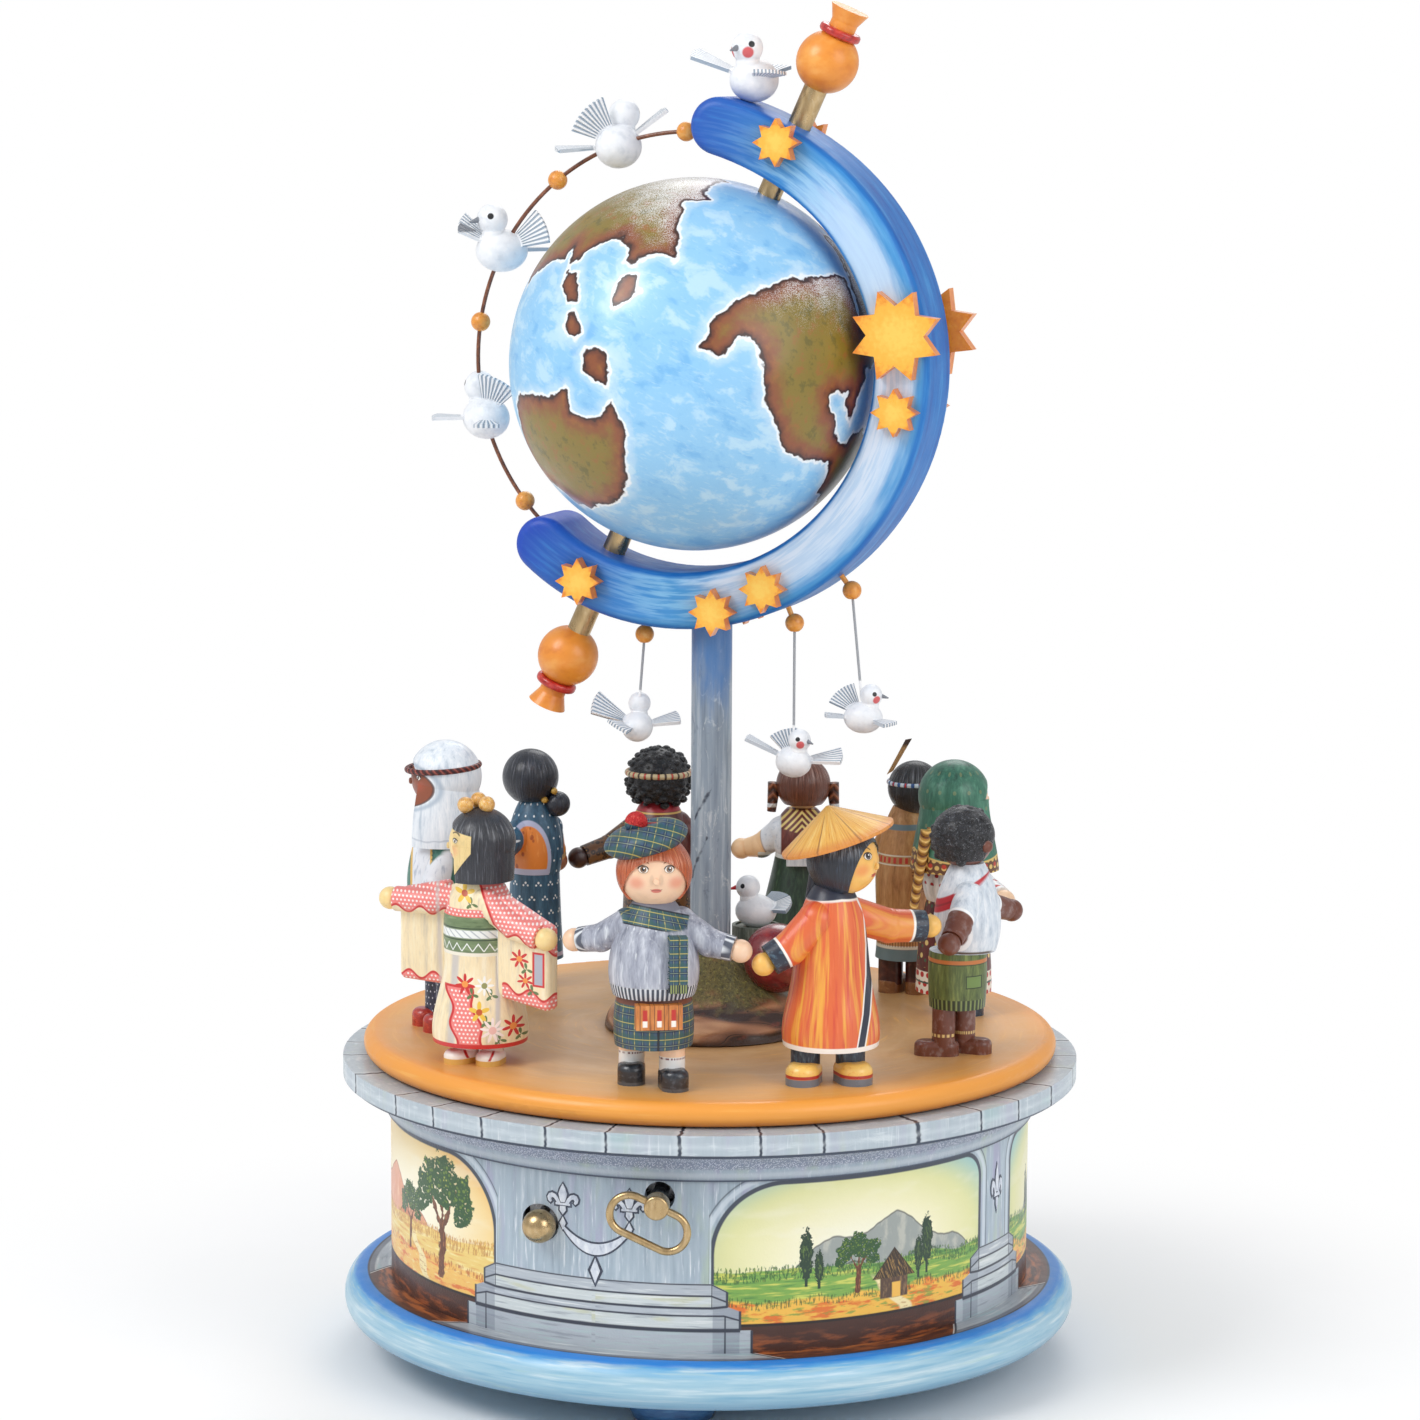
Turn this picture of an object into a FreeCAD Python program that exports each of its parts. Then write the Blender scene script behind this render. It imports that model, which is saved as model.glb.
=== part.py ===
import FreeCAD
import Part
import os
from math import acos, asin, cos, degrees, pi, radians, sin, sqrt, tan

# Wind-up music box: ten painted dolls on a turntable round a tilted globe.
# Millimetres. +Z is up, z = 0 is the surface that the feet stand on, and the Z axis is the
# axis of the column. The front, with key and knob, faces -Y. The bow lies in the XZ plane.
# Angles round the base are turned from the front (-Y) toward +X.

V = FreeCAD.Vector
UP = V(0, 0, 1)
FRONT = V(0, -1, 0)

# Base: feet, disc, wall and cornice
foot_count = 3
foot_ring_radius = 88.0
foot_first_angle = 12.0
foot_radius = 14.5
foot_tread_radius = 11.0
foot_rounding_height = 4.0
foot_height = 12.0
base_radius = 125.3
base_thickness = 16.0
base_edge_radius = 7.6
wall_radius = 109.3
wall_thickness = 8.0
wall_height = 68.0
cornice_radius = 125.4
cornice_band_height = 6.6
cornice_groove_depth = 1.5
cornice_groove_height = 1.2
cornice_cover = 11.0
cornice_cove_width = 13.0
cornice_foot_width = 1.5
cornice_top_cover = 1.0

# Turntable
turntable_radius = 118.3
turntable_thickness = 8.0
turntable_edge_radius = 3.9
turntable_gap = 0.4
boss_radius = 18.0
boss_height = 4.0
bush_radius = 12.0
running_clearance = 0.06

# Centre post, mound and column
post_radius = 15.0
spigot_radius = 9.0
washer_thickness = 1.6
washer_radius = 17.0
washer_clearance = 0.1
washer_bore_clearance = 0.05
mound_gap = 0.4
mound_profile = ((36.0, 0.0), (35.2, 3.2), (30.5, 9.0), (24.0, 13.1), (17.0, 17.6),
                 (11.0, 22.4), (8.2, 25.1))
mound_seam_angle = 200.0
column_radius = 6.9
column_tenon_radius = 5.0
column_tenon_depth = 45.0
bow_dowel_radius = 3.0
bow_dowel_height = 9.0
ball_radius = 11.8
ball_place = (24.3, 0.1)
ball_height = 24.6
stump_radius = 8.3
stump_place = (10.8, 16.4)
stump_top = 32.4
stump_depth = 26.0
stump_rim = 1.2

# Bow: its middle line is three arcs that run on from one another
bow_centre_height = 338.3
bow_offset = -9.5
bow_outer_radius = 88.7
bow_inner_radius = 69.5
bow_depth = 29.0
bow_edge_radius = 3.5
bow_top_joint_angle = 55.0
bow_top_arc_radius = 104.0
bow_top_arc_length = 34.0
bow_low_joint_angle = -105.0
bow_low_arc_radius = 67.7
bow_low_arc_length = 30.8

# Globe and axis
globe_offset = -6.5
globe_height = 338.0
globe_radius = 62.5
globe_wall = 7.0
globe_boss_radius = 9.0
globe_boss_depth = 6.0
axis_tilt = 24.4
axis_tube_radius = 4.0
axis_tube_bore = 3.0
finial_distance = 110.8
finial_radius = 10.4
finial_neck_radius = 4.5
finial_cap_radius = 6.6
finial_cap_distance = 18.8
finial_bore_depth = 8.0
collar_radius = 7.1
collar_thickness = 2.8
collar_distance = 10.4

# Stars on both faces of the bow, the wire ring and the beads are laid out round one point:
# each has a direction and a distance from it
layout_offset = -8.0
star_thickness = 5.0
star_points = 8
star_inner_share = 0.63
big_star_radius = 15.5
small_star_radius = 7.9
big_star_places = {-1: (9.0, 78.3), 1: (8.6, 80.6)}
small_star_places = ((64.3, 82.5), (-9.5, 78.3), (-114.6, 80.6), (-80.1, 82.9), (-66.4, 79.8))

# Wire ring with beads, and hanger beads under the bow
wire_ring_radius = 77.3
wire_radius = 0.7
wire_start_angle = 83.0
wire_end_angle = 225.0
ring_bead_radius = 3.3
ring_bead_angles = (91.5, 128.5, 171.0, 219.0)
hanger_bead_radius = 3.2
hanger_bead_distance = 93.9
hanger_angles = (-100.0, -66.5, -52.2)
hanger_peg_radius = 0.9
hanger_peg_depth = 3.0
hanger_ball_radius = 1.2
hanger_cone_top_radius = 0.95
hanger_cone_low_radius = 1.75

# Doves: all are one design, turned from wood, with fans of split wood for wings and tail
dove_body_radius = 7.3
dove_body_half_length = 9.2
dove_head_radius = 5.3
dove_head_rise = 10.6
dove_head_reach = 3.6
dove_beak_length = 3.6
dove_beak_radius = 1.2
dove_beak_inset = 0.6
fan_root = 3.0
fan_thickness = 1.2
hanging_dove_scale = 0.72
hanging_wire_radius = 0.45
view_angle = 19.5

# Movement: all its arbors are parallel and point to the front at this angle
movement_angle = 16.0
arbor_offset = -9.2
arbor_height = 79.5
arbor_radius = 2.5
arbor_inner_end = 52.0
key_reach = 124.5
key_hub_radius = 4.0
key_hub_length = 7.0
key_bore_depth = 4.5
key_wire_radius = 1.25
key_ring_length = 28.5
key_ring_width = 15.0
key_ring_tilt = -25.0
key_hole_radius = 4.9
gear_module = 0.65
pressure_angle = 20.0
gear_backlash = 0.12
gear_width = 2.0
wheel_addendum = 0.42
pinion_addendum = 0.65
wheel_dedendum = 0.85
pinion_dedendum = 0.65
great_wheel_teeth = 39
cylinder_pinion_teeth = 11
governor_wheel_teeth = 28
governor_pinion_teeth = 10
pinion_extra_width = 0.5
great_wheel_start = 77.4
barrel_radius = 11.3
barrel_length = 10.5
barrel_wall = 1.2
cylinder_axis_offset = 0.0
cylinder_start = 62.0
cylinder_length = 13.0
cylinder_radius = 6.4
pin_radius = 0.3
pin_height = 0.7
pin_count = 60
pin_rows = 12
pin_turn = 137.5
cylinder_arbor_radius = 1.5
cylinder_arbor_start = 46.5
cylinder_arbor_end = 94.5
friction_wheel_start = 48.0
friction_wheel_width = 4.0
friction_wheel_gap = 0.08
friction_tyre_depth = 2.5
governor_wheel_start = 58.6
governor_direction = 203.0
governor_arbor_radius = 1.0
governor_arbor_start = 54.0
governor_arbor_end = 73.0
governor_fan_radius = 4.6
governor_fan_start = 62.6
governor_fan_length = 6.0
governor_fan_thickness = 0.8
bedplate_top = 63.0
bedplate_thickness = 3.0
bedplate_inner = 50.0
bedplate_outer = 94.0
bedplate_left = -30.0
bedplate_right = 28.0
upright_thickness = 2.0
inner_upright_start = 54.5
outer_upright_start = 91.6
upright_left = -18.0
upright_right = 8.0
upright_top = 98.5
cock_start = 70.5
cock_thickness = 1.5
cock_right = -3.6
cock_step = 84.0
cock_shoulder = 86.2
cock_upper_right = -8.4
cock_top = 91.0
comb_thickness = 1.2
comb_teeth = 14
comb_slot = 0.3
comb_root = 15.0
comb_outer = 25.0
comb_tip_gap = 0.35
comb_margin = 1.0
screw_head_radius = 2.4
screw_head_height = 1.6
screw_shank_radius = 1.2
screw_depth = 9.0
screw_slot_width = 0.5
screw_slot_depth = 0.6
screw_inset = 5.0
block_inset = 4.0
knob_offset = -48.6
knob_height = 67.2
knob_ball_radius = 5.5
knob_reach = 102.3
knob_rod_radius = 1.5
knob_rod_inner_end = 63.4
knob_hole_radius = 6.2
knob_guide_start = 74.0
knob_guide_length = 8.0
knob_guide_wall = 3.5
lever_radius = 0.9
lever_gap = 0.5

# Dolls. Heights are above the turntable. A hand is (angle, radius, height) round the ring.
hand_radius = 3.8
hand_grip = 2.4
elbow_sag = 2.0
elbow_swell = 0.2
sleeve_thickness = 6.5
sleeve_setback = 3.4
sleeve_rise = 3.6
cloth_thickness = 1.5
nose_radius = 1.1
nose_reach = 0.8
nose_height = -1.2
doll_specs = {
    "kilt_boy": {
        "place": 8.0, "ring": 91.0, "facing": 27.0, "head_facing": 24.0,
        "head": (69.5, 11.3), "lean": 0.0, "trunk": 0.0,
        "layers": (((12.6, 13.5), (13.0, 22.0), (12.0, 30.0)),
                   ((13.3, 30.0), (14.6, 36.0), (13.6, 46.0), (10.6, 54.0), (6.4, 60.5))),
        "shoulder": (53.0, 8.5), "sleeve": (5.0, 4.1),
        "hands": ((350.9, 92.0, 45.6), (25.5, 93.0, 44.5)),
        "legs": (4.2, 6.2, 1.5), "shoe": (14.0, 9.0, 7.0),
        "stance": ((-7.2, -5.0, 0.0), (6.0, 4.0, 12.0)),
        "hair": (1.0, 10.2, -4.6, 8.5)},
    "straw_hat_boy": {
        "place": 45.0, "ring": 91.0, "facing": 68.0, "head_facing": 85.0,
        "head": (72.5, 11.0), "lean": 4.0, "trunk": 0.0,
        "layers": (((15.5, 12.0), (15.9, 15.0), (13.6, 30.0), (11.6, 46.0), (9.8, 56.0),
                    (5.6, 64.5)),),
        "shoulder": (54.0, 7.5), "sleeve": (6.0, 5.2),
        "hands": ((30.1, 93.0, 40.0), (66.5, 98.0, 48.0)),
        "legs": (4.8, 7.2, 1.5), "shoe": (16.0, 11.0, 7.0),
        "stance": ((-8.2, 1.8, -12.0), (6.4, 0.4, 20.0)),
        "hair": (1.0, 9.0, -2.4, 9.5)},
    "barefoot_boy": {
        "place": 83.0, "ring": 92.0, "facing": 108.0, "head_facing": 145.0,
        "head": (72.6, 9.7), "lean": 1.6, "trunk": 3.0,
        "layers": (((9.3, 16.0), (9.8, 24.0), (9.5, 35.0)),
                   ((9.6, 35.0), (11.2, 45.0), (9.6, 55.0), (5.4, 64.5))),
        "shoulder": (54.5, 7.4), "sleeve": (4.9, 3.7),
        "hands": ((71.0, 100.0, 41.0), (100.6, 103.0, 43.5)),
        "legs": (3.9, 5.2, 1.5), "shoe": (15.0, 7.5, 5.0),
        "stance": ((-4.6, 3.6, -95.0), (2.4, -1.8, 68.0)),
        "hair": (1.0, 9.4, -4.0, 6.5)},
    "headscarf_girl": {
        "place": 124.4, "ring": 87.5, "facing": 122.0, "head_facing": 122.0,
        "head": (76.0, 11.0), "lean": 0.0, "trunk": 0.0,
        "layers": (((13.2, 8.0), (12.4, 24.0), (9.8, 40.0)),
                   ((9.8, 40.0), (11.2, 50.0), (9.2, 58.5), (5.6, 67.0))),
        "shoulder": (56.0, 6.5), "sleeve": (4.8, 4.0),
        "hands": ((105.4, 100.0, 45.0), (134.2, 91.0, 45.0)),
        "legs": (4.0, 5.0, 1.0), "shoe": (13.0, 8.5, 6.0),
        "hair": (1.4, 9.2, -3.0, 12.6)},
    "feather_child": {
        "place": 148.3, "ring": 88.3, "facing": 169.0, "head_facing": 169.0,
        "head": (73.4, 8.4), "lean": 3.2, "trunk": 0.0,
        "layers": (((10.4, 13.0), (10.2, 30.0), (10.4, 46.0), (8.8, 56.0), (4.6, 67.0)),),
        "shoulder": (55.0, 6.2), "sleeve": (4.7, 4.0),
        "hands": ((139.0, 91.0, 45.0), (161.0, 92.0, 45.0)),
        "legs": (4.4, 4.8, 1.2), "shoe": (13.0, 8.4, 6.0),
        "hair": (1.1, 8.8, -3.0, 9.0)},
    "braids_girl": {
        "place": 178.5, "ring": 91.0, "facing": 199.0, "head_facing": 199.0,
        "head": (69.4, 8.8), "lean": 0.5, "trunk": 0.0,
        "layers": (((15.2, 10.0), (14.2, 22.0), (11.4, 35.0), (9.3, 45.0)),
                   ((9.3, 45.0), (10.6, 51.0), (8.6, 57.0), (5.4, 61.0))),
        "shoulder": (52.5, 7.0), "sleeve": (5.4, 3.4),
        "hands": ((166.0, 92.0, 45.0), (192.6, 92.0, 45.0)),
        "legs": (3.8, 5.2, 1.0), "shoe": (13.0, 8.0, 6.0),
        "hair": (1.0, 7.7, -3.0, 6.6)},
    "curly_child": {
        "place": 211.5, "ring": 91.0, "facing": 206.0, "head_facing": 206.0,
        "head": (70.6, 10.0), "lean": 0.0, "trunk": 0.0,
        "layers": (((13.2, 20.0), (12.7, 36.0), (11.9, 48.0), (9.6, 56.0), (5.6, 63.5)),),
        "shoulder": (54.0, 7.0), "sleeve": (4.7, 3.8),
        "hands": ((197.4, 92.0, 45.0), (230.6, 92.0, 43.5)),
        "legs": (4.2, 5.6, 1.2), "shoe": (13.5, 8.0, 5.5),
        "hair": (1.2, 8.8, -3.4, 7.0)},
    "bun_girl": {
        "place": 243.0, "ring": 91.0, "facing": 240.0, "head_facing": 240.0,
        "head": (74.8, 9.1), "lean": -1.8, "trunk": 0.0,
        "layers": (((10.2, 10.0), (9.4, 25.0), (8.8, 41.0)),
                   ((9.0, 41.0), (9.8, 50.0), (8.6, 58.5), (4.6, 68.0))),
        "shoulder": (56.0, 6.4), "sleeve": (4.8, 4.1),
        "hands": ((235.4, 94.0, 43.0), (266.0, 92.0, 46.0)),
        "legs": (3.6, 4.2, 1.0), "shoe": (12.5, 7.4, 6.0),
        "hair": (0.9, 7.8, -3.0, 8.0)},
    "headcloth_child": {
        "place": 293.5, "ring": 91.0, "facing": 300.0, "head_facing": 292.0,
        "head": (86.5, 10.8), "lean": 0.0, "trunk": 0.0,
        "layers": (((9.8, 19.0), (10.8, 30.0), (11.6, 44.0)),
                   ((11.7, 44.0), (12.2, 54.0), (10.4, 63.0), (5.6, 77.5))),
        "shoulder": (62.0, 7.5), "sleeve": (5.2, 4.4),
        "hands": ((270.8, 92.0, 46.0), (301.4, 98.0, 45.0)),
        "legs": (4.6, 5.6, 1.2), "shoe": (14.0, 8.5, 6.0),
        "hair": (1.5, 8.8, -2.6, 12.8)},
    "kimono_girl": {
        "place": 324.6, "ring": 92.8, "facing": 304.0, "head_facing": 286.0,
        "head": (72.6, 10.2), "lean": 0.0, "trunk": 0.0,
        "layers": (((15.6, 6.5), (15.9, 9.0), (14.4, 20.0), (12.0, 36.6)),
                   ((11.9, 36.6), (12.1, 43.0), (11.8, 49.5)),
                   ((11.2, 49.5), (10.8, 53.0), (8.6, 58.0), (5.4, 65.0))),
        "shoulder": (54.0, 7.5), "sleeve": (4.6, 4.2),
        "hands": ((306.8, 112.0, 50.0), (344.0, 92.0, 44.4)),
        "legs": (3.6, 5.0, 1.0), "shoe": (13.0, 8.5, 4.5),
        "stance": ((-4.4, 3.6, -48.0), (4.4, 5.4, -18.0)),
        "hair": (1.1, 8.6, -2.0, 12.0)},
}

# Derived heights
base_underside = foot_height
base_top = base_underside + base_thickness
wall_top = base_top + wall_height
wall_bore = wall_radius - wall_thickness
cornice_top = wall_top + cornice_top_cover + cornice_band_height
turntable_underside = cornice_top + turntable_gap
turntable_top = turntable_underside + turntable_thickness
boss_underside = turntable_underside - boss_height
post_top = boss_underside - washer_clearance - washer_thickness
mound_underside = turntable_top + mound_gap
mound_top = mound_underside + mound_profile[-1][1]
bow_centre = V(bow_offset, 0, bow_centre_height)
bow_middle_radius = (bow_outer_radius + bow_inner_radius) / 2
bow_half_width = (bow_outer_radius - bow_inner_radius) / 2
layout_centre = V(layout_offset, 0, bow_centre_height)
globe_centre = V(globe_offset, 0, globe_height)
axis_direction = V(sin(radians(axis_tilt)), 0, cos(radians(axis_tilt)))
tube_half_length = finial_distance - finial_radius + finial_bore_depth

# Derived places in the movement. Its own frame looks to the front: x is to the right,
# reach is the distance toward the front, z is the height.
barrel_pitch_radius = gear_module * great_wheel_teeth / 2
cylinder_pinion_radius = gear_module * cylinder_pinion_teeth / 2
governor_wheel_radius = gear_module * governor_wheel_teeth / 2
governor_pinion_radius = gear_module * governor_pinion_teeth / 2
barrel_centres = barrel_pitch_radius + cylinder_pinion_radius
governor_centres = governor_wheel_radius + governor_pinion_radius
cylinder_height = arbor_height + sqrt(barrel_centres ** 2
                                      - (cylinder_axis_offset - arbor_offset) ** 2)
barrel_to_cylinder = degrees(asin((cylinder_height - arbor_height) / barrel_centres))
governor_x = cylinder_axis_offset + governor_centres * cos(radians(governor_direction))
governor_z = cylinder_height + governor_centres * sin(radians(governor_direction))
friction_wheel_radius = turntable_underside - cylinder_height - friction_wheel_gap


def ring_point(radius, angle, height):
    turn = radians(angle)
    return V(radius * sin(turn), -radius * cos(turn), height)


def bow_point(radius, angle, depth=0.0):
    turn = radians(angle)
    return V(layout_centre.x + radius * cos(turn), depth,
             layout_centre.z + radius * sin(turn))


def seen(right, rise, near):
    """Direction laid out as seen from the view angle: to the right, up and toward the viewer."""
    turn = radians(view_angle)
    return V(right * cos(turn) + near * sin(turn), right * sin(turn) - near * cos(turn), rise)


def ball(radius, centre):
    return Part.makeSphere(radius, centre)


def rod(radius, start, end):
    along = end - start
    return Part.makeCylinder(radius, along.Length, start, along)


def taper(start_radius, end_radius, start, end):
    along = end - start
    return Part.makeCone(start_radius, end_radius, along.Length, start, along)


def placed(shape, position, direction):
    """Copy of a shape made along +Z, moved to a position and turned to a direction."""
    result = shape.copy()
    result.Placement = FreeCAD.Placement(position, FreeCAD.Rotation(UP, direction))
    return result


def turned_to(shape, angle):
    result = shape.copy()
    result.rotate(V(0, 0, 0), UP, angle)
    return result


def revolved(edges):
    return Part.Face(Part.Wire(edges)).revolve(V(0, 0, 0), UP, 360)


def lathe(profile, height=0.0):
    """Solid turned about the Z axis from (radius, height) corners, closed on the axis."""
    corners = [V(0, 0, profile[0][1] + height)]
    corners += [V(radius, 0, rise + height) for radius, rise in profile]
    corners.append(V(0, 0, profile[-1][1] + height))
    unique = [corners[0]]
    for corner in corners[1:]:
        if (corner - unique[-1]).Length > 1e-6:
            unique.append(corner)
    return Part.Face(Part.makePolygon(unique + [unique[0]])).revolve(V(0, 0, 0), UP, 360)


def lathe_smooth(profile, height=0.0):
    """Solid turned about the Z axis, with a flowing side through (radius, height) points."""
    points = [V(radius, 0, rise + height) for radius, rise in profile]
    side = Part.BSplineCurve()
    side.interpolate(points)
    low = V(0, 0, points[0].z)
    high = V(0, 0, points[-1].z)
    edges = [Part.makeLine(low, points[0]), side.toShape(),
             Part.makeLine(points[-1], high), Part.makeLine(high, low)]
    return revolved(edges)


def tube(outer, inner, low, high):
    return Part.makeCylinder(outer, high - low, V(0, 0, low)).cut(
        Part.makeCylinder(inner, high - low, V(0, 0, low)))


def box(low, high):
    size = high - low
    return Part.makeBox(size.x, size.y, size.z, low)


def prism(corners, along):
    return Part.Face(Part.makePolygon(corners + [corners[0]])).extrude(along)


def export(name, solids):
    pieces = []
    for item in solids:
        pieces += item.Solids
    shape = pieces[0] if len(pieces) == 1 else Part.makeCompound(pieces)
    shape.exportStep("parts/%s.step" % name)
    volume = sum(piece.Volume for piece in pieces)
    print("%-22s %2d solids %10.1f mm3 valid %s" % (name, len(pieces), volume, shape.isValid()))


# Base

def feet():
    rounding = foot_radius - foot_tread_radius
    profile = ((foot_tread_radius, 0.0),
               (foot_tread_radius + 0.6 * rounding, 0.25 * foot_rounding_height),
               (foot_radius, foot_rounding_height), (foot_radius, foot_height))
    foot = lathe(profile)
    solids = []
    for index in range(foot_count):
        copy = foot.copy()
        copy.translate(ring_point(foot_ring_radius, foot_first_angle + index * 360 / foot_count, 0))
        solids.append(copy)
    return solids


def base_disc():
    disc = Part.makeCylinder(base_radius, base_thickness, V(0, 0, base_underside))
    rims = [edge for edge in disc.Edges if len(edge.Vertexes) == 1]
    return disc.makeFillet(base_edge_radius, rims)


def movement_line(x, height):
    """Start and end of a long line through the wall, parallel to the arbors."""
    return (movement_point(x, 0, height), movement_point(x, 2 * base_radius, height))


def drum_wall():
    wall = tube(wall_radius, wall_bore, base_top, wall_top)
    key_start, key_end = movement_line(arbor_offset, arbor_height)
    knob_start, knob_end = movement_line(knob_offset, knob_height)
    wall = wall.cut(turned_to(rod(key_hole_radius, key_start, key_end), movement_angle))
    return wall.cut(turned_to(rod(knob_hole_radius, knob_start, knob_end), movement_angle))


def cornice_ring():
    band_low = cornice_top - cornice_band_height
    groove_low = band_low - cornice_groove_height
    cove_low = wall_top - cornice_cover
    cove_inner = wall_radius + cornice_foot_width
    cove_outer = wall_radius + cornice_cove_width
    groove_radius = cornice_radius - cornice_groove_depth
    low = V(cove_inner, 0, cove_low)
    high = V(cove_outer, 0, groove_low)
    middle = V(cove_inner + (cove_outer - cove_inner) * (1 - cos(pi / 4)), 0,
               cove_low + (groove_low - cove_low) * sin(pi / 4))
    edges = [Part.makeLine(V(wall_radius, 0, cove_low), low),
             Part.Arc(low, middle, high).toShape()]
    corners = [high, V(groove_radius, 0, groove_low), V(groove_radius, 0, band_low),
               V(cornice_radius, 0, band_low), V(cornice_radius, 0, cornice_top),
               V(wall_bore, 0, cornice_top), V(wall_bore, 0, wall_top),
               V(wall_radius, 0, wall_top), V(wall_radius, 0, cove_low)]
    edges += [Part.makeLine(a, b) for a, b in zip(corners, corners[1:])]
    return revolved(edges)


# Centre post, mound and column

def centre_post():
    post = Part.makeCylinder(post_radius, post_top - base_top, V(0, 0, base_top))
    spigot = Part.makeCylinder(spigot_radius, mound_underside - post_top, V(0, 0, post_top))
    return post.fuse(spigot).removeSplitter().cut(column_tenon())


def thrust_washer():
    return tube(washer_radius, spigot_radius + washer_bore_clearance, post_top,
                post_top + washer_thickness)


def column_tenon():
    return Part.makeCylinder(column_tenon_radius, column_tenon_depth,
                             V(0, 0, mound_top - column_tenon_depth))


def bow_dowel():
    bow_foot = bow_centre_height - sqrt(bow_outer_radius ** 2 - bow_offset ** 2)
    return Part.makeCylinder(bow_dowel_radius, 2 * bow_dowel_height,
                             V(0, 0, bow_foot - bow_dowel_height))


def column(bow_blank):
    shaft = Part.makeCylinder(column_radius, bow_centre_height - bow_middle_radius - mound_top,
                              V(0, 0, mound_top))
    shaft = shaft.cut(bow_blank).Solids[0]
    return shaft.fuse([column_tenon(), bow_dowel()]).removeSplitter()


def red_ball():
    return ball(ball_radius, V(ball_place[0], ball_place[1], mound_underside + ball_height))


def stump_blank():
    low = mound_underside + stump_top - stump_depth
    return Part.makeCylinder(stump_radius, stump_depth, V(stump_place[0], stump_place[1], low))


def tree_stump():
    top = mound_underside + stump_top
    dish = Part.makeCylinder(stump_radius - stump_rim, stump_rim,
                             V(stump_place[0], stump_place[1], top - stump_rim / 2))
    return stump_blank().cut(dish)


def mound():
    hill = turned_to(lathe_smooth(mound_profile, mound_underside), mound_seam_angle)
    for piece in (stump_blank(), red_ball(), column_tenon()):
        hill = hill.cut(piece)
    return hill


# Bow, globe and axis

def arc_point(centre, radius, angle, depth):
    turn = radians(angle)
    return V(centre.x + radius * cos(turn), depth, centre.z + radius * sin(turn))


def bow_arcs():
    """Centre, radius and the two end angles of each arc of the bow's middle line."""
    def run_on(joint_angle, radius):
        turn = radians(joint_angle)
        step = bow_middle_radius - radius
        return V(bow_centre.x + step * cos(turn), 0, bow_centre.z + step * sin(turn))

    top_turn = degrees(bow_top_arc_length / bow_top_arc_radius)
    low_turn = degrees(bow_low_arc_length / bow_low_arc_radius)
    return ((run_on(bow_top_joint_angle, bow_top_arc_radius), bow_top_arc_radius,
             bow_top_joint_angle + top_turn, bow_top_joint_angle),
            (bow_centre, bow_middle_radius, bow_top_joint_angle, bow_low_joint_angle),
            (run_on(bow_low_joint_angle, bow_low_arc_radius), bow_low_arc_radius,
             bow_low_joint_angle, bow_low_joint_angle - low_turn))


def bow_blank():
    depth = -bow_depth / 2
    arcs = bow_arcs()

    def run(offset):
        edges = []
        for centre, radius, first, last in arcs:
            stations = (first, (first + last) / 2, last)
            points = [arc_point(centre, radius + offset, angle, depth) for angle in stations]
            edges.append(Part.Arc(*points).toShape())
        return edges

    def cap(arc, angle, side):
        centre, radius = arc[0], arc[1]
        tip_centre = arc_point(centre, radius, angle, depth)
        tangent = radians(angle + side * 90)
        tip = tip_centre + V(cos(tangent), 0, sin(tangent)) * bow_half_width
        return Part.Arc(arc_point(centre, radius + bow_half_width, angle, depth), tip,
                        arc_point(centre, radius - bow_half_width, angle, depth)).toShape()

    edges = run(bow_half_width) + run(-bow_half_width)
    edges.append(cap(arcs[0], arcs[0][2], 1))
    edges.append(cap(arcs[-1], arcs[-1][3], -1))
    outline = Part.Wire(Part.__sortEdges__(edges))
    blank = Part.Face(outline).extrude(V(0, bow_depth, 0))
    rims = [edge for edge in blank.Edges
            if all(abs(abs(vertex.Y) - bow_depth / 2) < 1e-6 for vertex in edge.Vertexes)
            and abs(edge.Vertexes[0].Y - edge.Vertexes[-1].Y) < 1e-6]
    return blank.makeFillet(bow_edge_radius, rims)


def wire_arc():
    start = bow_point(wire_ring_radius, wire_start_angle)
    turn = radians(wire_start_angle)
    along = V(-sin(turn), 0, cos(turn))
    section = Part.Face(Part.Wire(Part.makeCircle(wire_radius, start, along)))
    return section.revolve(layout_centre, V(0, -1, 0), wire_end_angle - wire_start_angle)


def hanger_peg(angle):
    bead = bow_point(hanger_bead_distance, angle)
    root = bow_point(bow_outer_radius - hanger_peg_depth, angle)
    return rod(hanger_peg_radius, root, bead)


def axis_rod(radius):
    return rod(radius, globe_centre - axis_direction * tube_half_length,
               globe_centre + axis_direction * tube_half_length)


def meridian_bow(blank):
    holes = [axis_rod(axis_tube_radius), wire_arc(), bow_dowel()]
    holes += [hanger_peg(angle) for angle in hanger_angles]
    return blank.cut(holes)


def star(radius, place, side, first_angle):
    angle, distance = place
    centre = bow_point(distance, angle, side * bow_depth / 2)
    corners = []
    for index in range(2 * star_points):
        reach = radius if index % 2 == 0 else radius * star_inner_share
        turn = radians(first_angle + index * 180 / star_points)
        corners.append(centre + V(reach * cos(turn), 0, reach * sin(turn)))
    return prism(corners, V(0, side * star_thickness, 0))


def bow_stars():
    solids = []
    for side in (-1, 1):
        solids.append(star(big_star_radius, big_star_places[side], side, 180 / star_points))
        solids += [star(small_star_radius, place, side, 0.0) for place in small_star_places]
    return solids


def axis_tube():
    return axis_rod(axis_tube_radius).cut(axis_rod(axis_tube_bore))


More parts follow.
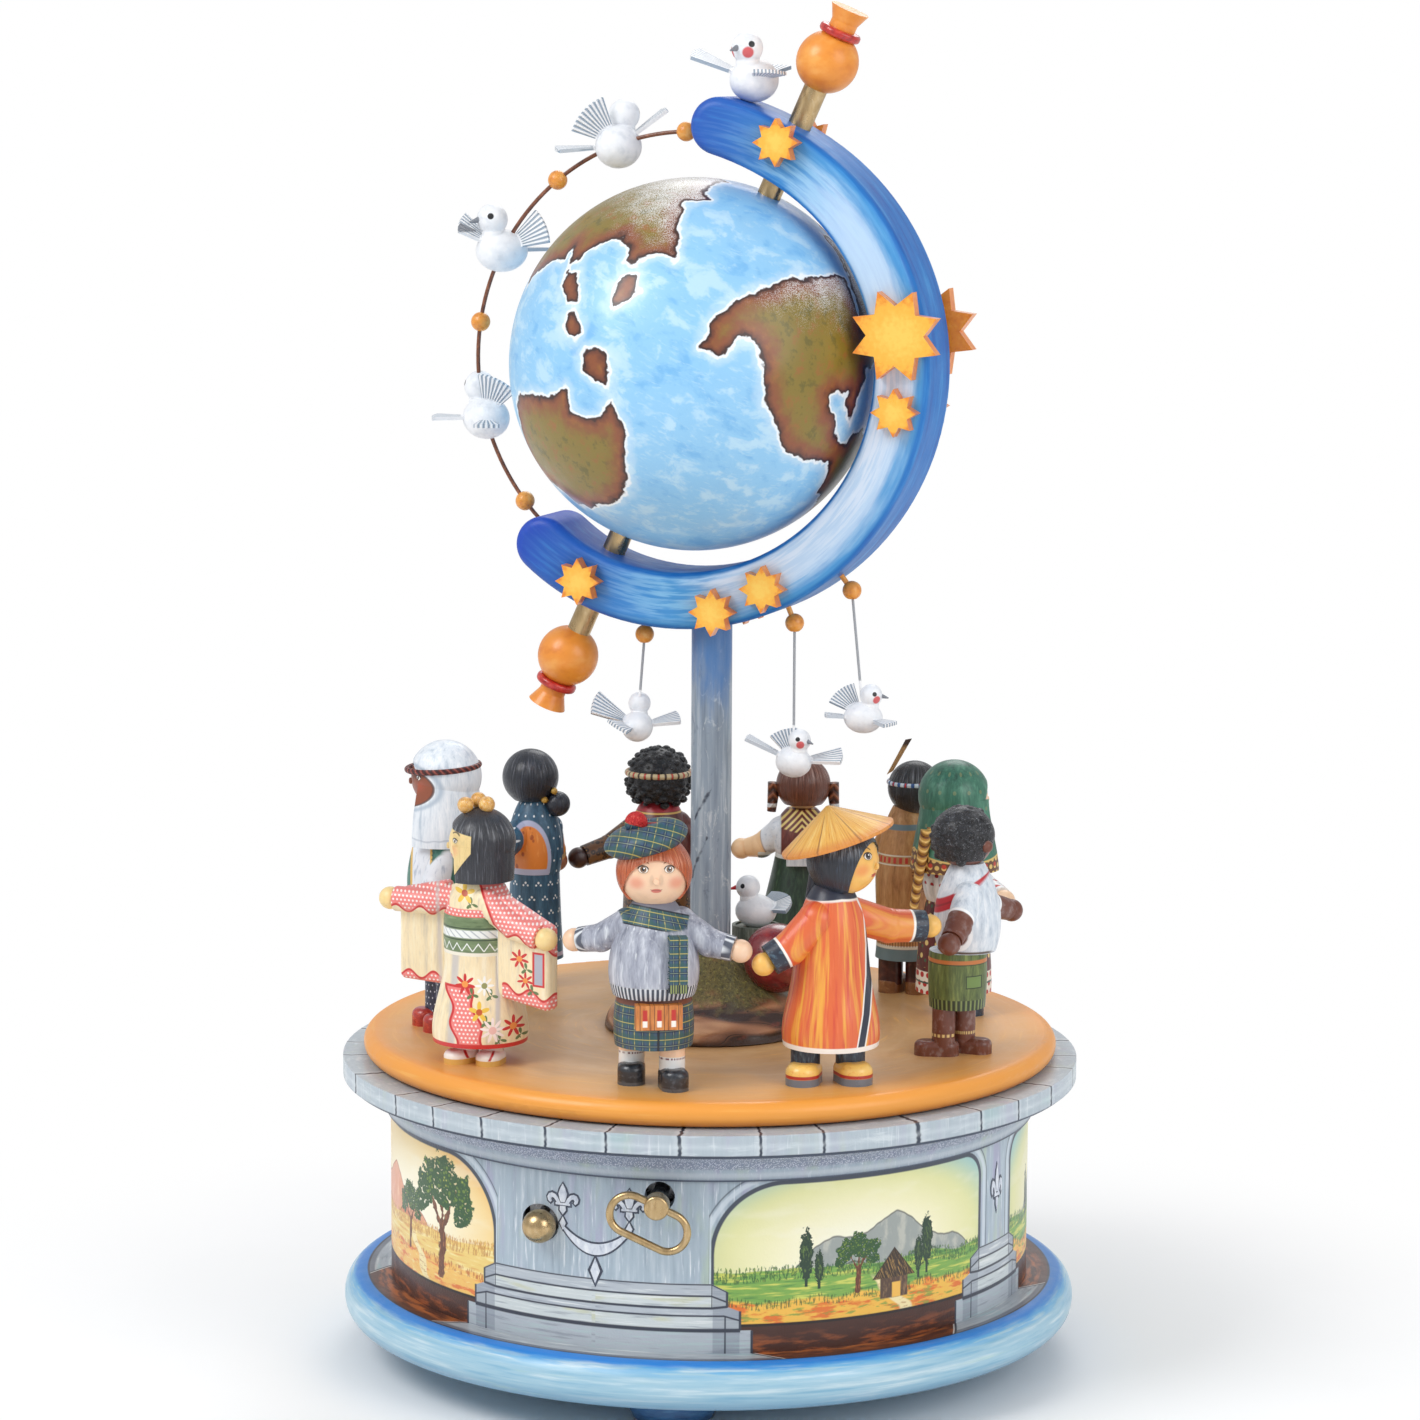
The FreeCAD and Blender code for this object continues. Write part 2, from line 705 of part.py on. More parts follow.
def globe_half(side):
    outer = Part.makeSphere(globe_radius, V(0, 0, 0), UP, 0, 90, 360)
    inner = ball(globe_radius - globe_wall, V(0, 0, 0))
    boss = Part.makeCylinder(globe_boss_radius, globe_boss_depth + globe_wall / 2,
                             V(0, 0, globe_radius - globe_wall - globe_boss_depth))
    bore = Part.makeCylinder(axis_tube_radius + running_clearance, globe_radius)
    half = outer.cut(inner).fuse(boss).removeSplitter().cut(bore)
    return placed(half, globe_centre, axis_direction * side)


def finial_body():
    neck_end = finial_cap_distance - 0.55 * (finial_cap_distance - collar_distance)
    stem = lathe(((finial_neck_radius, 0.0), (finial_neck_radius, neck_end),
                  (0.93 * finial_cap_radius, finial_cap_distance - 1.0),
                  (finial_cap_radius, finial_cap_distance)))
    return ball(finial_radius, V(0, 0, 0)).fuse(stem).removeSplitter()


def finials():
    bore_end = -finial_radius + finial_bore_depth
    bore = Part.makeCylinder(axis_tube_radius, finial_radius, V(0, 0, bore_end - finial_radius))
    finial = finial_body().cut(bore)
    return [placed(finial, globe_centre + axis_direction * side * finial_distance,
                   axis_direction * side) for side in (1, -1)]


def finial_collars():
    ring = Part.makeCylinder(collar_radius, collar_thickness,
                             V(0, 0, collar_distance - collar_thickness / 2))
    rims = [edge for edge in ring.Edges if len(edge.Vertexes) == 1]
    ring = ring.makeFillet(0.4 * collar_thickness, rims).cut(finial_body())
    return [placed(ring, globe_centre + axis_direction * side * finial_distance,
                   axis_direction * side) for side in (1, -1)]


def wire_beads():
    wire = wire_arc()
    return [ball(ring_bead_radius, bow_point(wire_ring_radius, angle)).cut(wire)
            for angle in ring_bead_angles]


def hanger_beads():
    """Beads on pegs. Each has a round socket and a flared way out for a dove's wire."""
    solids = []
    for angle in hanger_angles:
        centre = bow_point(hanger_bead_distance, angle)
        socket = ball(hanger_ball_radius + running_clearance, centre)
        mouth = taper(hanger_cone_top_radius, hanger_cone_low_radius,
                      centre - UP * (hanger_ball_radius * 0.6),
                      centre - UP * (hanger_bead_radius + 0.5))
        bead = ball(hanger_bead_radius, centre).fuse(hanger_peg(angle)).removeSplitter()
        solids.append(bead.cut([socket, mouth]))
    return solids


# Doves

def dove_torso(scale):
    """Body and head of a dove at the origin that looks to the front."""
    half = dove_body_half_length * scale
    radius = dove_body_radius * scale
    profile = [(radius * cos(radians(turn)), half * sin(radians(turn)))
               for turn in (-82, -62, -40, -18, 5, 28, 50, 68, 82)]
    torso = placed(lathe_smooth(profile), V(0, 0, 0), FRONT)
    head = V(0, -dove_head_reach * scale, dove_head_rise * scale)
    neck = V(0, -0.3 * half, 0.3 * radius)
    return torso.fuse([ball(dove_head_radius * scale, head),
                       taper(0.62 * radius, 0.66 * dove_head_radius * scale, neck, head)])


def dove_beak(scale):
    head = V(0, -dove_head_reach * scale, dove_head_rise * scale)
    start = head + FRONT * ((dove_head_radius - dove_beak_inset) * scale)
    tip = start + V(0, -dove_beak_length * scale, -0.25 * dove_beak_length * scale)
    return taper(dove_beak_radius * scale, 0.25 * dove_beak_radius * scale, start, tip)


def fan(centre, tip, face, spread):
    """Flat fan from near the centre to the tip, whose broad side looks along face."""
    reach = tip.Length
    along = V(tip.x, tip.y, tip.z).normalize()
    normal = face - along * face.dot(along)
    normal.normalize()
    across = normal.cross(along)

    def at(radius, angle):
        turn = radians(angle)
        return (centre + along * (radius * cos(turn)) + across * (radius * sin(turn))
                - normal * (fan_thickness / 2))

    half = spread / 2
    edges = [Part.makeLine(at(fan_root, -half), at(reach, -half)),
             Part.Arc(at(reach, -half), at(reach, 0), at(reach, half)).toShape(),
             Part.makeLine(at(reach, half), at(fan_root, half)),
             Part.makeLine(at(fan_root, half), at(fan_root, -half))]
    return Part.Face(Part.Wire(edges)).extrude(normal * fan_thickness)


def dove(centre, heading, scale, fans):
    """Dove's solids: torso with head, beak and fans. Each fan is (tip, face, spread)."""
    def moved(shape):
        result = turned_to(shape, heading)
        result.translate(centre)
        return result

    torso = moved(dove_torso(scale))
    beak = moved(dove_beak(scale)).cut(torso)
    solids = [torso, beak]
    for tip, face, spread in fans:
        plate = fan(centre, tip, face, spread).cut(solids)
        solids.append(plate)
    return solids


def bow_dove(blank):
    fans = ((seen(-20.5, 9.0, -3.0), seen(0.35, 0.9, 0.25), 38),
            (seen(5.5, 3.0, 11.5), seen(0.0, 1.0, -0.15), 58),
            (seen(9.0, 4.5, -15.0), seen(0.0, 1.0, 0.1), 28))
    centre = bow_point(96.9, 77.0)
    solids = dove(centre, view_angle - 42, 1.0, fans)
    return [solids[0].cut(blank)] + solids[1:]


def ring_dove(radius, angle, heading, fans):
    wire = wire_arc()
    solids = dove(bow_point(radius, angle), heading, 1.0, fans)
    return [solid.cut(wire) for solid in solids]


def perched_doves(blank):
    upper = ((seen(-11.5, 12.0, 6.0), seen(0.2, 0.1, 1.0), 52),
             (seen(16.0, 12.5, -3.0), seen(-0.6, 0.75, 0.1), 36),
             (seen(-21.0, -1.0, 4.0), seen(0.0, 1.0, 0.1), 30))
    middle = ((seen(-14.0, 10.0, 4.0), seen(0.6, 0.6, 0.5), 36),
              (seen(15.0, 9.0, 5.5), seen(-0.3, 0.3, 1.0), 40),
              (seen(13.0, 0.0, -15.0), seen(0.0, 1.0, 0.0), 30))
    lower = ((seen(4.5, 13.5, 9.0), seen(-0.3, -0.2, 1.0), 50),
             (seen(-18.5, 0.0, -2.0), seen(0.05, 1.0, 0.05), 34),
             (seen(1.0, -1.5, 18.0), seen(0.0, 1.0, 0.0), 28))
    return (bow_dove(blank)
            + ring_dove(76.6, 110.0, view_angle + 150, upper)
            + ring_dove(77.6, 152.0, view_angle - 62, middle)
            + ring_dove(77.2, -164.5, view_angle - 140, lower))


def mound_dove():
    scale = 0.78
    seat = mound_underside + stump_top - stump_rim / 2
    centre = V(stump_place[0], stump_place[1], seat + 0.93 * dove_body_radius * scale)
    fans = ((seen(12.0, 3.0, 3.0), seen(-0.2, 1.0, 0.3), 50),
            (seen(9.0, 4.5, -8.0), seen(-0.2, 1.0, 0.2), 40))
    stump = tree_stump()
    return [solid.cut(stump) for solid in dove(centre, view_angle - 88, scale, fans)]


def hanging_dove(angle, hang, heading, fans):
    """Dove on a stiff wire. The wire ends in a small ball that sits in its bead."""
    bead = bow_point(hanger_bead_distance, angle)
    centre = bead + seen(hang[0], hang[1], 0)
    solids = dove(centre, heading, hanging_dove_scale, fans)
    wire = ball(hanger_ball_radius, bead).fuse(rod(hanging_wire_radius, bead, centre))
    wire = wire.cut(solids)
    keep = max(wire.Solids, key=lambda solid: solid.BoundBox.ZMax)
    return solids + [keep]


def left_dove():
    fans = ((seen(-15.0, 9.0, 3.0), seen(0.5, 0.7, 0.7), 34),
            (seen(14.5, 3.0, -2.0), seen(-0.1, 1.0, 0.3), 36),
            (seen(-7.0, 1.5, 11.0), seen(0.1, 1.0, 0.6), 40))
    return hanging_dove(hanger_angles[0], (-2.4, -31.8), view_angle + 165, fans)


def middle_dove():
    fans = ((seen(-16.0, 8.0, -3.0), seen(0.45, 0.9, 0.1), 26),
            (seen(16.5, 2.5, 2.0), seen(-0.1, 1.0, 0.4), 34),
            (seen(-3.5, 9.5, -8.0), seen(0.0, 0.3, 1.0), 44))
    return hanging_dove(hanger_angles[1], (0.0, -47.3), view_angle + 48, fans)


def right_dove():
    fans = ((seen(-8.0, 8.5, -5.0), seen(0.3, 0.2, 1.0), 50),
            (seen(9.0, -1.0, 9.0), seen(0.0, 1.0, 0.1), 30),
            (seen(-13.0, 1.0, 1.0), seen(0.0, 1.0, 0.0), 26))
    return hanging_dove(hanger_angles[2], (4.2, -43.0), view_angle + 76, fans)


# Movement, drawn in its own frame and then turned to its angle

def movement_point(x, reach, height):
    return V(x, -reach, height)


def bar(radius, x, height, start, end):
    return rod(radius, movement_point(x, start, height), movement_point(x, end, height))


def gear_outline(teeth, addendum, dedendum, first_angle):
    pitch_radius = gear_module * teeth / 2
    base_circle = pitch_radius * cos(radians(pressure_angle))
    root = pitch_radius - dedendum
    tip = pitch_radius + addendum
    involute = tan(radians(pressure_angle)) - radians(pressure_angle)
    half_pitch_tooth = (pi * gear_module / 2 - gear_backlash) / 2 / pitch_radius

    def half_tooth(radius):
        reach = acos(min(1.0, base_circle / max(radius, base_circle)))
        return half_pitch_tooth + involute - (tan(reach) - reach)

    steps = 6
    first_radius = max(root, base_circle)
    radii = [first_radius + (tip - first_radius) * step / (steps - 1) for step in range(steps)]
    if root < base_circle:
        radii.insert(0, root)
    corners = []
    for tooth in range(teeth):
        middle = radians(first_angle + tooth * 360 / teeth)
        for radius in radii:
            corners.append((radius, middle - half_tooth(radius)))
        for radius in reversed(radii):
            corners.append((radius, middle + half_tooth(radius)))
    return corners


def gear(teeth, addendum, dedendum, first_angle, x, height, start, width, bore):
    corners = [movement_point(x + radius * cos(turn), start, height + radius * sin(turn))
               for radius, turn in gear_outline(teeth, addendum, dedendum, first_angle)]
    wheel = prism(corners, FRONT * width)
    return wheel.cut(bar(bore, x, height, start, start + width))


def winding_arbor():
    hub_start = key_reach - key_hub_length
    arbor = bar(arbor_radius, arbor_offset, arbor_height, arbor_inner_end,
                hub_start + key_bore_depth)
    return turned_to(arbor, movement_angle)


def winding_key():
    hub_start = key_reach - key_hub_length
    hub = bar(key_hub_radius, arbor_offset, arbor_height, hub_start, key_reach)
    rims = [edge for edge in hub.Edges if len(edge.Vertexes) == 1]
    hub = hub.makeFillet(0.25 * key_hub_radius, rims)
    ring_reach = hub_start + key_hub_length / 2
    bend = key_ring_width / 2 - key_wire_radius
    straight = key_ring_length / 2 - key_wire_radius - bend
    tilt = radians(key_ring_tilt)

    def at(across, down):
        return movement_point(arbor_offset + across * cos(tilt) + down * sin(tilt), ring_reach,
                              arbor_height + across * sin(tilt) - down * cos(tilt))

    low = 2 * bend
    path = Part.Wire([
        Part.makeLine(at(0, 0), at(straight, 0)),
        Part.Arc(at(straight, 0), at(straight + bend, bend), at(straight, low)).toShape(),
        Part.makeLine(at(straight, low), at(-straight, low)),
        Part.Arc(at(-straight, low), at(-straight - bend, bend), at(-straight, 0)).toShape(),
        Part.makeLine(at(-straight, 0), at(0, 0))])
    along = at(1, 0) - at(0, 0)
    section = Part.Wire(Part.makeCircle(key_wire_radius, at(0, 0), along))
    ring = path.makePipeShell([section], True, False)
    bore = bar(arbor_radius, arbor_offset, arbor_height, hub_start, hub_start + key_bore_depth)
    return turned_to(hub.fuse(ring).removeSplitter().cut(bore), movement_angle)


def spring_barrel():
    bore = arbor_radius + running_clearance
    wheel = gear(great_wheel_teeth, wheel_addendum, wheel_dedendum, barrel_to_cylinder,
                 arbor_offset, arbor_height, great_wheel_start, gear_width, bore)
    start = great_wheel_start + gear_width
    end = start + barrel_length
    drum = bar(barrel_radius, arbor_offset, arbor_height, start, end)
    inside = bar(barrel_radius - barrel_wall, arbor_offset, arbor_height,
                 start + barrel_wall, end - barrel_wall)
    drum = drum.cut([inside, bar(bore, arbor_offset, arbor_height, start, end)])
    return [turned_to(wheel, movement_angle), turned_to(drum, movement_angle)]


def cylinder_arbor():
    x, height = cylinder_axis_offset, cylinder_height
    arbor = bar(cylinder_arbor_radius, x, height, cylinder_arbor_start, cylinder_arbor_end)
    pinion_first = barrel_to_cylinder + 180 + 180 / cylinder_pinion_teeth
    pinion = gear(cylinder_pinion_teeth, pinion_addendum, pinion_dedendum, pinion_first,
                  x, height, great_wheel_start - pinion_extra_width,
                  gear_width + 2 * pinion_extra_width, cylinder_arbor_radius)
    wheel = gear(governor_wheel_teeth, wheel_addendum, wheel_dedendum, governor_direction,
                 x, height, governor_wheel_start, gear_width, cylinder_arbor_radius)
    return [turned_to(solid, movement_angle) for solid in (arbor, pinion, wheel)]


def tone_cylinder():
    x, height = cylinder_axis_offset, cylinder_height
    drum = bar(cylinder_radius, x, height, cylinder_start, cylinder_start + cylinder_length)
    pins = []
    for index in range(pin_count):
        row = (5 * index) % pin_rows
        reach = cylinder_start + comb_margin + (row + 0.5) * (
            cylinder_length - 2 * comb_margin) / pin_rows
        turn = radians(pin_turn * index)
        foot = movement_point(x + (cylinder_radius - 1) * cos(turn), reach,
                              height + (cylinder_radius - 1) * sin(turn))
        top = movement_point(x + (cylinder_radius + pin_height) * cos(turn), reach,
                             height + (cylinder_radius + pin_height) * sin(turn))
        pins.append(rod(pin_radius, foot, top))
    bore = bar(cylinder_arbor_radius, x, height, cylinder_start,
               cylinder_start + cylinder_length)
    return turned_to(drum.fuse(pins).cut(bore), movement_angle)


def friction_wheel():
    x, height = cylinder_axis_offset, cylinder_height
    end = friction_wheel_start + friction_wheel_width
    rim = friction_wheel_radius - friction_tyre_depth
    disc = bar(rim, x, height, friction_wheel_start, end).cut(
        bar(cylinder_arbor_radius, x, height, friction_wheel_start, end))
    tyre = bar(friction_wheel_radius, x, height, friction_wheel_start, end).cut(
        bar(rim, x, height, friction_wheel_start, end))
    return [turned_to(disc, movement_angle), turned_to(tyre, movement_angle)]


def governor_rotor():
    arbor = bar(governor_arbor_radius, governor_x, governor_z, governor_arbor_start,
                governor_arbor_end)
    first = governor_direction + 180 + 180 / governor_pinion_teeth
    pinion = gear(governor_pinion_teeth, pinion_addendum, pinion_dedendum, first,
                  governor_x, governor_z, governor_wheel_start - pinion_extra_width,
                  gear_width + 2 * pinion_extra_width, governor_arbor_radius)
    half = governor_fan_thickness / 2
    low = movement_point(governor_x - governor_fan_radius,
                         governor_fan_start + governor_fan_length, governor_z - half)
    high = movement_point(governor_x + governor_fan_radius, governor_fan_start,
                          governor_z + half)
    blades = box(low, high)
    hub = bar(2 * governor_arbor_radius, governor_x, governor_z, governor_fan_start,
              governor_fan_start + governor_fan_length)
    blades = blades.fuse(hub).removeSplitter().cut(arbor)
    return [turned_to(solid, movement_angle) for solid in (arbor, pinion, blades)]


def movement_box(left, right, inner, outer, low, high):
    return box(V(left, -outer, low), V(right, -inner, high))


def movement_block():
    block = movement_box(bedplate_left + block_inset, bedplate_right - block_inset,
                         bedplate_inner + block_inset, bedplate_outer - block_inset,
                         base_top, bedplate_top - bedplate_thickness)
    block = block.cut(screw_blanks())
    return turned_to(block, movement_angle)


def screw_places():
    left = bedplate_left + screw_inset + block_inset
    right = bedplate_right - screw_inset
    inner = bedplate_inner + screw_inset + block_inset
    outer = bedplate_outer - screw_inset - block_inset
    comb_x = (comb_root + comb_outer) / 2
    comb_low = cylinder_start + 0.25 * cylinder_length
    comb_high = cylinder_start + 0.75 * cylinder_length
    comb_top = cylinder_height + comb_thickness / 2
    return ((left, inner, bedplate_top), (left, outer, bedplate_top),
            (right, inner, bedplate_top), (right, outer, bedplate_top),
            (comb_x, comb_low, comb_top), (comb_x, comb_high, comb_top))


def screw_blanks():
    screws = []
    for x, reach, height in screw_places():
        seat = movement_point(x, reach, height)
        head = rod(screw_head_radius, seat, seat + UP * screw_head_height)
        shank = rod(screw_shank_radius, seat - UP * screw_depth, seat)
        screws.append(head.fuse(shank).removeSplitter())
    return screws


def bedplate_screws():
    solids = []
    for blank, (x, reach, height) in zip(screw_blanks(), screw_places()):
        slot = movement_box(x - screw_head_radius, x + screw_head_radius,
                            reach - screw_slot_width / 2, reach + screw_slot_width / 2,
                            height + screw_head_height - screw_slot_depth,
                            height + screw_head_height)
        solids.append(turned_to(blank.cut(slot), movement_angle))
    return solids


def governor_cock():
    corners = [(upright_left, bedplate_top), (cock_right, bedplate_top),
               (cock_right, cock_step), (cock_upper_right, cock_shoulder),
               (cock_upper_right, cock_top), (upright_left, cock_top)]
    points = [movement_point(x, cock_start, height) for x, height in corners]
    return prism(points, FRONT * cock_thickness)


def knob_guide():
    half = knob_rod_radius + knob_guide_wall
    end = knob_guide_start + knob_guide_length
    foot = movement_box(knob_offset - half, bedplate_left, knob_guide_start, end,
                        bedplate_top - bedplate_thickness, bedplate_top)
    stand = movement_box(knob_offset - half, knob_offset + half, knob_guide_start, end,
                         bedplate_top, knob_height + half)
    return foot.fuse(stand)


def comb_step():
    return movement_box(comb_root, comb_outer, cylinder_start - comb_margin,
                        cylinder_start + cylinder_length + comb_margin, bedplate_top,
                        cylinder_height - comb_thickness / 2)


def movement_bedplate():
    """Cast frame: plate, two uprights, the fan's cock, the comb's step and the rod's guide."""
    plate = movement_box(bedplate_left, bedplate_right, bedplate_inner, bedplate_outer,
                         bedplate_top - bedplate_thickness, bedplate_top)
    uprights = [movement_box(upright_left, upright_right, start, start + upright_thickness,
                             bedplate_top, upright_top)
                for start in (inner_upright_start, outer_upright_start)]
    frame = plate.fuse(uprights + [governor_cock(), knob_guide(), comb_step()])
    frame = frame.removeSplitter()
    holes = [bar(arbor_radius + running_clearance, arbor_offset, arbor_height,
                 bedplate_inner, bedplate_outer),
             bar(cylinder_arbor_radius + running_clearance, cylinder_axis_offset,
                 cylinder_height, bedplate_inner, bedplate_outer),
             bar(governor_arbor_radius + running_clearance, governor_x, governor_z,
                 bedplate_inner, cock_start + cock_thickness),
             bar(knob_rod_radius + running_clearance, knob_offset, knob_height,
                 bedplate_inner, bedplate_outer)]
    return turned_to(frame.cut(holes + screw_blanks()), movement_angle)


def steel_comb():
    low = cylinder_height - comb_thickness / 2
    tip = cylinder_axis_offset + cylinder_radius + pin_height + comb_tip_gap
    comb = movement_box(tip, comb_outer, cylinder_start, cylinder_start + cylinder_length,
                        low, low + comb_thickness)
    pitch = cylinder_length / comb_teeth
    slots = []
    for index in range(1, comb_teeth):
        middle = cylinder_start + index * pitch
        slots.append(movement_box(tip, comb_root, middle - comb_slot / 2,
                                  middle + comb_slot / 2, low, low + comb_thickness))
    return turned_to(comb.cut(slots + screw_blanks()), movement_angle)


def stop_rod():
    """Rod with a lever toward the governor. Pushed in, the lever stands clear of the fan."""
    rod_end = knob_reach - knob_ball_radius / 2
    main = bar(knob_rod_radius, knob_offset, knob_height, knob_rod_inner_end, rod_end)
    start = movement_point(knob_offset, knob_rod_inner_end + knob_rod_radius, knob_height)
    centre = movement_point(governor_x, knob_rod_inner_end + knob_rod_radius, governor_z)
    along = centre - start
    length = along.Length - governor_fan_radius - lever_gap
    along.normalize()
    lever = rod(lever_radius, start, start + along * length)
    return turned_to(main.fuse(lever).removeSplitter(), movement_angle)


def stop_knob():
    knob = ball(knob_ball_radius, movement_point(knob_offset, knob_reach, knob_height))
    socket = bar(knob_rod_radius, knob_offset, knob_height, knob_reach - 2 * knob_ball_radius,
                 knob_reach - knob_ball_radius / 2)
    return turned_to(knob.cut(socket), movement_angle)


# Turntable

def turntable_disc():
    disc = Part.makeCylinder(turntable_radius, turntable_thickness, V(0, 0, turntable_underside))
    rims = [edge for edge in disc.Edges if len(edge.Vertexes) == 1]
    disc = disc.makeFillet(turntable_edge_radius, rims)
    boss = Part.makeCylinder(boss_radius, boss_height, V(0, 0, boss_underside))
    bore = Part.makeCylinder(bush_radius, boss_height + turntable_thickness,
                             V(0, 0, boss_underside))
    return disc.fuse(boss).removeSplitter().cut(bore)


def turntable_bush():
    return tube(bush_radius, spigot_radius + running_clearance, boss_underside, turntable_top)


# Dolls

def doll_frame(spec):
    place = ring_point(spec["ring"], spec["place"], turntable_top)
    return FreeCAD.Placement(place, FreeCAD.Rotation(UP, spec["facing"]))


def head_frame(spec):
    """Placement of the head: its origin is the head's centre and it looks to its front."""
    place = ring_point(spec["ring"], spec["place"], turntable_top + spec["head"][0])
    return FreeCAD.Placement(place + seen(spec["lean"], 0, 0),
                             FreeCAD.Rotation(UP, spec["head_facing"]))


def fitted(shape, frame):
    result = shape.copy()
    result.Placement = frame.multiply(result.Placement)
    return result


def elbow_place(shoulder, hand):
    return (shoulder + hand) * 0.5 - UP * elbow_sag


def along_forearm(shoulder, hand):
    return (hand - elbow_place(shoulder, hand)).normalize()


def arm(shoulder, hand, sleeve):
    start_radius, end_radius = sleeve
    elbow = elbow_place(shoulder, hand)
    wrist = hand - along_forearm(shoulder, hand) * hand_grip
    middle = (start_radius + end_radius) / 2
    return [ball(start_radius + elbow_swell, shoulder),
            taper(start_radius, middle, shoulder, elbow),
            ball(middle + elbow_swell, elbow), taper(middle, end_radius, elbow, wrist)]


def hand_places(spec):
    return [ring_point(radius, angle, turntable_top + height)
            for angle, radius, height in spec["hands"]]


def shoulder_places(spec):
    height, reach = spec["shoulder"]
    frame = doll_frame(spec)
    return [frame.multVec(V(side * reach, 0, height)) + seen(spec["trunk"], 0, 0)
            for side in (-1, 1)]


def foot_places(spec):
    """Place on the turntable and heading of both feet, side by side or in the given stance."""
    frame = doll_frame(spec)
    if "stance" in spec:
        return [(frame.Base + seen(right, 0, near), view_angle + turn)
                for right, near, turn in spec["stance"]]
    spread, step = spec["legs"][1:]
    return [(frame.multVec(V(side * spread, side * step, 0)), spec["facing"])
            for side in (-1, 1)]


def shoe(length, width, height):
    """Shoe with round heel and toe that stands at the origin and points to the front."""
    radius = width / 2
    heel = 0.35 * length
    toe = -(length - heel) + radius
    heel_centre = heel - radius
    outline = Part.Wire([
        Part.makeLine(V(radius, toe, 0), V(radius, heel_centre, 0)),
        Part.Arc(V(radius, heel_centre, 0), V(0, heel, 0), V(-radius, heel_centre, 0)).toShape(),
        Part.makeLine(V(-radius, heel_centre, 0), V(-radius, toe, 0)),
        Part.Arc(V(-radius, toe, 0), V(0, toe - radius, 0), V(radius, toe, 0)).toShape()])
    body = Part.Face(outline).extrude(V(0, 0, height))
    rims = [edge for edge in body.Edges
            if all(abs(vertex.Z - height) < 1e-6 for vertex in edge.Vertexes)]
    return body.makeFillet(0.55 * radius, rims)


def hanging_sleeve(shoulder, hand, insets, drops):
    """Wide sleeve that hangs from the arm like a bag, set back a little behind the hand."""
    along = hand - shoulder
    flat = V(along.x, along.y, 0).normalize()
    across = flat.cross(UP)
    back = seen(0, 0, -sleeve_setback)
    inner = shoulder + flat * insets[0] + back
    outer = hand + flat * insets[1] + back
    corners = [inner + UP * sleeve_rise, outer + UP * sleeve_rise, outer - UP * drops[1],
               inner - UP * drops[0]]
    plate = prism([corner - across * (sleeve_thickness / 2) for corner in corners],
                  across * sleeve_thickness)
    return plate.makeFillet(0.3 * sleeve_thickness, plate.Edges)


def doll_body(spec, extras=(), sleeves=()):
    """Legs, shoes, garments with arms, and hands, as separate solids that only touch."""
    frame = doll_frame(spec)
    head = ball(spec["head"][1], head_frame(spec).Base)
    hands = hand_places(spec)
    shoulders = shoulder_places(spec)
    layers = [fitted(lathe_smooth(profile), frame) for profile in spec["layers"]]
    layers[-1].translate(seen(spec["trunk"], 0, 0))
    arms = []
    for shoulder, hand in zip(shoulders, hands):
        arms += arm(shoulder, hand, spec["sleeve"])
    palms = [ball(hand_radius, hand) for hand in hands]
    top = layers[-1].fuse(arms + list(sleeves)).cut([head] + layers[:-1])
    garments = [garment.cut(palms[0]).cut(palms[1]) for garment in layers[:-1] + [top]]
    solids = garments + palms
    leg_radius = spec["legs"][0]
    height = spec["shoe"][2]
    hem = spec["layers"][0][0][1]
    for place, heading in foot_places(spec):
        foot = turned_to(shoe(*spec["shoe"]), heading)
        foot.translate(place)
        leg = Part.makeCylinder(leg_radius, hem - height / 2, place + UP * (height / 2))
        solids.append(foot.cut(solids))
        solids.append(leg.cut(solids))
    for extra in extras:
        solids.append(fitted(extra, frame).cut(solids))
    return solids


def doll_hair(spec):
    """Cap of hair or cloth round the head, open for the face."""
    thickness, opening, opening_height, drop = spec["hair"]
    radius = spec["head"][1]
    shell = ball(radius + thickness, V(0, 0.5 * thickness, 0.3 * thickness))
    face = Part.makeCylinder(opening, 2 * radius, V(0, -0.18 * radius, opening_height), FRONT)
    low = -2 * radius
    below = box(V(low, low, low), V(-low, -low, -drop))
    return shell.cut([ball(radius, V(0, 0, 0)), face, below])


def doll_head(spec, extras=(), hair=True):
    """Head with nose, hair and what is worn on it, as separate solids that only touch."""
    radius = spec["head"][1]
    nose_base = V(0, -0.8 * radius, nose_height)
    nose = rod(nose_radius, nose_base, V(0, -radius - nose_reach, nose_height))
    rims = [edge for edge in nose.Edges
            if len(edge.Vertexes) == 1 and edge.BoundBox.YMax < -radius]
    nose = nose.makeFillet(0.6 * nose_radius, rims)
    solids = [ball(radius, V(0, 0, 0)).fuse(nose).removeSplitter()]
    if hair:
        solids.append(doll_hair(spec).cut(solids[0]))
    for extra in extras:
        solids.append(extra.cut(solids))
    frame = head_frame(spec)
    return [fitted(solid, frame) for solid in solids]


def largest(shape):
    return max(shape.Solids, key=lambda solid: solid.Volume)


def draped_cloth(spec, profile, half_opening):
    """Cloth that hangs from the head over the shoulders, open at the front."""
    outer = lathe_smooth(profile)
    inner = lathe_smooth([(radius - cloth_thickness, height) for radius, height in profile])
    opening = box(V(-half_opening, -2 * profile[0][0], 2 * profile[0][1]),
                  V(half_opening, -0.3 * spec["head"][1], 1.0))
    return outer.cut([inner, opening])


def settled(head, body):
    """Hair and what is worn on the head, cut clear of the garments."""
    pieces = [head[0]]
    for piece in head[1:]:
        pieces.append(largest(piece.cut(body[:3])))
    return pieces


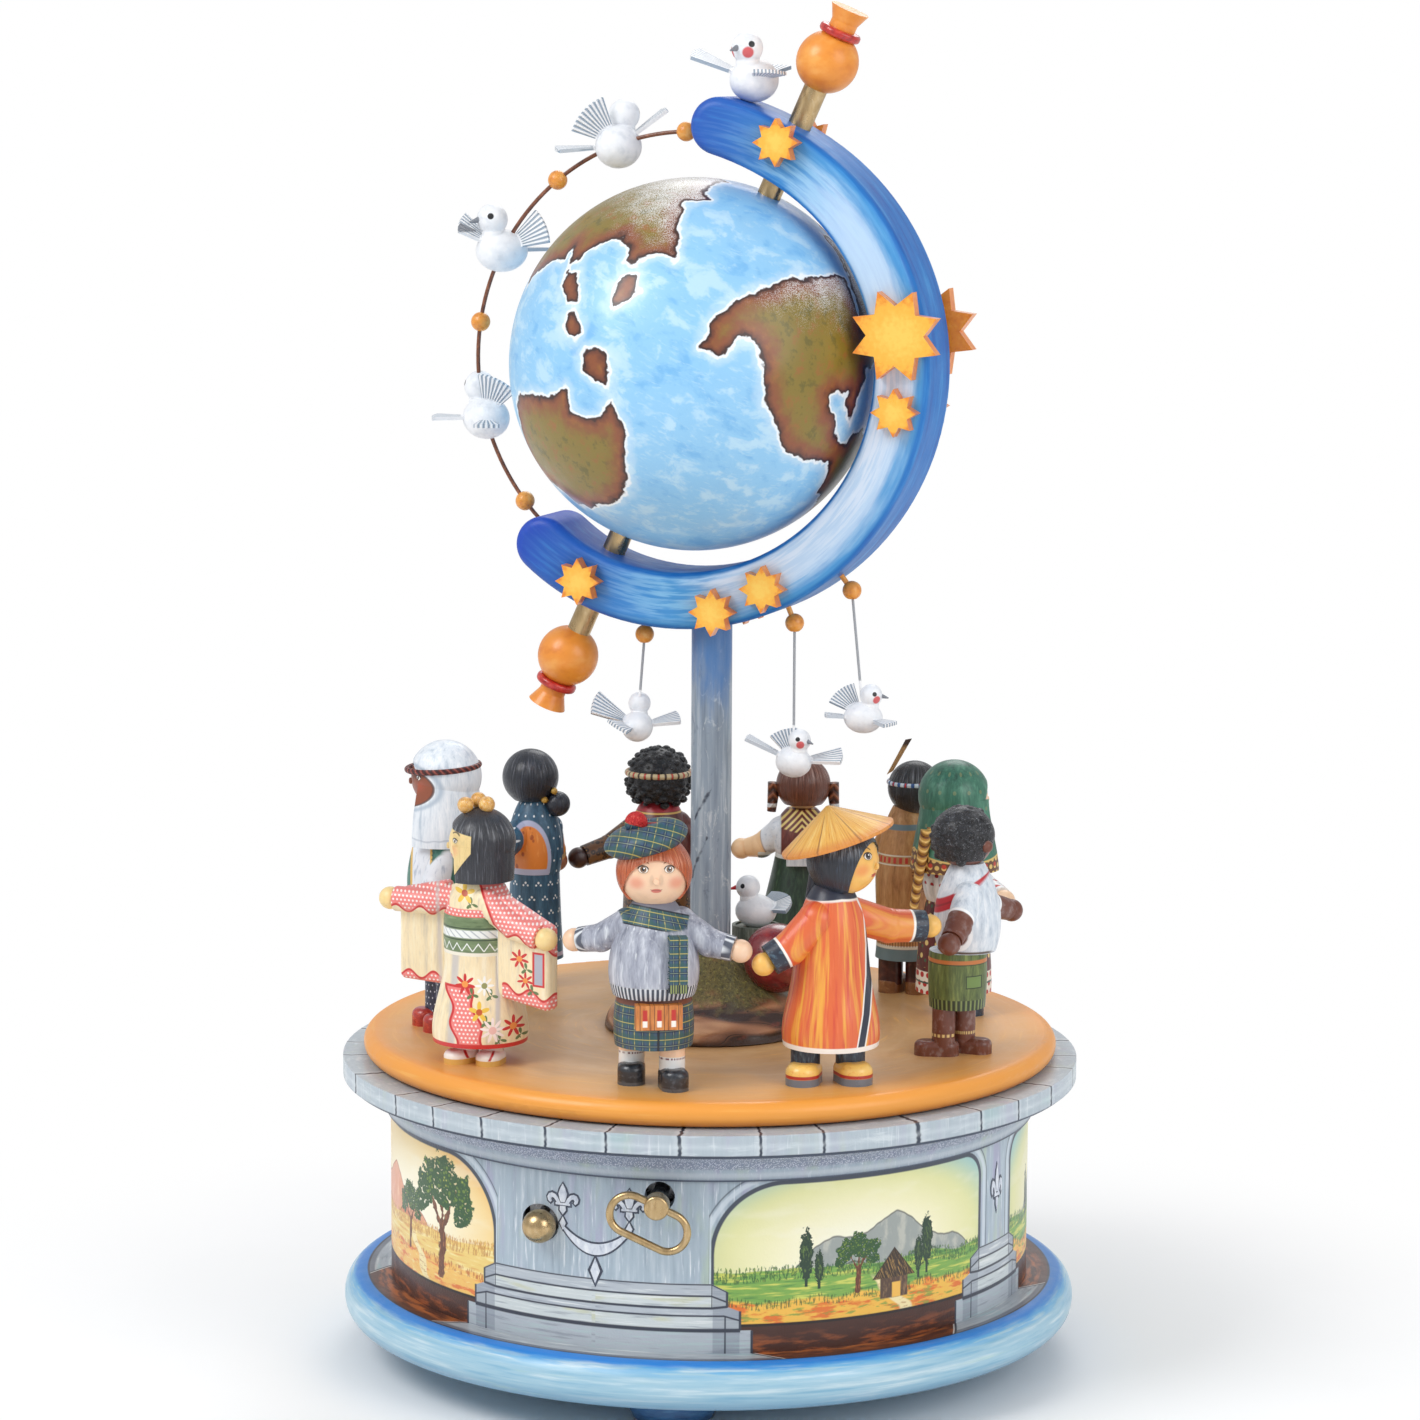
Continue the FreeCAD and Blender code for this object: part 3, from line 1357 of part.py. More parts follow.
def worn_at(spec, right, rise, near):
    """Point in the frame of a head, laid out as seen from the view angle."""
    return FreeCAD.Rotation(UP, -spec["head_facing"]).multVec(seen(right, rise, near))


def tilted(shape, spec, tilt):
    """Turn a hat about the line of sight, in the frame of a head."""
    result = shape.copy()
    axis = FreeCAD.Rotation(UP, view_angle - spec["head_facing"]).multVec(FRONT)
    result.rotate(V(0, 0, 0), axis, tilt)
    return result


def flattened_disc(radius, thickness, centre):
    half = thickness / 2
    disc = lathe_smooth(((0.35 * radius, -half), (0.84 * radius, -0.8 * half), (radius, 0.0),
                         (0.84 * radius, 0.8 * half), (0.35 * radius, half)))
    disc.translate(centre)
    return disc


def ring_band(radius, thickness, height, tilt=0.0):
    band = Part.makeTorus(radius, thickness)
    band.rotate(V(0, 0, 0), V(1, 0, 0), tilt)
    band.translate(V(0, 0, height))
    return band


def kilt_boy():
    spec = doll_specs["kilt_boy"]
    beret = tilted(flattened_disc(13.8, 8.0, V(0, 0.5, 11.2)), spec, 14)
    pompom = tilted(ball(3.7, V(0, 0.5, 17.0)), spec, 20)
    sporran = box(V(-7.5, -15.4, 21.0), V(7.5, -11.0, 29.0))
    scarf = box(V(3.2, -16.4, 33.0), V(9.0, -11.4, 51.0))
    head = doll_head(spec, (beret, pompom))
    return head, doll_body(spec, (sporran, scarf))


def straw_hat_boy():
    spec = doll_specs["straw_hat_boy"]
    rim, low, high = 18.8, 7.0, 18.6
    cone = lathe(((rim, low), (rim, low + 1.0), (0.6, high)))
    cavity = lathe(((rim - 1.6, low), (0.0, low + 3.8)))
    hat = tilted(cone.cut(cavity), spec, 18)
    pigtail = taper(2.6, 1.4, V(0, 9.5, -4.0), V(0, 12.5, -15.0))
    return doll_head(spec, (pigtail, hat)), doll_body(spec)


def barefoot_boy():
    spec = doll_specs["barefoot_boy"]
    ears = [ball(2.1, V(side * 9.9, -1.5, -1.5)) for side in (-1, 1)]
    return doll_head(spec, ears), doll_body(spec)


def headscarf_girl():
    spec = doll_specs["headscarf_girl"]
    drape = draped_cloth(spec, ((15.6, -25.0), (14.8, -18.0), (13.0, -8.0), (12.2, 0.0)), 7.5)
    braid = taper(2.0, 1.5, V(-8.5, 12.8, -10.0), V(-8.5, 17.0, -37.0))
    body = doll_body(spec)
    head = doll_head(spec)
    cloth = largest(fitted(drape, head_frame(spec)).cut(head + body))
    plait = fitted(braid, head_frame(spec)).cut(head + body + [cloth])
    return head + [cloth, largest(plait)], body


def feather_child():
    spec = doll_specs["feather_child"]
    band = ring_band(spec["head"][1] + 0.9, 0.9, 2.2)
    corners = ((-10.2, 5.2), (-8.0, 6.6), (-1.6, 18.0), (-3.8, 17.6))
    quill = prism([worn_at(spec, right, rise, 2.0) for right, rise in corners],
                  worn_at(spec, 0, 0, 1.0))
    return doll_head(spec, (band, quill)), doll_body(spec)


def braids_girl():
    spec = doll_specs["braids_girl"]
    braids = [taper(2.4, 1.6, V(side * 10.4, 1.0, 1.0), V(side * 11.4, 1.0, -9.5))
              for side in (-1, 1)]
    bow = box(V(-5.5, 10.0, 42.0), V(5.5, 13.0, 47.0))
    return doll_head(spec, braids), doll_body(spec, (bow,))


def curly_child():
    spec = doll_specs["curly_child"]
    band = ring_band(spec["head"][1] + 1.2, 1.1, 2.5)
    return doll_head(spec, (band,)), doll_body(spec)


def bun_girl():
    spec = doll_specs["bun_girl"]
    bun = ball(4.5, worn_at(spec, 10.0, -9.0, 3.0))
    beads = [ball(1.2, worn_at(spec, right, rise, 5.6))
             for right, rise in ((8.9, -4.0), (5.4, -7.2))]
    return doll_head(spec, [bun] + beads), doll_body(spec)


def headcloth_child():
    spec = doll_specs["headcloth_child"]
    drape = draped_cloth(spec, ((13.4, -22.5), (13.2, -14.0), (12.4, -6.0), (11.6, 0.0)), 8.4)
    cord = ring_band(spec["head"][1] + 1.4, 0.95, 3.6, 4)
    head = doll_head(spec, (cord,))
    body = doll_body(spec)
    cloth = largest(fitted(drape, head_frame(spec)).cut(head + body))
    return head + [cloth], body


def kimono_girl():
    spec = doll_specs["kimono_girl"]
    gold = [ball(2.7, worn_at(spec, right, rise, near))
            for right, rise, near in ((-4.6, 12.6, 1.5), (-0.6, 13.4, -3.2), (2.4, 12.9, 2.0))]
    bob = lathe_smooth(((11.2, -12.2), (11.5, -6.0), (11.3, 0.0)))
    opening = Part.makeCylinder(8.6, 30.0, V(0, -2.0, -4.0), FRONT)
    below = box(V(-8.6, -20.0, -30.0), V(8.6, -2.0, -4.0))
    hands = hand_places(spec)
    shoulders = shoulder_places(spec)
    sleeves = [hanging_sleeve(shoulders[0], hands[0], (9.0, -4.6), (32.0, 27.0)),
               hanging_sleeve(shoulders[1], hands[1], (6.0, 3.0), (31.0, 24.3))]
    knot = box(V(-6.5, 8.5, 37.5), V(6.5, 14.5, 48.5))
    return doll_head(spec, [bob.cut([opening, below])] + gold), doll_body(spec, (knot,), sleeves)


def main():
    os.makedirs("parts", exist_ok=True)
    blank = bow_blank()
    export("feet", feet())
    export("base_disc", [base_disc()])
    export("drum_wall", [drum_wall()])
    export("cornice_ring", [cornice_ring()])
    export("centre_post", [centre_post()])
    export("thrust_washer", [thrust_washer()])
    export("movement_block", [movement_block()])
    export("movement_bedplate", [movement_bedplate()])
    export("bedplate_screws", bedplate_screws())
    export("steel_comb", [steel_comb()])
    export("column", [column(blank)])
    export("mound", [mound()])
    export("red_ball", [red_ball()])
    export("tree_stump", [tree_stump()])
    export("mound_dove", mound_dove())
    export("meridian_bow", [meridian_bow(blank)])
    export("bow_stars", bow_stars())
    export("axis_tube", [axis_tube()])
    export("finials", finials())
    export("finial_collars", finial_collars())
    export("dove_wire", [wire_arc()])
    export("wire_beads", wire_beads())
    export("hanger_beads", hanger_beads())
    export("perched_doves", perched_doves(blank))
    export("winding_arbor", [winding_arbor()])
    export("winding_key", [winding_key()])
    export("spring_barrel", spring_barrel())
    export("cylinder_arbor", cylinder_arbor())
    export("tone_cylinder", [tone_cylinder()])
    export("friction_wheel", friction_wheel())
    export("governor_rotor", governor_rotor())
    export("stop_rod", [stop_rod()])
    export("stop_knob", [stop_knob()])
    export("turntable_disc", [turntable_disc()])
    export("turntable_bush", [turntable_bush()])
    export("globe_upper_half", [globe_half(1)])
    export("globe_lower_half", [globe_half(-1)])
    export("dove_left", left_dove())
    export("dove_middle", middle_dove())
    export("dove_right", right_dove())
    dolls = (kilt_boy, straw_hat_boy, barefoot_boy, headscarf_girl, feather_child,
             braids_girl, curly_child, bun_girl, headcloth_child, kimono_girl)
    for doll in dolls:
        head, body = doll()
        head = settled(head, body)
        export(doll.__name__ + "_head", head)
        export(doll.__name__ + "_body", body)


main()
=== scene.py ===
import functools
import math

import bmesh
import bpy
import numpy as np
from mathutils import Matrix, Vector


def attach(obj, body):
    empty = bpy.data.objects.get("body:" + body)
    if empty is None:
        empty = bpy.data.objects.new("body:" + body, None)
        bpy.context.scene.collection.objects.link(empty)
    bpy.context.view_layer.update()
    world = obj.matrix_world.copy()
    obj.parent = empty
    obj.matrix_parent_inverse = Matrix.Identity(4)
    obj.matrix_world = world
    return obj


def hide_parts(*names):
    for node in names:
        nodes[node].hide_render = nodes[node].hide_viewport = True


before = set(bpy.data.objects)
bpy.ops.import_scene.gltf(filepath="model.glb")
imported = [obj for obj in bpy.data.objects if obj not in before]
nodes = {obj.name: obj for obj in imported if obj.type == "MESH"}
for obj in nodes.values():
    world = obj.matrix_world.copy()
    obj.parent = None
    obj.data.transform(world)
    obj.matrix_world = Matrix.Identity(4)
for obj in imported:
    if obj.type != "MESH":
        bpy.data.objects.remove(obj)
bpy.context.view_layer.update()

# Dimensions in millimetres, angles in degrees. The front is -Y and angles grow toward +X.
mm = 0.001
degree = math.radians(1)
turntable_top = 112.0
groove_foot = 95.2
wall_radius = 109.3
panel_top = 84.0
panel_foot = 37.2
band_foot = 97.0
front_half_angle = 20.0
panel_half_angle = 27.2
panel_pitch = 66.4
view_angle = 19.5
bow_centre = (-9.5, 0.0, 338.3)
layout_centre = (-8.0, 0.0, 338.3)
globe_centre = (-6.5, 0.0, 338.0)
globe_radius = 62.5
axis_tilt = 24.4
hand_radius = 3.8


def rgb(red, green, blue):
    """Linear colour from display values of 0 to 255."""
    linear = []
    for value in (red, green, blue):
        share = value / 255
        linear.append(share / 12.92 if share <= 0.04045 else ((share + 0.055) / 1.055) ** 2.4)
    return (*linear, 1.0)


def ring_point(radius, angle, height):
    """Point at a distance and an angle round the Z axis."""
    return Vector((radius * math.sin(angle * degree), -radius * math.cos(angle * degree), height))


def seen(right, rise, near):
    """Direction laid out as the camera sees it."""
    turn = view_angle * degree
    return Vector((right * math.cos(turn) + near * math.sin(turn),
                   right * math.sin(turn) - near * math.cos(turn), rise))


# Shader building

class Value:
    """Number in a shader that takes part in ordinary arithmetic."""

    def __init__(self, paint, socket):
        self.paint = paint
        self.socket = socket

    def __add__(self, other):
        return self.paint.math("ADD", self, other)

    def __radd__(self, other):
        return self.paint.math("ADD", other, self)

    def __sub__(self, other):
        return self.paint.math("SUBTRACT", self, other)

    def __rsub__(self, other):
        return self.paint.math("SUBTRACT", other, self)

    def __mul__(self, other):
        return self.paint.math("MULTIPLY", self, other)

    def __rmul__(self, other):
        return self.paint.math("MULTIPLY", other, self)

    def __truediv__(self, other):
        return self.paint.math("DIVIDE", self, other)


class Paint:
    """Painted finish, built up in layers over coordinates in millimetres."""

    def __init__(self, name, origin=(0, 0, 0), turn=0.0, tilt=0.0):
        self.material = bpy.data.materials.new(name)
        self.material.use_nodes = True
        self.tree = self.material.node_tree
        self.tree.nodes.clear()
        coordinates = self.add("ShaderNodeTexCoord")
        mapping = self.add("ShaderNodeMapping")
        mapping.vector_type = "TEXTURE"
        mapping.inputs["Location"].default_value = [value * mm for value in origin]
        mapping.inputs["Rotation"].default_value = (0, tilt * degree, turn * degree)
        mapping.inputs["Scale"].default_value = (mm, mm, mm)
        self.tree.links.new(coordinates.outputs["Object"], mapping.inputs["Vector"])
        self.place = mapping.outputs["Vector"]
        parts = self.add("ShaderNodeSeparateXYZ")
        self.tree.links.new(self.place, parts.inputs[0])
        self.x, self.y, self.z = [Value(self, socket) for socket in parts.outputs]
        self.colour = None
        self.seed = 0

    def add(self, kind, **settings):
        node = self.tree.nodes.new(kind)
        for name, value in settings.items():
            setattr(node, name, value)
        return node

    def put(self, socket, value):
        if isinstance(value, Value):
            self.tree.links.new(value.socket, socket)
        elif isinstance(value, bpy.types.NodeSocket):
            self.tree.links.new(value, socket)
        else:
            socket.default_value = value

    def math(self, operation, *values):
        node = self.add("ShaderNodeMath", operation=operation)
        for socket, value in zip(node.inputs, values):
            self.put(socket, value)
        return Value(self, node.outputs[0])

    def vector(self, operation, *values):
        node = self.add("ShaderNodeVectorMath", operation=operation)
        for socket, value in zip(node.inputs, values):
            self.put(socket, value)
        return node

    def size(self, value):
        """The value without its sign."""
        return self.math("ABSOLUTE", value)

    def lowest(self, *values):
        return functools.reduce(lambda first, second: self.math("MINIMUM", first, second), values)

    def highest(self, *values):
        return functools.reduce(lambda first, second: self.math("MAXIMUM", first, second), values)

    def length(self, *parts):
        """Length of a line with two or three parts at right angles."""
        return self.math("SQRT", functools.reduce(lambda first, second: first + second,
                                                  [part * part for part in parts]))

    def step(self, value, low, high):
        """Smooth change from 0 at low to 1 at high."""
        node = self.add("ShaderNodeMapRange", interpolation_type="SMOOTHSTEP")
        self.put(node.inputs["Value"], value)
        self.put(node.inputs["From Min"], low)
        self.put(node.inputs["From Max"], high)
        return Value(self, node.outputs[0])

    def within(self, value, low, high, soft=0.15):
        """1 between low and high."""
        rising = self.step(value, low - soft, low + soft)
        return rising * self.step(value, high + soft, high - soft)

    def line(self, distance, width, soft=0.12):
        """1 where the distance is below half the width."""
        return self.step(distance, width / 2 + soft, max(width / 2 - soft, 0.0))

    def join(self, x, y, z=0.0):
        node = self.add("ShaderNodeCombineXYZ")
        for socket, value in zip(node.inputs, (x, y, z)):
            self.put(socket, value)
        return node.outputs[0]

    def scaled(self, size, space=None):
        """Coordinates for a texture of that size, moved to a place of its own."""
        self.seed += 1
        stretch = size if isinstance(size, tuple) else (size, size, size)
        factors = tuple(1 / value for value in stretch)
        shift = (self.seed * 7.13, self.seed * 3.71, self.seed * 5.37)
        node = self.vector("MULTIPLY_ADD", space or self.place, factors, shift)
        return node.outputs[0]

    def noise(self, size, detail=3.0, space=None, rough=0.55, twist=0.0):
        """Cloudy noise of about 0 to 1; size is one length or one for each direction."""
        node = self.add("ShaderNodeTexNoise")
        self.put(node.inputs["Vector"], self.scaled(size, space))
        node.inputs["Scale"].default_value = 1.0
        node.inputs["Detail"].default_value = detail
        node.inputs["Roughness"].default_value = rough
        node.inputs["Distortion"].default_value = twist
        return (Value(self, node.outputs[0]) - 0.5) * 1.8 + 0.5

    def patches(self, size, detail, low, high, space=None):
        """Noise turned into a mask that grows from 0 at low to 1 at high."""
        return self.step(self.noise(size, detail, space), low, high)

    def cells(self, size, space=None):
        """Distance from the nearest of many scattered points, in cell sizes."""
        node = self.add("ShaderNodeTexVoronoi")
        self.put(node.inputs["Vector"], self.scaled(size, space))
        node.inputs["Scale"].default_value = 1.0
        return Value(self, node.outputs["Distance"])

    def dots(self, u, v, pitch, radius, soft=0.12):
        """Round dots in staggered rows over the flat coordinates u and v."""
        row = self.math("FLOOR", v / pitch)
        shifted = u / pitch + row * 0.5
        across = (self.math("FRACT", shifted) - 0.5) * pitch
        up = (self.math("FRACT", v / pitch) - 0.5) * pitch
        return self.step(self.length(across, up), radius + soft, radius - soft)

    def stripe(self, value, pitch, width, soft=0.1):
        """Lines of that width at every pitch."""
        off = self.size(self.math("FRACT", value / pitch) - 0.5) * pitch
        return self.step(off, width / 2 + soft, max(width / 2 - soft, 0.0))

    def spot(self, centre, radii):
        """Distance from the centre, 1 on the surface of the ellipsoid with these radii."""
        radii = radii if isinstance(radii, tuple) else (radii, radii, radii)
        off = self.vector("SUBTRACT", self.place, tuple(centre))
        share = self.vector("DIVIDE", off.outputs[0], radii)
        return Value(self, self.vector("LENGTH", share.outputs[0]).outputs["Value"])

    def stroke(self, start, end, space=None):
        """Distance from a straight line between two points."""
        start, end = Vector(start), Vector(end)
        along = end - start
        off = self.vector("SUBTRACT", space or self.place, tuple(start)).outputs[0]
        dot = Value(self, self.vector("DOT_PRODUCT", off, tuple(along)).outputs["Value"])
        share = self.math("MULTIPLY", dot, 1 / along.length_squared)
        share.socket.node.use_clamp = True
        nearest = self.add("ShaderNodeVectorMath", operation="SCALE")
        nearest.inputs[0].default_value = tuple(along)
        self.put(nearest.inputs["Scale"], share)
        gap = self.vector("SUBTRACT", off, nearest.outputs[0])
        return Value(self, self.vector("LENGTH", gap.outputs[0]).outputs["Value"])

    def around(self):
        """Angle about the vertical axis of the own coordinates, 0 at the front."""
        return self.math("ARCTAN2", self.x, self.y * -1) / degree

    def reach(self):
        """Distance from the vertical axis of the own coordinates."""
        return self.length(self.x, self.y)

    def flower(self, u, v, centre, size, petals, turn=0.0, depth=0.35):
        """Mask of a flower, and of its heart, over flat coordinates."""
        du = u - centre[0]
        dv = v - centre[1]
        distance = self.length(du, dv)
        angle = self.math("ARCTAN2", du, dv)
        edge = (1 - depth) * size + depth * size * self.math("COSINE", angle * petals + turn)
        return (self.step(distance - edge, 0.14, -0.14),
                self.step(distance, 0.3 * size + 0.1, 0.3 * size - 0.1))

    def start(self, colour):
        self.colour = colour
        return self

    def lay(self, colour, mask, strength=1.0):
        """Paint a colour over what is there, where the mask is 1."""
        node = self.add("ShaderNodeMix", data_type="RGBA")
        node.clamp_factor = True
        self.put(node.inputs[0], mask if strength == 1.0 else mask * strength)
        self.put(node.inputs[6], self.colour)
        self.put(node.inputs[7], colour)
        self.colour = node.outputs[2]
        return self

    def tint(self, light, dark, size, strength=0.35, space=None):
        """Uneven brushing: lighter and darker strokes."""
        strokes = self.noise(size, 4.0, space)
        self.lay(light, self.step(strokes, 0.5, 0.9), strength)
        self.lay(dark, self.step(strokes, 0.5, 0.1), strength)
        return self

    def done(self, rough=0.45, coat=0.2, relief=None, depth=0.12, grain=0.6, metal=0.0,
             subsurface=0.0):
        """Finish the layers with varnish, brush marks and relief."""
        marks = self.noise(grain, 4.0)
        wide = self.noise(grain * 9, 2.0)
        shader = self.add("ShaderNodeBsdfPrincipled")
        self.put(shader.inputs["Base Color"], self.colour)
        self.put(shader.inputs["Roughness"], rough + (wide - 0.5) * 0.16 + (marks - 0.5) * 0.08)
        shader.inputs["Metallic"].default_value = metal
        shader.inputs["Coat Weight"].default_value = coat
        shader.inputs["Coat Roughness"].default_value = 0.22
        shader.inputs["Subsurface Weight"].default_value = subsurface
        shader.inputs["Subsurface Radius"].default_value = (0.002, 0.001, 0.0006)
        height = marks * 0.25 if relief is None else marks * 0.25 + relief
        bump = self.add("ShaderNodeBump")
        bump.inputs["Strength"].default_value = 0.8
        bump.inputs["Distance"].default_value = depth * mm
        self.put(bump.inputs["Height"], height)
        self.tree.links.new(bump.outputs["Normal"], shader.inputs["Normal"])
        output = self.add("ShaderNodeOutputMaterial")
        self.tree.links.new(shader.outputs[0], output.inputs["Surface"])
        return self.material


def wear(material, *names):
    """Give whole CAD nodes one material."""
    for name in names:
        mesh = nodes[name].data
        mesh.materials.clear()
        mesh.materials.append(material)


def wear_parts(name, materials, choose):
    """Give each face of a CAD node the material whose key its centre is chosen for."""
    mesh = nodes[name].data
    mesh.materials.clear()
    keys = list(materials)
    for key in keys:
        mesh.materials.append(materials[key])
    count = len(mesh.polygons)
    centres = np.zeros(count * 3, np.float32)
    mesh.polygons.foreach_get("center", centres)
    chosen = choose(centres.reshape(-1, 3).astype(float) / mm)
    index = np.array([keys.index(key) for key in chosen], np.int32)
    mesh.polygons.foreach_set("material_index", index)
    mesh.update()


def piece_from(name, mesh, material):
    """Object in the scene for a mesh, with its material."""
    mesh.materials.append(material)
    piece = bpy.data.objects.new(name, mesh)
    bpy.context.scene.collection.objects.link(piece)
    return piece


def piece_from_bmesh(name, mesh, material):
    data = bpy.data.meshes.new(name)
    mesh.to_mesh(data)
    mesh.free()
    return piece_from(name, data, material)


# Base, wall and cornice

def stone_strokes(paint, space, strength=0.5):
    """Grey-blue stone, brushed on in vertical strokes of white, lilac and pale green."""
    paint.start(rgb(170, 186, 198))
    paint.tint(rgb(214, 222, 228), rgb(128, 144, 162), (2.2, 2.2, 26.0), strength, space)
    paint.lay(rgb(170, 160, 196), paint.patches((7.0, 7.0, 34.0), 3, 0.52, 0.9, space), 0.55)
    paint.lay(rgb(184, 202, 170), paint.patches((9.0, 9.0, 30.0), 3, 0.58, 0.95, space), 0.6)
    paint.lay(rgb(240, 244, 248), paint.patches((0.8, 0.8, 12.0), 4, 0.62, 0.92, space), 0.75)


def panel_layout(paint):
    """Angle from the rear, number of the panel there, and distance across from its middle."""
    back = paint.math("ARCTAN2", paint.x * -1, paint.y) / degree
    number = paint.math("ROUND", back / panel_pitch)
    across = (back - number * panel_pitch) * (wall_radius * degree)
    return back, number, across


def blob(paint, across, rise, centre, radii):
    """Distance from the middle of an oval, 1 on its edge."""
    return paint.length((across - centre[0]) / radii[0], (rise - centre[1]) / radii[1])


def tree(paint, across, rise, size):
    """Tree with a forked trunk and a round crown of many leaves; its foot is at the origin."""
    flat = paint.join(across, 0.0, rise)
    wobble = (paint.noise((3.0, 3.0, 3.0), 2, flat) - 0.5) * 0.05 * size
    limbs = (((0.0, 0.0), (0.03, 0.42), 0.045), ((0.03, 0.34), (-0.17, 0.66), 0.024),
             ((0.03, 0.38), (0.2, 0.7), 0.026), ((0.02, 0.4), (0.03, 0.78), 0.022))
    shares = []
    for foot, tip, width in limbs:
        gap = paint.stroke((foot[0] * size, 0.0, foot[1] * size), (tip[0] * size, 0.0, tip[1] * size), flat)
        shares.append((gap + wobble) / (width * size))
    bark = paint.step(paint.lowest(*shares), 1.1, 0.85)
    paint.lay(rgb(104, 58, 36), bark)
    paint.lay(rgb(176, 112, 68), bark * paint.patches((0.5, 0.5, 2.5), 2, 0.55, 0.8, flat), 0.8)
    clumps = ((-0.02, 0.83, 0.23, 0.17), (-0.22, 0.7, 0.19, 0.15), (0.24, 0.72, 0.19, 0.16),
              (-0.31, 0.55, 0.12, 0.1), (0.3, 0.55, 0.13, 0.1), (0.04, 0.66, 0.15, 0.1))
    crown = paint.lowest(*[blob(paint, across, rise, (right * size, up * size), (wide * size, high * size))
                           for right, up, wide, high in clumps])
    leaves = paint.cells((0.045 * size, 0.045 * size, 0.035 * size), flat)
    ragged = crown + (paint.noise(0.09 * size, 3, flat) - 0.5) * 1.0
    foliage = paint.step(ragged, 1.06, 0.96) * paint.step(leaves, 0.95, 0.75)
    paint.lay(rgb(44, 84, 44), foliage)
    paint.lay(rgb(106, 134, 52), foliage * paint.step(leaves, 0.5, 0.3)
              * paint.patches(0.12 * size, 2, 0.4, 0.6, flat))
    paint.lay(rgb(186, 184, 86), foliage * paint.step(leaves, 0.26, 0.12)
              * paint.patches(0.1 * size, 2, 0.52, 0.7, flat))


def poplar(paint, across, rise, size):
    """Slim dark tree."""
    flat = paint.join(across, 0.0, rise)
    share = blob(paint, across, rise, (0.0, 0.56 * size), (0.13 * size, 0.44 * size))
    share = share + (paint.noise((0.05 * size, 1.0, 0.06 * size), 2, flat) - 0.5) * 0.6
    shape = paint.highest(paint.step(share, 1.0, 0.88),
                          paint.step(paint.size(across), 0.6, 0.4)
                          * paint.within(rise, 0.0, 0.3 * size, 0.2))
    paint.lay(rgb(36, 62, 44), shape)
    paint.lay(rgb(96, 124, 62), shape * paint.step(share, 0.8, 0.5)
              * paint.patches((0.5, 0.5, 1.6), 3, 0.5, 0.8, flat))


def cottage(paint, across, rise, size):
    """Round hut with a thatched roof and a lit door."""
    flat = paint.join(across, 0.0, rise)
    wall = (paint.step(paint.size(across), 0.27 * size, 0.25 * size)
            * paint.within(rise, 0.0, 0.36 * size, 0.3))
    paint.lay(rgb(86, 64, 50), wall)
    paint.lay(rgb(150, 116, 80), wall * paint.patches((0.6, 0.6, 3.0), 3, 0.5, 0.8, flat), 0.8)
    door = (paint.step(paint.size(across - 0.04 * size), 0.09 * size, 0.07 * size)
            * paint.step(rise, 0.25 * size, 0.23 * size))
    paint.lay(rgb(246, 190, 84), door * wall)
    slope = paint.size(across) + (rise - 0.33 * size) * 0.85 - 0.4 * size
    roof = paint.step(slope, 0.2, -0.2) * paint.step(rise, 0.31 * size, 0.33 * size)
    paint.lay(rgb(58, 44, 34), roof)
    straw = paint.noise((0.4, 0.4, 3.0), 3, paint.join(across + rise * 0.4, 0.0, rise))
    paint.lay(rgb(178, 138, 76), roof * paint.step(straw, 0.5, 0.8) * paint.step(slope, -0.2, -0.7), 0.85)


def hills(paint, across, rise, humps, base, colours, place):
    """Row of rounded hills with a drawn ridge."""
    top = base + (paint.noise((9.0, 9.0, 9.0), 2, paint.join(across, 0.0, 0.0)) - 0.5) * 2.4
    for centre, height, width in humps:
        share = (across - centre) / width
        top = top + paint.math("EXPONENT", share * share * -1.0) * height
    mask = paint.step(rise, top + 0.25, top - 0.25)
    paint.lay(colours[0], mask)
    paint.lay(colours[1], mask * paint.patches((3.4, 9.0, 7.0), 3, 0.48, 0.85, place), 0.8)
    paint.lay(colours[2], paint.line(paint.size(rise - top), 0.6, 0.2), 0.75)
    return top


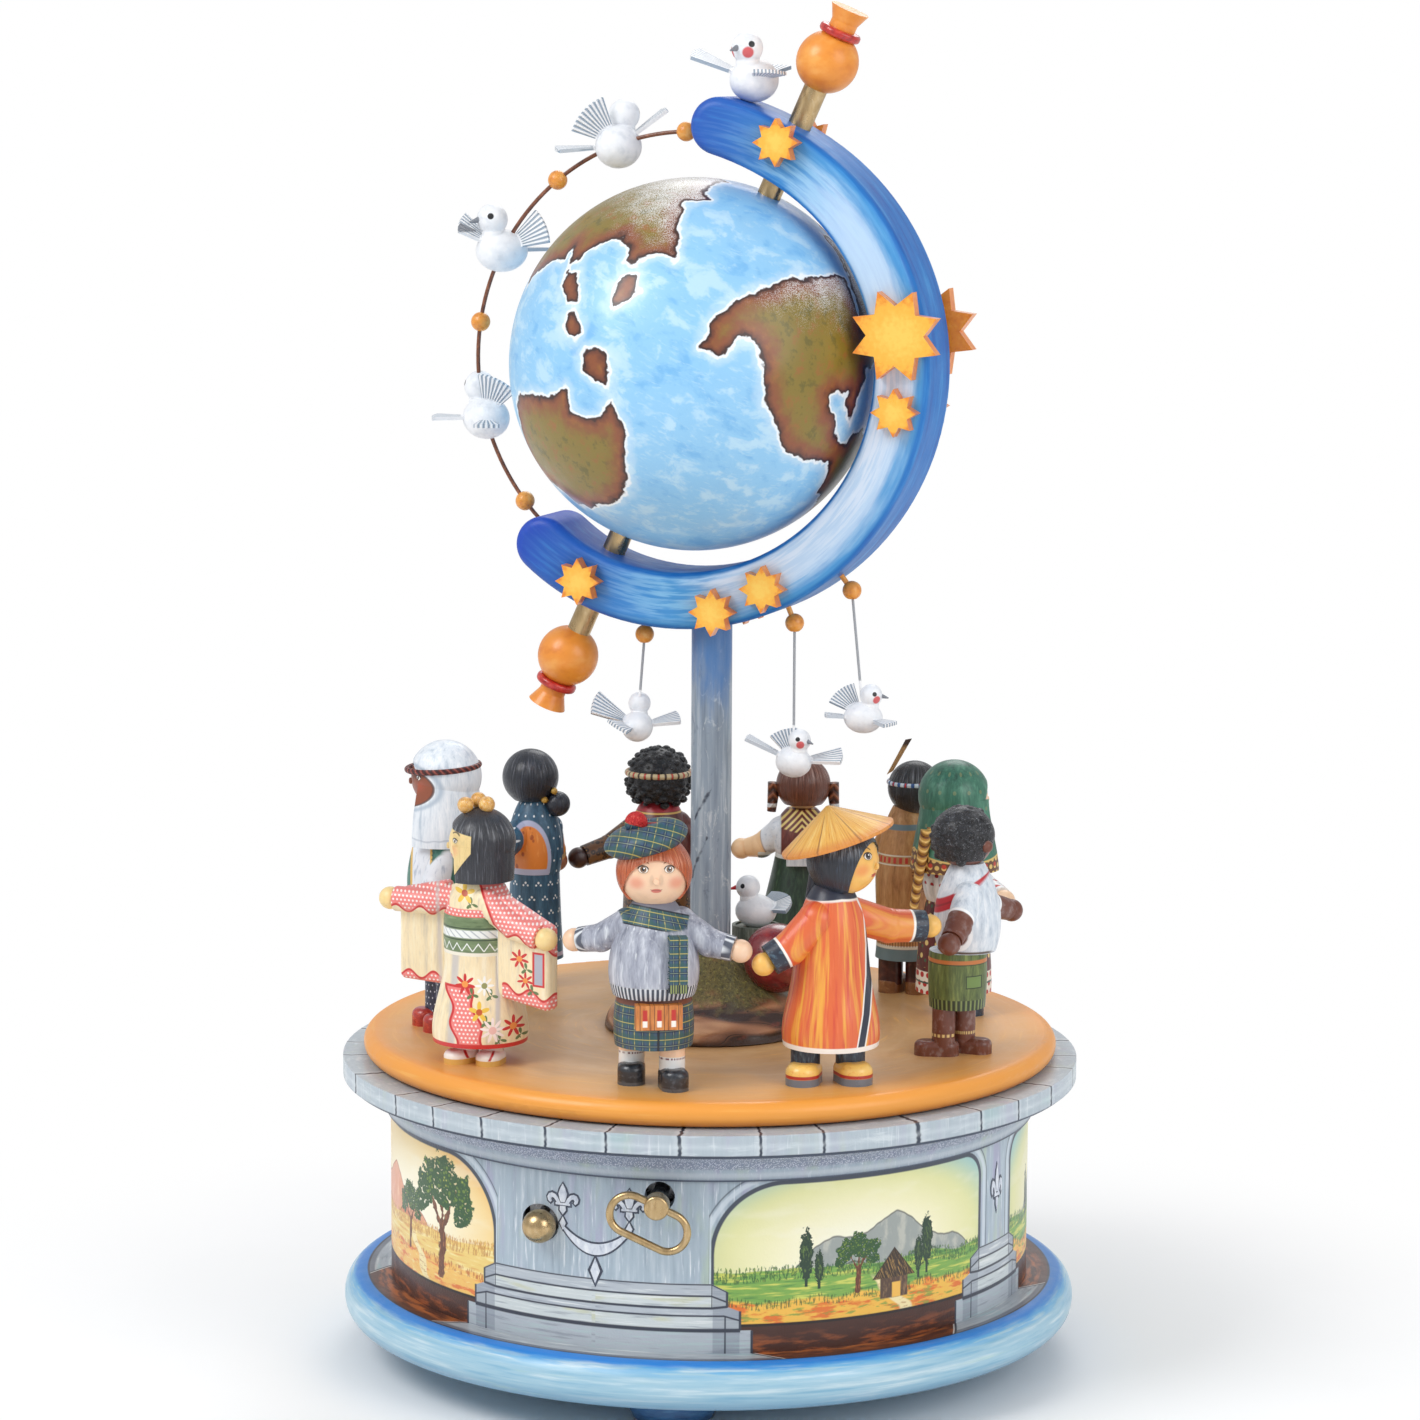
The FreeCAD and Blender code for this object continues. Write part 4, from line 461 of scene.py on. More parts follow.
def landscape(paint, number, across, rise, warm):
    """Open country: sky, far hills, fields, trees and a path, different in every panel."""
    own_across, own_depth = number * 97.0, number * 31.0
    place = paint.join(across + own_across, own_depth, rise)
    flat = paint.join(across + own_across, own_depth, 0.0)

    def pick(cold_colour, warm_colour):
        return warm_colour if warm else cold_colour

    glow = paint.math("SQRT", across * across * 0.42 + (rise - 58.0) * (rise - 58.0) * 1.5)
    paint.start(pick(rgb(150, 200, 206), rgb(240, 168, 84)))
    paint.lay(pick(rgb(226, 226, 158), rgb(248, 214, 142)), paint.step(glow, 46.0, 30.0))
    paint.lay(pick(rgb(248, 242, 200), rgb(252, 240, 204)), paint.step(glow, 38.0, 16.0))
    paint.lay(rgb(254, 252, 236), paint.step(glow, 24.0, 2.0), 0.8)
    clouds = paint.noise((20.0, 9.0, 6.0), 2, place)
    paint.lay(rgb(252, 248, 230), paint.step(clouds, 0.5, 0.9), 0.3)
    veer = number * 7.0
    hills(paint, across + veer + 14.0, rise, ((12.0, 20.0, 15.0), (-13.0, 13.0, 13.0), (36.0, 8.0, 10.0)),
          50.0,
          (pick(rgb(158, 164, 160), rgb(230, 164, 132)), pick(rgb(196, 196, 184), rgb(246, 200, 166)),
           pick(rgb(88, 90, 88), rgb(176, 92, 70))), place)
    hills(paint, across + veer + 14.0, rise, ((-4.0, 6.5, 11.0), (24.0, 8.0, 12.0)), 49.0,
          (pick(rgb(136, 148, 138), rgb(214, 118, 96)), pick(rgb(172, 178, 156), rgb(236, 158, 124)),
           pick(rgb(84, 92, 84), rgb(150, 70, 58))), place)
    field = 53.0 + paint.noise((26.0, 9.0, 9.0), 1, flat) * 3.4
    field_mask = paint.step(rise, field + 0.3, field - 0.3)
    paint.lay(pick(rgb(126, 172, 78), rgb(240, 208, 122)), field_mask)
    bands = paint.noise((14.0, 9.0, 1.5), 3, place)
    paint.lay(pick(rgb(222, 220, 104), rgb(250, 232, 166)), field_mask * paint.step(bands, 0.5, 0.75), 0.85)
    paint.lay(pick(rgb(66, 128, 66), rgb(222, 150, 70)), field_mask * paint.step(bands, 0.42, 0.2), 0.75)
    tufts = paint.noise((0.7, 0.7, 2.4), 3, place)
    hedge = paint.within(rise, field - 3.6, field + tufts * 3.0 - 0.6, 0.3)
    paint.lay(pick(rgb(44, 94, 54), rgb(196, 134, 66)), hedge * paint.step(tufts, 0.4, 0.6), 0.85)
    paint.lay(pick(rgb(150, 176, 70), rgb(250, 214, 120)), hedge * paint.step(tufts, 0.62, 0.8), 0.8)
    soil = 43.0 + paint.noise((20.0, 9.0, 9.0), 2, flat) * 6.0
    soil_mask = paint.step(rise, soil + 0.5, soil - 0.5)
    paint.lay(pick(rgb(246, 192, 78), rgb(246, 196, 104)), soil_mask)
    paint.lay(pick(rgb(232, 118, 44), rgb(232, 126, 62)),
              soil_mask * paint.patches((8.0, 8.0, 2.0), 4, 0.48, 0.72, place))
    paint.lay(pick(rgb(126, 160, 66), rgb(250, 226, 150)),
              soil_mask * paint.patches((6.0, 6.0, 1.4), 3, 0.62, 0.8, place), 0.8)
    grass = paint.noise((0.6, 0.6, 2.6), 3, place)
    blades = paint.within(rise, soil - 2.0, soil + grass * 3.0 - 1.0, 0.3) * paint.step(grass, 0.5, 0.65)
    paint.lay(pick(rgb(70, 92, 44), rgb(190, 96, 48)), blades, 0.8)
    bend = across + (rise - 40.0) * 0.8 + paint.noise((40.0, 9.0, 9.0), 1, place) * 8.0 - 16.0
    path = paint.line(paint.size(bend), 5.0, 0.6) * paint.step(rise, soil + 6.0, soil + 3.0)
    paint.lay(rgb(250, 232, 176), path)
    paint.lay(rgb(198, 150, 88), path * paint.patches((3.0, 3.0, 0.8), 3, 0.55, 0.8, place), 0.7)
    offset = across + veer
    if warm:
        for right, foot, size in ((38.0, 42.0, 40.0), (15.0, 46.0, 22.0)):
            tree(paint, offset - right, rise - foot, size)
        return
    for right, foot, size in ((-35.0, 49.0, 19.0), (-30.6, 48.0, 13.0), (10.6, 48.0, 20.0),
                              (7.0, 47.0, 14.0)):
        poplar(paint, offset - right, rise - foot, size)
    tree(paint, offset + 17.0, rise - 46.0, 19.0)
    cottage(paint, offset + 3.0, rise - 42.0, 21.0)


def wall_material(warm):
    """Landscapes between stone piers, and their plinths, on the drum."""
    paint = Paint("painted_wall_warm" if warm else "painted_wall_cold")
    back, number, across = panel_layout(paint)
    rise = paint.z
    landscape(paint, number, across, rise, warm)
    scene_colour = paint.colour
    space = paint.join(back * (wall_radius * degree), 0.0, rise)
    stone_strokes(paint, space)
    pier_colour = paint.colour
    half_wide = panel_half_angle * wall_radius * degree
    beside_front = paint.step(paint.size(number), 1.4, 1.6) * paint.step(across * number, 0.0, 0.1)
    small_corner, large_corner = 9.0, 24.0
    corner = small_corner + beside_front * (large_corner - small_corner)
    side = paint.size(across) - half_wide + corner
    up = rise - panel_top + corner
    rounded = paint.length(paint.highest(side, 0.0), paint.highest(up, 0.0))
    inner = paint.lowest(paint.highest(side, up), 0.0) + rounded - corner
    covered = paint.highest(inner, (paint.size(back) - (180.0 - front_half_angle)) * 9.0)
    panel = paint.step(covered, 0.3, -0.3)
    mix = paint.add("ShaderNodeMix", data_type="RGBA")
    paint.put(mix.inputs[0], panel)
    paint.put(mix.inputs[6], pier_colour)
    paint.put(mix.inputs[7], scene_colour)
    paint.colour = mix.outputs[2]
    frame_line = rgb(66, 74, 88)
    paint.lay(rgb(214, 224, 232), paint.line(paint.size(covered - 2.6), 1.6, 0.4), 0.75)
    paint.lay(frame_line, paint.line(paint.size(covered), 1.5, 0.25))
    paint.lay(frame_line, paint.line(paint.size(covered - 4.2), 0.5, 0.2), 0.7)
    foot = paint.step(rise, panel_foot, panel_foot - 0.4) * panel
    earth = paint.noise((10.0, 10.0, 2.0), 4, space)
    paint.lay(rgb(70, 36, 24), foot)
    paint.lay(rgb(158, 84, 40), foot * paint.step(earth, 0.42, 0.8) * paint.step(rise, 36.0, 30.0))
    paint.lay(rgb(26, 18, 18), paint.line(paint.size(rise - panel_foot), 0.9, 0.2) * panel)
    plinth(paint, covered * -1.0, rise, space)
    shadow = paint.step(rise, 83.6, 86.4) * (1.0 - panel)
    paint.lay(rgb(74, 84, 100), shadow, 0.8)
    return paint.done(0.42, 0.25, None, 0.35, 0.7)


def plinth(paint, out, rise, space):
    """Two painted blocks with slanted ends under each pier, and the stone floor before them.

    Out is the distance from the pier's edge into the panel beside it.
    """
    dark = rgb(52, 58, 72)
    upper_end, lower_end, floor_end = 5.0, 9.2, 13.0
    floor_top = 35.6
    slant = paint.highest(out, 0.0)
    late = paint.highest(out - 4.0, 0.0)
    upper_top = 51.0 - slant * 0.5
    upper_edge = 47.0 - slant * 0.4
    lower_top = 43.0 + slant * 0.1
    lower_edge = 40.4 - late * 0.3
    upper = paint.step(rise, upper_top + 0.2, upper_top - 0.2) * paint.step(out, upper_end, upper_end - 0.3)
    lower = paint.step(rise, lower_top + 0.2, lower_top - 0.2) * paint.step(out, lower_end, lower_end - 0.3)
    lower = lower * paint.step(rise, 42.0 + (lower_end - out) * 0.4, 41.6 + (lower_end - out) * 0.4)
    floor = paint.step(rise, floor_top + 0.2, floor_top - 0.2) * paint.step(out, floor_end, floor_end - 0.3)
    whole = paint.highest(paint.highest(upper, lower), floor)
    long_strokes = paint.noise((16.0, 16.0, 0.9), 4, space)
    paint.lay(rgb(182, 190, 198), whole)
    face = paint.highest(upper * paint.within(rise, lower_top, upper_edge, 0.2),
                         lower * paint.within(rise, 35.8, lower_edge, 0.2))
    paint.lay(rgb(208, 216, 216), face, 0.9)
    paint.lay(rgb(200, 202, 162), face * paint.patches((22.0, 22.0, 5.0), 2, 0.55, 0.8, space), 0.6)
    paint.lay(rgb(228, 232, 232), whole * paint.step(long_strokes, 0.56, 0.85), 0.8)
    paint.lay(rgb(134, 142, 156), whole * paint.step(long_strokes, 0.42, 0.18), 0.6)
    ends = paint.highest(upper * paint.step(out, 0.2, 0.6), lower * paint.step(out, 4.4, 4.8)
                         * paint.step(rise, 43.2, 42.8))
    paint.lay(rgb(136, 144, 158), ends, 0.6)
    paint.lay(rgb(150, 180, 184), floor * paint.step(long_strokes, 0.5, 0.8), 0.6)
    for mask, edge, width in ((upper, rise - upper_top, 0.9), (upper, rise - upper_edge, 0.6),
                              (whole * paint.step(out, upper_end + 0.2, upper_end), rise - lower_top, 0.8),
                              (lower, rise - lower_edge, 0.6)):
        paint.lay(dark, mask * paint.line(paint.size(edge), width, 0.2))
    paint.lay(dark, paint.line(paint.size(rise - floor_top), 1.3, 0.25)
              * paint.step(out, lower_end + 0.2, lower_end))
    paint.lay(dark, upper * paint.line(paint.size(out), 0.5, 0.2)
              * paint.step(rise, lower_top, lower_top + 0.3))
    paint.lay(dark, lower * paint.line(paint.size(out - 4.4), 0.5, 0.2)
              * paint.step(rise, lower_edge + 0.4, lower_edge))
    for end, mask in ((upper_end, paint.within(rise, 43.2, upper_top, 0.2)),
                      (lower_end, paint.within(rise, floor_top, 42.0, 0.2)),
                      (floor_end, paint.step(rise, floor_top, floor_top - 0.2))):
        paint.lay(dark, paint.line(paint.size(out - end), 0.8, 0.2) * mask)


def base_material():
    paint = Paint("painted_base")
    angle = paint.around()
    reach = paint.reach()
    back, _, across = panel_layout(paint)
    flow = paint.join(angle * 2.0, reach, paint.z)
    paint.start(rgb(160, 198, 216))
    paint.tint(rgb(212, 228, 234), rgb(116, 172, 202), (26.0, 3.0, 1.6), 0.7, flow)
    paint.lay(rgb(98, 150, 184), paint.step(paint.z, 19.0, 13.0), 0.7)
    paint.lay(rgb(180, 212, 186), paint.patches((30.0, 4.0, 3.0), 3, 0.68, 1.0, flow), 0.35)
    uneven = (paint.noise((14.0, 2.0, 2.0), 3, flow) - 0.5) * 1.6
    azure = paint.step(reach + uneven, 116.4, 117.0) * paint.step(paint.z + uneven, 21.0, 25.6)
    paint.lay(rgb(84, 170, 222), azure * paint.patches((18.0, 3.0, 1.0), 3, 0.3, 0.6, flow)
              * paint.step(reach + uneven, 125.4, 122.0), 0.8)
    paint.lay(rgb(0, 124, 214), azure * paint.step(reach + uneven, 123.0, 120.4), 0.95)
    top = paint.step(paint.z, 25.6, 26.2)
    inside = paint.step(reach, 117.4, 117.0) * top
    earth = paint.noise((12.0, 2.4, 2.0), 4, flow)
    paint.lay(rgb(84, 44, 28), inside)
    paint.lay(rgb(184, 104, 48), inside * paint.step(earth, 0.35, 0.75) * paint.step(reach, 117.0, 112.0))
    floor_reach = 13.0
    half_wide = (panel_half_angle * wall_radius * degree) - floor_reach
    outer_edge = (paint.size(back) - (180.0 - front_half_angle)) * (wall_radius * degree) + floor_reach
    pier = paint.highest(paint.size(across) - half_wide, outer_edge)
    pier = pier + (reach - wall_radius) * 1.1
    floor = paint.step(pier, -0.2, 0.2) * inside
    streak = paint.noise((16.0, 1.5, 2.0), 4, flow)
    paint.lay(rgb(170, 176, 182), floor)
    paint.lay(rgb(214, 218, 216), floor * paint.step(streak, 0.5, 0.9), 0.8)
    paint.lay(rgb(112, 120, 132), floor * paint.step(streak, 0.4, 0.1), 0.8)
    paint.lay(rgb(150, 186, 190), floor * paint.patches((26.0, 3.0, 2.0), 2, 0.6, 0.85, flow), 0.6)
    paint.lay(rgb(92, 96, 110), floor * paint.step(reach, 114.6, 115.4), 0.85)
    paint.lay(rgb(232, 232, 230), paint.line(paint.size(pier + 0.9), 0.7, 0.2) * inside, 0.8)
    paint.lay(rgb(54, 58, 70), paint.line(paint.size(pier), 1.0, 0.25) * inside)
    paint.lay(rgb(44, 42, 52), paint.line(paint.size(reach - 117.2), 0.7, 0.25) * top)
    return paint.done(0.4, 0.3, None, 0.1, 0.8)


def cornice_material():
    """Row of stones on the band, over a sponged cove."""
    paint = Paint("painted_cornice")
    stone_angle = 11.25
    stone_length = 2.18
    angle = paint.around()
    flow = paint.join(angle * 2.1, paint.reach(), paint.z)
    band = paint.step(paint.z, band_foot - 0.6, band_foot)
    stone_strokes(paint, flow, 0.35)
    paint.lay(rgb(184, 194, 200), band, 0.55)
    paint.lay(rgb(214, 222, 226), band * paint.patches((8.0, 3.0, 1.5), 4, 0.55, 0.9, flow), 0.6)
    paint.lay(rgb(150, 190, 190), band * paint.patches((30.0, 9.0, 9.0), 2, 0.7, 0.9, flow), 0.35)
    wander = (paint.noise((60.0, 500.0, 500.0), 0, flow) - 0.5) * 9.0
    crack = (paint.noise((4.0, 4.0, 3.0), 1, paint.join(0.0, paint.reach(), paint.z)) - 0.5) * 0.7
    joint = paint.math("FRACT", (angle + 180.0 + wander + crack) / stone_angle) - 0.5
    joint = paint.size(joint) * stone_angle * stone_length
    paint.lay(rgb(222, 228, 232), band * paint.step(joint, 2.6, 1.0), 0.35)
    paint.lay(rgb(50, 60, 76), band * paint.line(joint, 1.0, 0.25))
    paint.lay(rgb(226, 234, 238), paint.within(paint.z, 99.4, 100.6, 0.9) * band, 0.3)
    # Dark grey in the groove under the band: painted shade.
    paint.lay(rgb(70, 80, 98), paint.within(paint.z, groove_foot, band_foot, 0.4))
    cove = paint.step(paint.z, groove_foot + 0.4, groove_foot - 0.2)
    sponge = paint.cells(0.55)
    sponged = cove * paint.within(paint.z, 89.2, 94.4, 0.7)
    paint.lay(rgb(118, 124, 148), sponged, 0.7)
    paint.lay(rgb(214, 218, 230), sponged * paint.step(sponge, 0.5, 0.25), 0.85)
    paint.lay(rgb(120, 134, 154), cove * paint.step(paint.z, 90.0, 86.4), 0.5)
    paint.lay(rgb(206, 214, 220), cove * paint.within(paint.z, 86.2, 88.0, 0.7), 0.55)
    paint.lay(rgb(66, 76, 94), cove * paint.step(paint.z, 85.9, 85.3))
    return paint.done(0.42, 0.3, paint.line(joint, 1.0, 0.3) * band * -0.6 + sponge * cove * 0.5, 0.3, 0.7)


def feet_material():
    paint = Paint("painted_feet").start(rgb(52, 104, 154))
    paint.tint(rgb(84, 140, 184), rgb(34, 70, 116), (6.0, 6.0, 1.5), 0.6)
    paint.lay(rgb(24, 50, 86), paint.step(paint.z, 5.0, 0.0), 0.7)
    return paint.done(0.4, 0.3)


def turntable_material():
    paint = Paint("painted_turntable")
    reach = paint.reach()
    flow = paint.join(paint.around() * 1.6, reach, paint.z)
    paint.start(rgb(212, 166, 112))
    paint.tint(rgb(226, 186, 134), rgb(196, 144, 88), (34.0, 9.0, 9.0), 0.6, flow)
    paint.lay(rgb(190, 156, 120), paint.patches(38.0, 2, 0.5, 0.9), 0.5)
    paint.lay(rgb(232, 172, 92), paint.step(paint.noise(46.0, 2, None, 0.5, 0.4), 0.5, 0.85), 0.6)
    wander = (paint.noise((50.0, 6.0, 6.0), 3, flow) - 0.5) * 9.0
    paint.lay(rgb(232, 164, 78), paint.step(reach + wander, 88.0, 112.0), 0.85)
    paint.lay(rgb(242, 158, 56), paint.step(reach + wander * 0.5, 108.0, 116.0), 0.85)
    paint.lay(rgb(214, 120, 36), paint.step(paint.z, 107.6, 104.4), 0.7)
    paint.lay(rgb(246, 188, 96), paint.patches((24.0, 1.6, 1.6), 4, 0.6, 0.95, flow), 0.45)
    paint.lay(rgb(150, 104, 70), paint.step(reach, 42.0, 35.0), 0.5)
    return paint.done(0.46, 0.22, None, 0.06, 1.4)


def grown(outline, margin):
    """Outline pushed outward by the margin."""
    points = [Vector(point) for point in outline]
    area = sum(first.x * second.y - second.x * first.y
               for first, second in zip(points, points[1:] + points[:1]))
    way = 1 if area > 0 else -1
    result = []
    for index, point in enumerate(points):
        before = (point - points[index - 1]).normalized()
        after = (points[(index + 1) % len(points)] - point).normalized()
        normal = Vector((before.y + after.y, -before.x - after.x)) * way
        length = max(normal.length, 0.7)
        result.append(point + normal / length * margin * (2 / length if length > 1.2 else 1.2))
    return result


def raised_on_wall(name, outlines, places, rise, material, margin=0.0):
    """Flat shapes laid on the wall at their angles and heights, standing out a little."""
    mesh = bmesh.new()
    for angle, height, stretch in places:
        for outline in outlines:
            points = grown(outline, margin) if margin else [Vector(point) for point in outline]
            corners = []
            for point in points:
                turn = angle + point.x * stretch[0] / (wall_radius * degree)
                level = height + point.y * stretch[1]
                corners.append((turn, level))
            outer = [mesh.verts.new(ring_point(wall_radius + rise, *corner) * mm) for corner in corners]
            inner = [mesh.verts.new(ring_point(wall_radius - 0.1, *corner) * mm) for corner in corners]
            mesh.faces.new(outer)
            count = len(corners)
            for index in range(count):
                after = (index + 1) % count
                mesh.faces.new((outer[index], outer[after], inner[after], inner[index]))
    bmesh.ops.recalc_face_normals(mesh, faces=mesh.faces)
    bmesh.ops.triangulate(mesh, faces=mesh.faces)
    piece = piece_from_bmesh(name, mesh, material)
    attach(piece, "base")


def mirrored(outline):
    """The same outline on the other side, still running the same way round."""
    return [(-x, y) for x, y in reversed(outline)]


def wall_ornaments():
    """Lily crests, diamonds and a swag, pale with a dark edge."""
    petal = [(0, 5.2), (-0.9, 3.6), (-1.5, 1.9), (-1.2, 0.3), (-0.7, -0.9), (0.7, -0.9), (1.2, 0.3),
             (1.5, 1.9), (0.9, 3.6)]
    side_petal = [(0.9, -1.1), (1.7, 0.4), (2.7, 1.5), (3.9, 1.9), (5.0, 1.5), (5.6, 0.4), (5.3, -0.8),
                  (4.5, -1.4), (4.0, -0.9), (4.3, -0.2), (3.9, 0.4), (3.2, 0.2), (2.4, -0.7), (1.9, -1.8)]
    band = [(-2.6, -1.9), (2.6, -1.9), (2.6, -1.2), (-2.6, -1.2)]
    root = [(0, -5.0), (1.1, -3.6), (1.0, -2.2), (-1.0, -2.2), (-1.1, -3.6)]
    lily = [petal, side_petal, mirrored(side_petal), band, root]
    diamond = [(0, 2.2), (-1.1, 0), (0, -2.2), (1.1, 0)]
    upper, lower = [], []
    steps = 16
    for step in range(steps + 1):
        share = 2 * step / steps - 1
        sag = 6.4 * (1 - share * share)
        thickness = 0.5 + 1.3 * (1 - share * share)
        upper.append((share * 11.4, -sag + thickness))
        lower.append((share * 11.4, -sag - thickness))
    swag = lower + upper[::-1]
    even = (1.0, 1.0)
    crests = [(side * 6.0, 76.0, even) for side in (-1, 1)]
    narrow = [(180 + (index + 0.5) * panel_pitch, 69.0, (0.72, 1.5)) for index in (-2, -1, 0, 1)]
    small = [(side * 6.0, 68.2, even) for side in (-1, 1)]
    pendant = [(0.0, 53.6, (1.5, 1.9))]
    pale = plain_paint("ornament_pale", rgb(214, 220, 230), rgb(244, 247, 250), rgb(164, 174, 192),
                       (1.4, 1.4, 3.0), 0.4, 0.35)
    dark = plain_paint("ornament_edge", rgb(58, 66, 84), rgb(88, 98, 118), rgb(36, 42, 56), (1.2, 1.2, 2.0))
    for edge_name, name, outlines, places, rise in (
            ("lily_edges", "lily_crests", lily, crests + narrow, 0.3),
            ("diamond_edges", "diamonds", [diamond], small + pendant, 0.3),
            ("swag_edge", "swag", [swag], [(0.0, 67.0, even)], 0.28)):
        raised_on_wall(edge_name, outlines, places, 0.1, dark, 0.6)
        raised_on_wall(name, outlines, places, rise, pale)


# Column, mound, bow and globe

def column_material():
    paint = Paint("painted_column")
    flow = paint.join(paint.around() * 0.12, 0.0, paint.z)
    paint.start(rgb(136, 150, 164))
    paint.tint(rgb(186, 196, 204), rgb(92, 106, 124), (2.6, 2.6, 44.0), 0.8)
    marble = paint.noise((5.0, 5.0, 12.0), 5, None, 0.7, 1.6)
    paint.lay(rgb(204, 210, 214), paint.step(marble, 0.62, 0.84), 0.6)
    paint.lay(rgb(78, 92, 112), paint.step(marble, 0.34, 0.18), 0.5)
    blue = paint.step(paint.z + (paint.noise((4.0, 4.0, 20.0), 3) - 0.5) * 26.0, 218.0, 246.0)
    paint.lay(rgb(50, 112, 176), blue, 0.85)
    wander = (paint.noise((8.0, 8.0, 5.0), 4, flow) - 0.5) * 5.0
    crack = paint.highest(paint.line(paint.stroke((3.0, -6.5, 196.0), (-4.0, -6.0, 184.0)) + wander * 0.3,
                                     0.9, 0.3),
                          paint.line(paint.stroke((1.0, -6.9, 178.0), (-5.0, -5.0, 164.0)) + wander * 0.3,
                                     0.8, 0.3))
    paint.lay(rgb(52, 62, 78), crack)
    paint.lay(rgb(74, 86, 78), paint.step(paint.z, 146.0, 139.0), 0.8)
    return paint.done(0.4, 0.35, marble * 0.5 - crack, 0.25)


def mound_material():
    paint = Paint("painted_mound")
    flow = paint.join(paint.around() * 0.6, paint.reach() * 0.5, paint.z)
    paint.start(rgb(112, 74, 52))
    layers = paint.noise((24.0, 24.0, 5.4), 1, flow, 0.4, 0.7)
    paint.lay(rgb(168, 118, 84), paint.step(layers, 0.5, 0.72))
    paint.lay(rgb(206, 160, 120), paint.step(layers, 0.68, 0.82), 0.7)
    paint.lay(rgb(54, 34, 26), paint.step(layers, 0.46, 0.36))
    cracks = paint.line(paint.size(layers - 0.47), 0.03, 0.012)
    paint.lay(rgb(30, 20, 18), cracks)
    paint.lay(rgb(150, 70, 52), paint.patches((9.0, 9.0, 3.0), 3, 0.66, 0.95, flow), 0.4)
    paint.lay(rgb(60, 40, 30), paint.step(paint.z, 115.5, 112.5), 0.8)
    grass = paint.step(paint.z + (paint.noise(5.0, 4) - 0.5) * 9.0, 121.0, 128.0)
    blades = paint.noise((1.1, 1.1, 2.2), 4, None, 0.7)
    paint.lay(rgb(112, 104, 54), grass, 0.9)
    paint.lay(rgb(166, 160, 84), grass * paint.step(blades, 0.55, 0.85))
    paint.lay(rgb(60, 62, 34), grass * paint.step(blades, 0.45, 0.2))
    paint.lay(rgb(150, 92, 52), grass * paint.patches(6.0, 3, 0.6, 0.9), 0.5)
    return paint.done(0.42, 0.3, layers * 3.0 + blades * grass * 2.0, 0.8)


def plain_paint(name, base, light, dark, size=(3.0, 3.0, 3.0), rough=0.4, coat=0.3, depth=0.12):
    paint = Paint(name).start(base)
    paint.tint(light, dark, size, 0.7)
    return paint.done(rough, coat, None, depth)


def bow_material():
    paint = Paint("painted_bow", bow_centre)
    reach = paint.length(paint.x, paint.z)
    angle = paint.math("ARCTAN2", paint.z, paint.x) / degree
    flow = paint.join(angle * 1.4, reach, paint.y)
    uneven = (paint.noise((26.0, 5.0, 9.0), 4, flow) - 0.5) * 7.0
    fine = paint.noise((16.0, 1.3, 3.0), 4, flow)
    paint.start(rgb(12, 112, 192))
    paint.tint(rgb(58, 148, 214), rgb(4, 80, 168), (20.0, 2.0, 3.0), 0.7, flow)
    face = paint.step(paint.size(paint.y), 13.4, 14.3)
    paint.lay(rgb(72, 154, 212), face, 0.75)
    paint.lay(rgb(140, 196, 230), face * paint.step(reach + uneven, 88.5, 80.0)
              * paint.step(fine, 0.3, 0.7), 0.8)
    low_pale = paint.step(paint.size(angle + 32.0 + uneven * 2.0), 58.0, 34.0)
    high_pale = paint.step(paint.size(angle - 16.0 + uneven * 2.0), 46.0, 20.0)
    inner = paint.step(reach + uneven * 0.7, 87.0, 80.0)
    paint.lay(rgb(196, 220, 244), face * inner * paint.highest(low_pale, high_pale * 0.9), 0.95)
    paint.lay(rgb(222, 234, 250), face * paint.step(reach + uneven, 84.0, 76.0) * low_pale
              * paint.step(fine, 0.3, 0.7), 0.9)
    paint.lay(rgb(90, 162, 218), face * paint.step(fine, 0.62, 0.85) * paint.step(reach, 76.0, 86.0), 0.6)
    paint.lay(rgb(90, 160, 214), (1.0 - face) * paint.step(reach, 80.0, 70.0) * paint.step(fine, 0.3, 0.8),
              0.7)
    ends = paint.highest(paint.step(angle + uneven, 52.0, 84.0), paint.step(angle + uneven, -88.0, -122.0))
    paint.lay(rgb(6, 82, 178), ends, 0.9)
    paint.lay(rgb(44, 128, 202), ends * paint.step(fine, 0.55, 0.85), 0.5)
    tips = paint.highest(paint.step(angle + uneven, 80.0, 92.0), paint.step(angle + uneven, -122.0, -134.0))
    paint.lay(rgb(8, 62, 180), tips, 0.85)
    return paint.done(0.52, 0.1, fine * 0.3, 0.08, 1.2)


def star_material(centres):
    paint = Paint("painted_stars")
    nearest = paint.lowest(*[paint.spot(centre, (radius, 60.0, radius)) for centre, radius in centres])
    face = paint.step(paint.size(paint.y), 18.6, 19.3)
    paint.start(rgb(238, 138, 34))
    paint.tint(rgb(248, 166, 62), rgb(216, 108, 24), (2.0, 2.0, 2.0), 0.6)
    uneven = (paint.noise(1.6, 3) - 0.5) * 0.35
    paint.lay(rgb(250, 184, 62), face * paint.step(nearest + uneven, 1.0, 0.7))
    paint.lay(rgb(252, 208, 92), face * paint.step(nearest + uneven, 0.7, 0.3), 0.8)
    return paint.done(0.34, 0.45, None, 0.1)


def metal_material(name, base, light, dark, rough=0.3):
    paint = Paint(name).start(base)
    paint.tint(light, dark, (1.2, 1.2, 5.0), 0.35)
    paint.lay(dark, paint.patches(6.0, 4, 0.6, 0.95), 0.35)
    return paint.done(rough, 0.0, paint.noise(0.5, 4) * 0.4, 0.03, 0.5, 1.0)


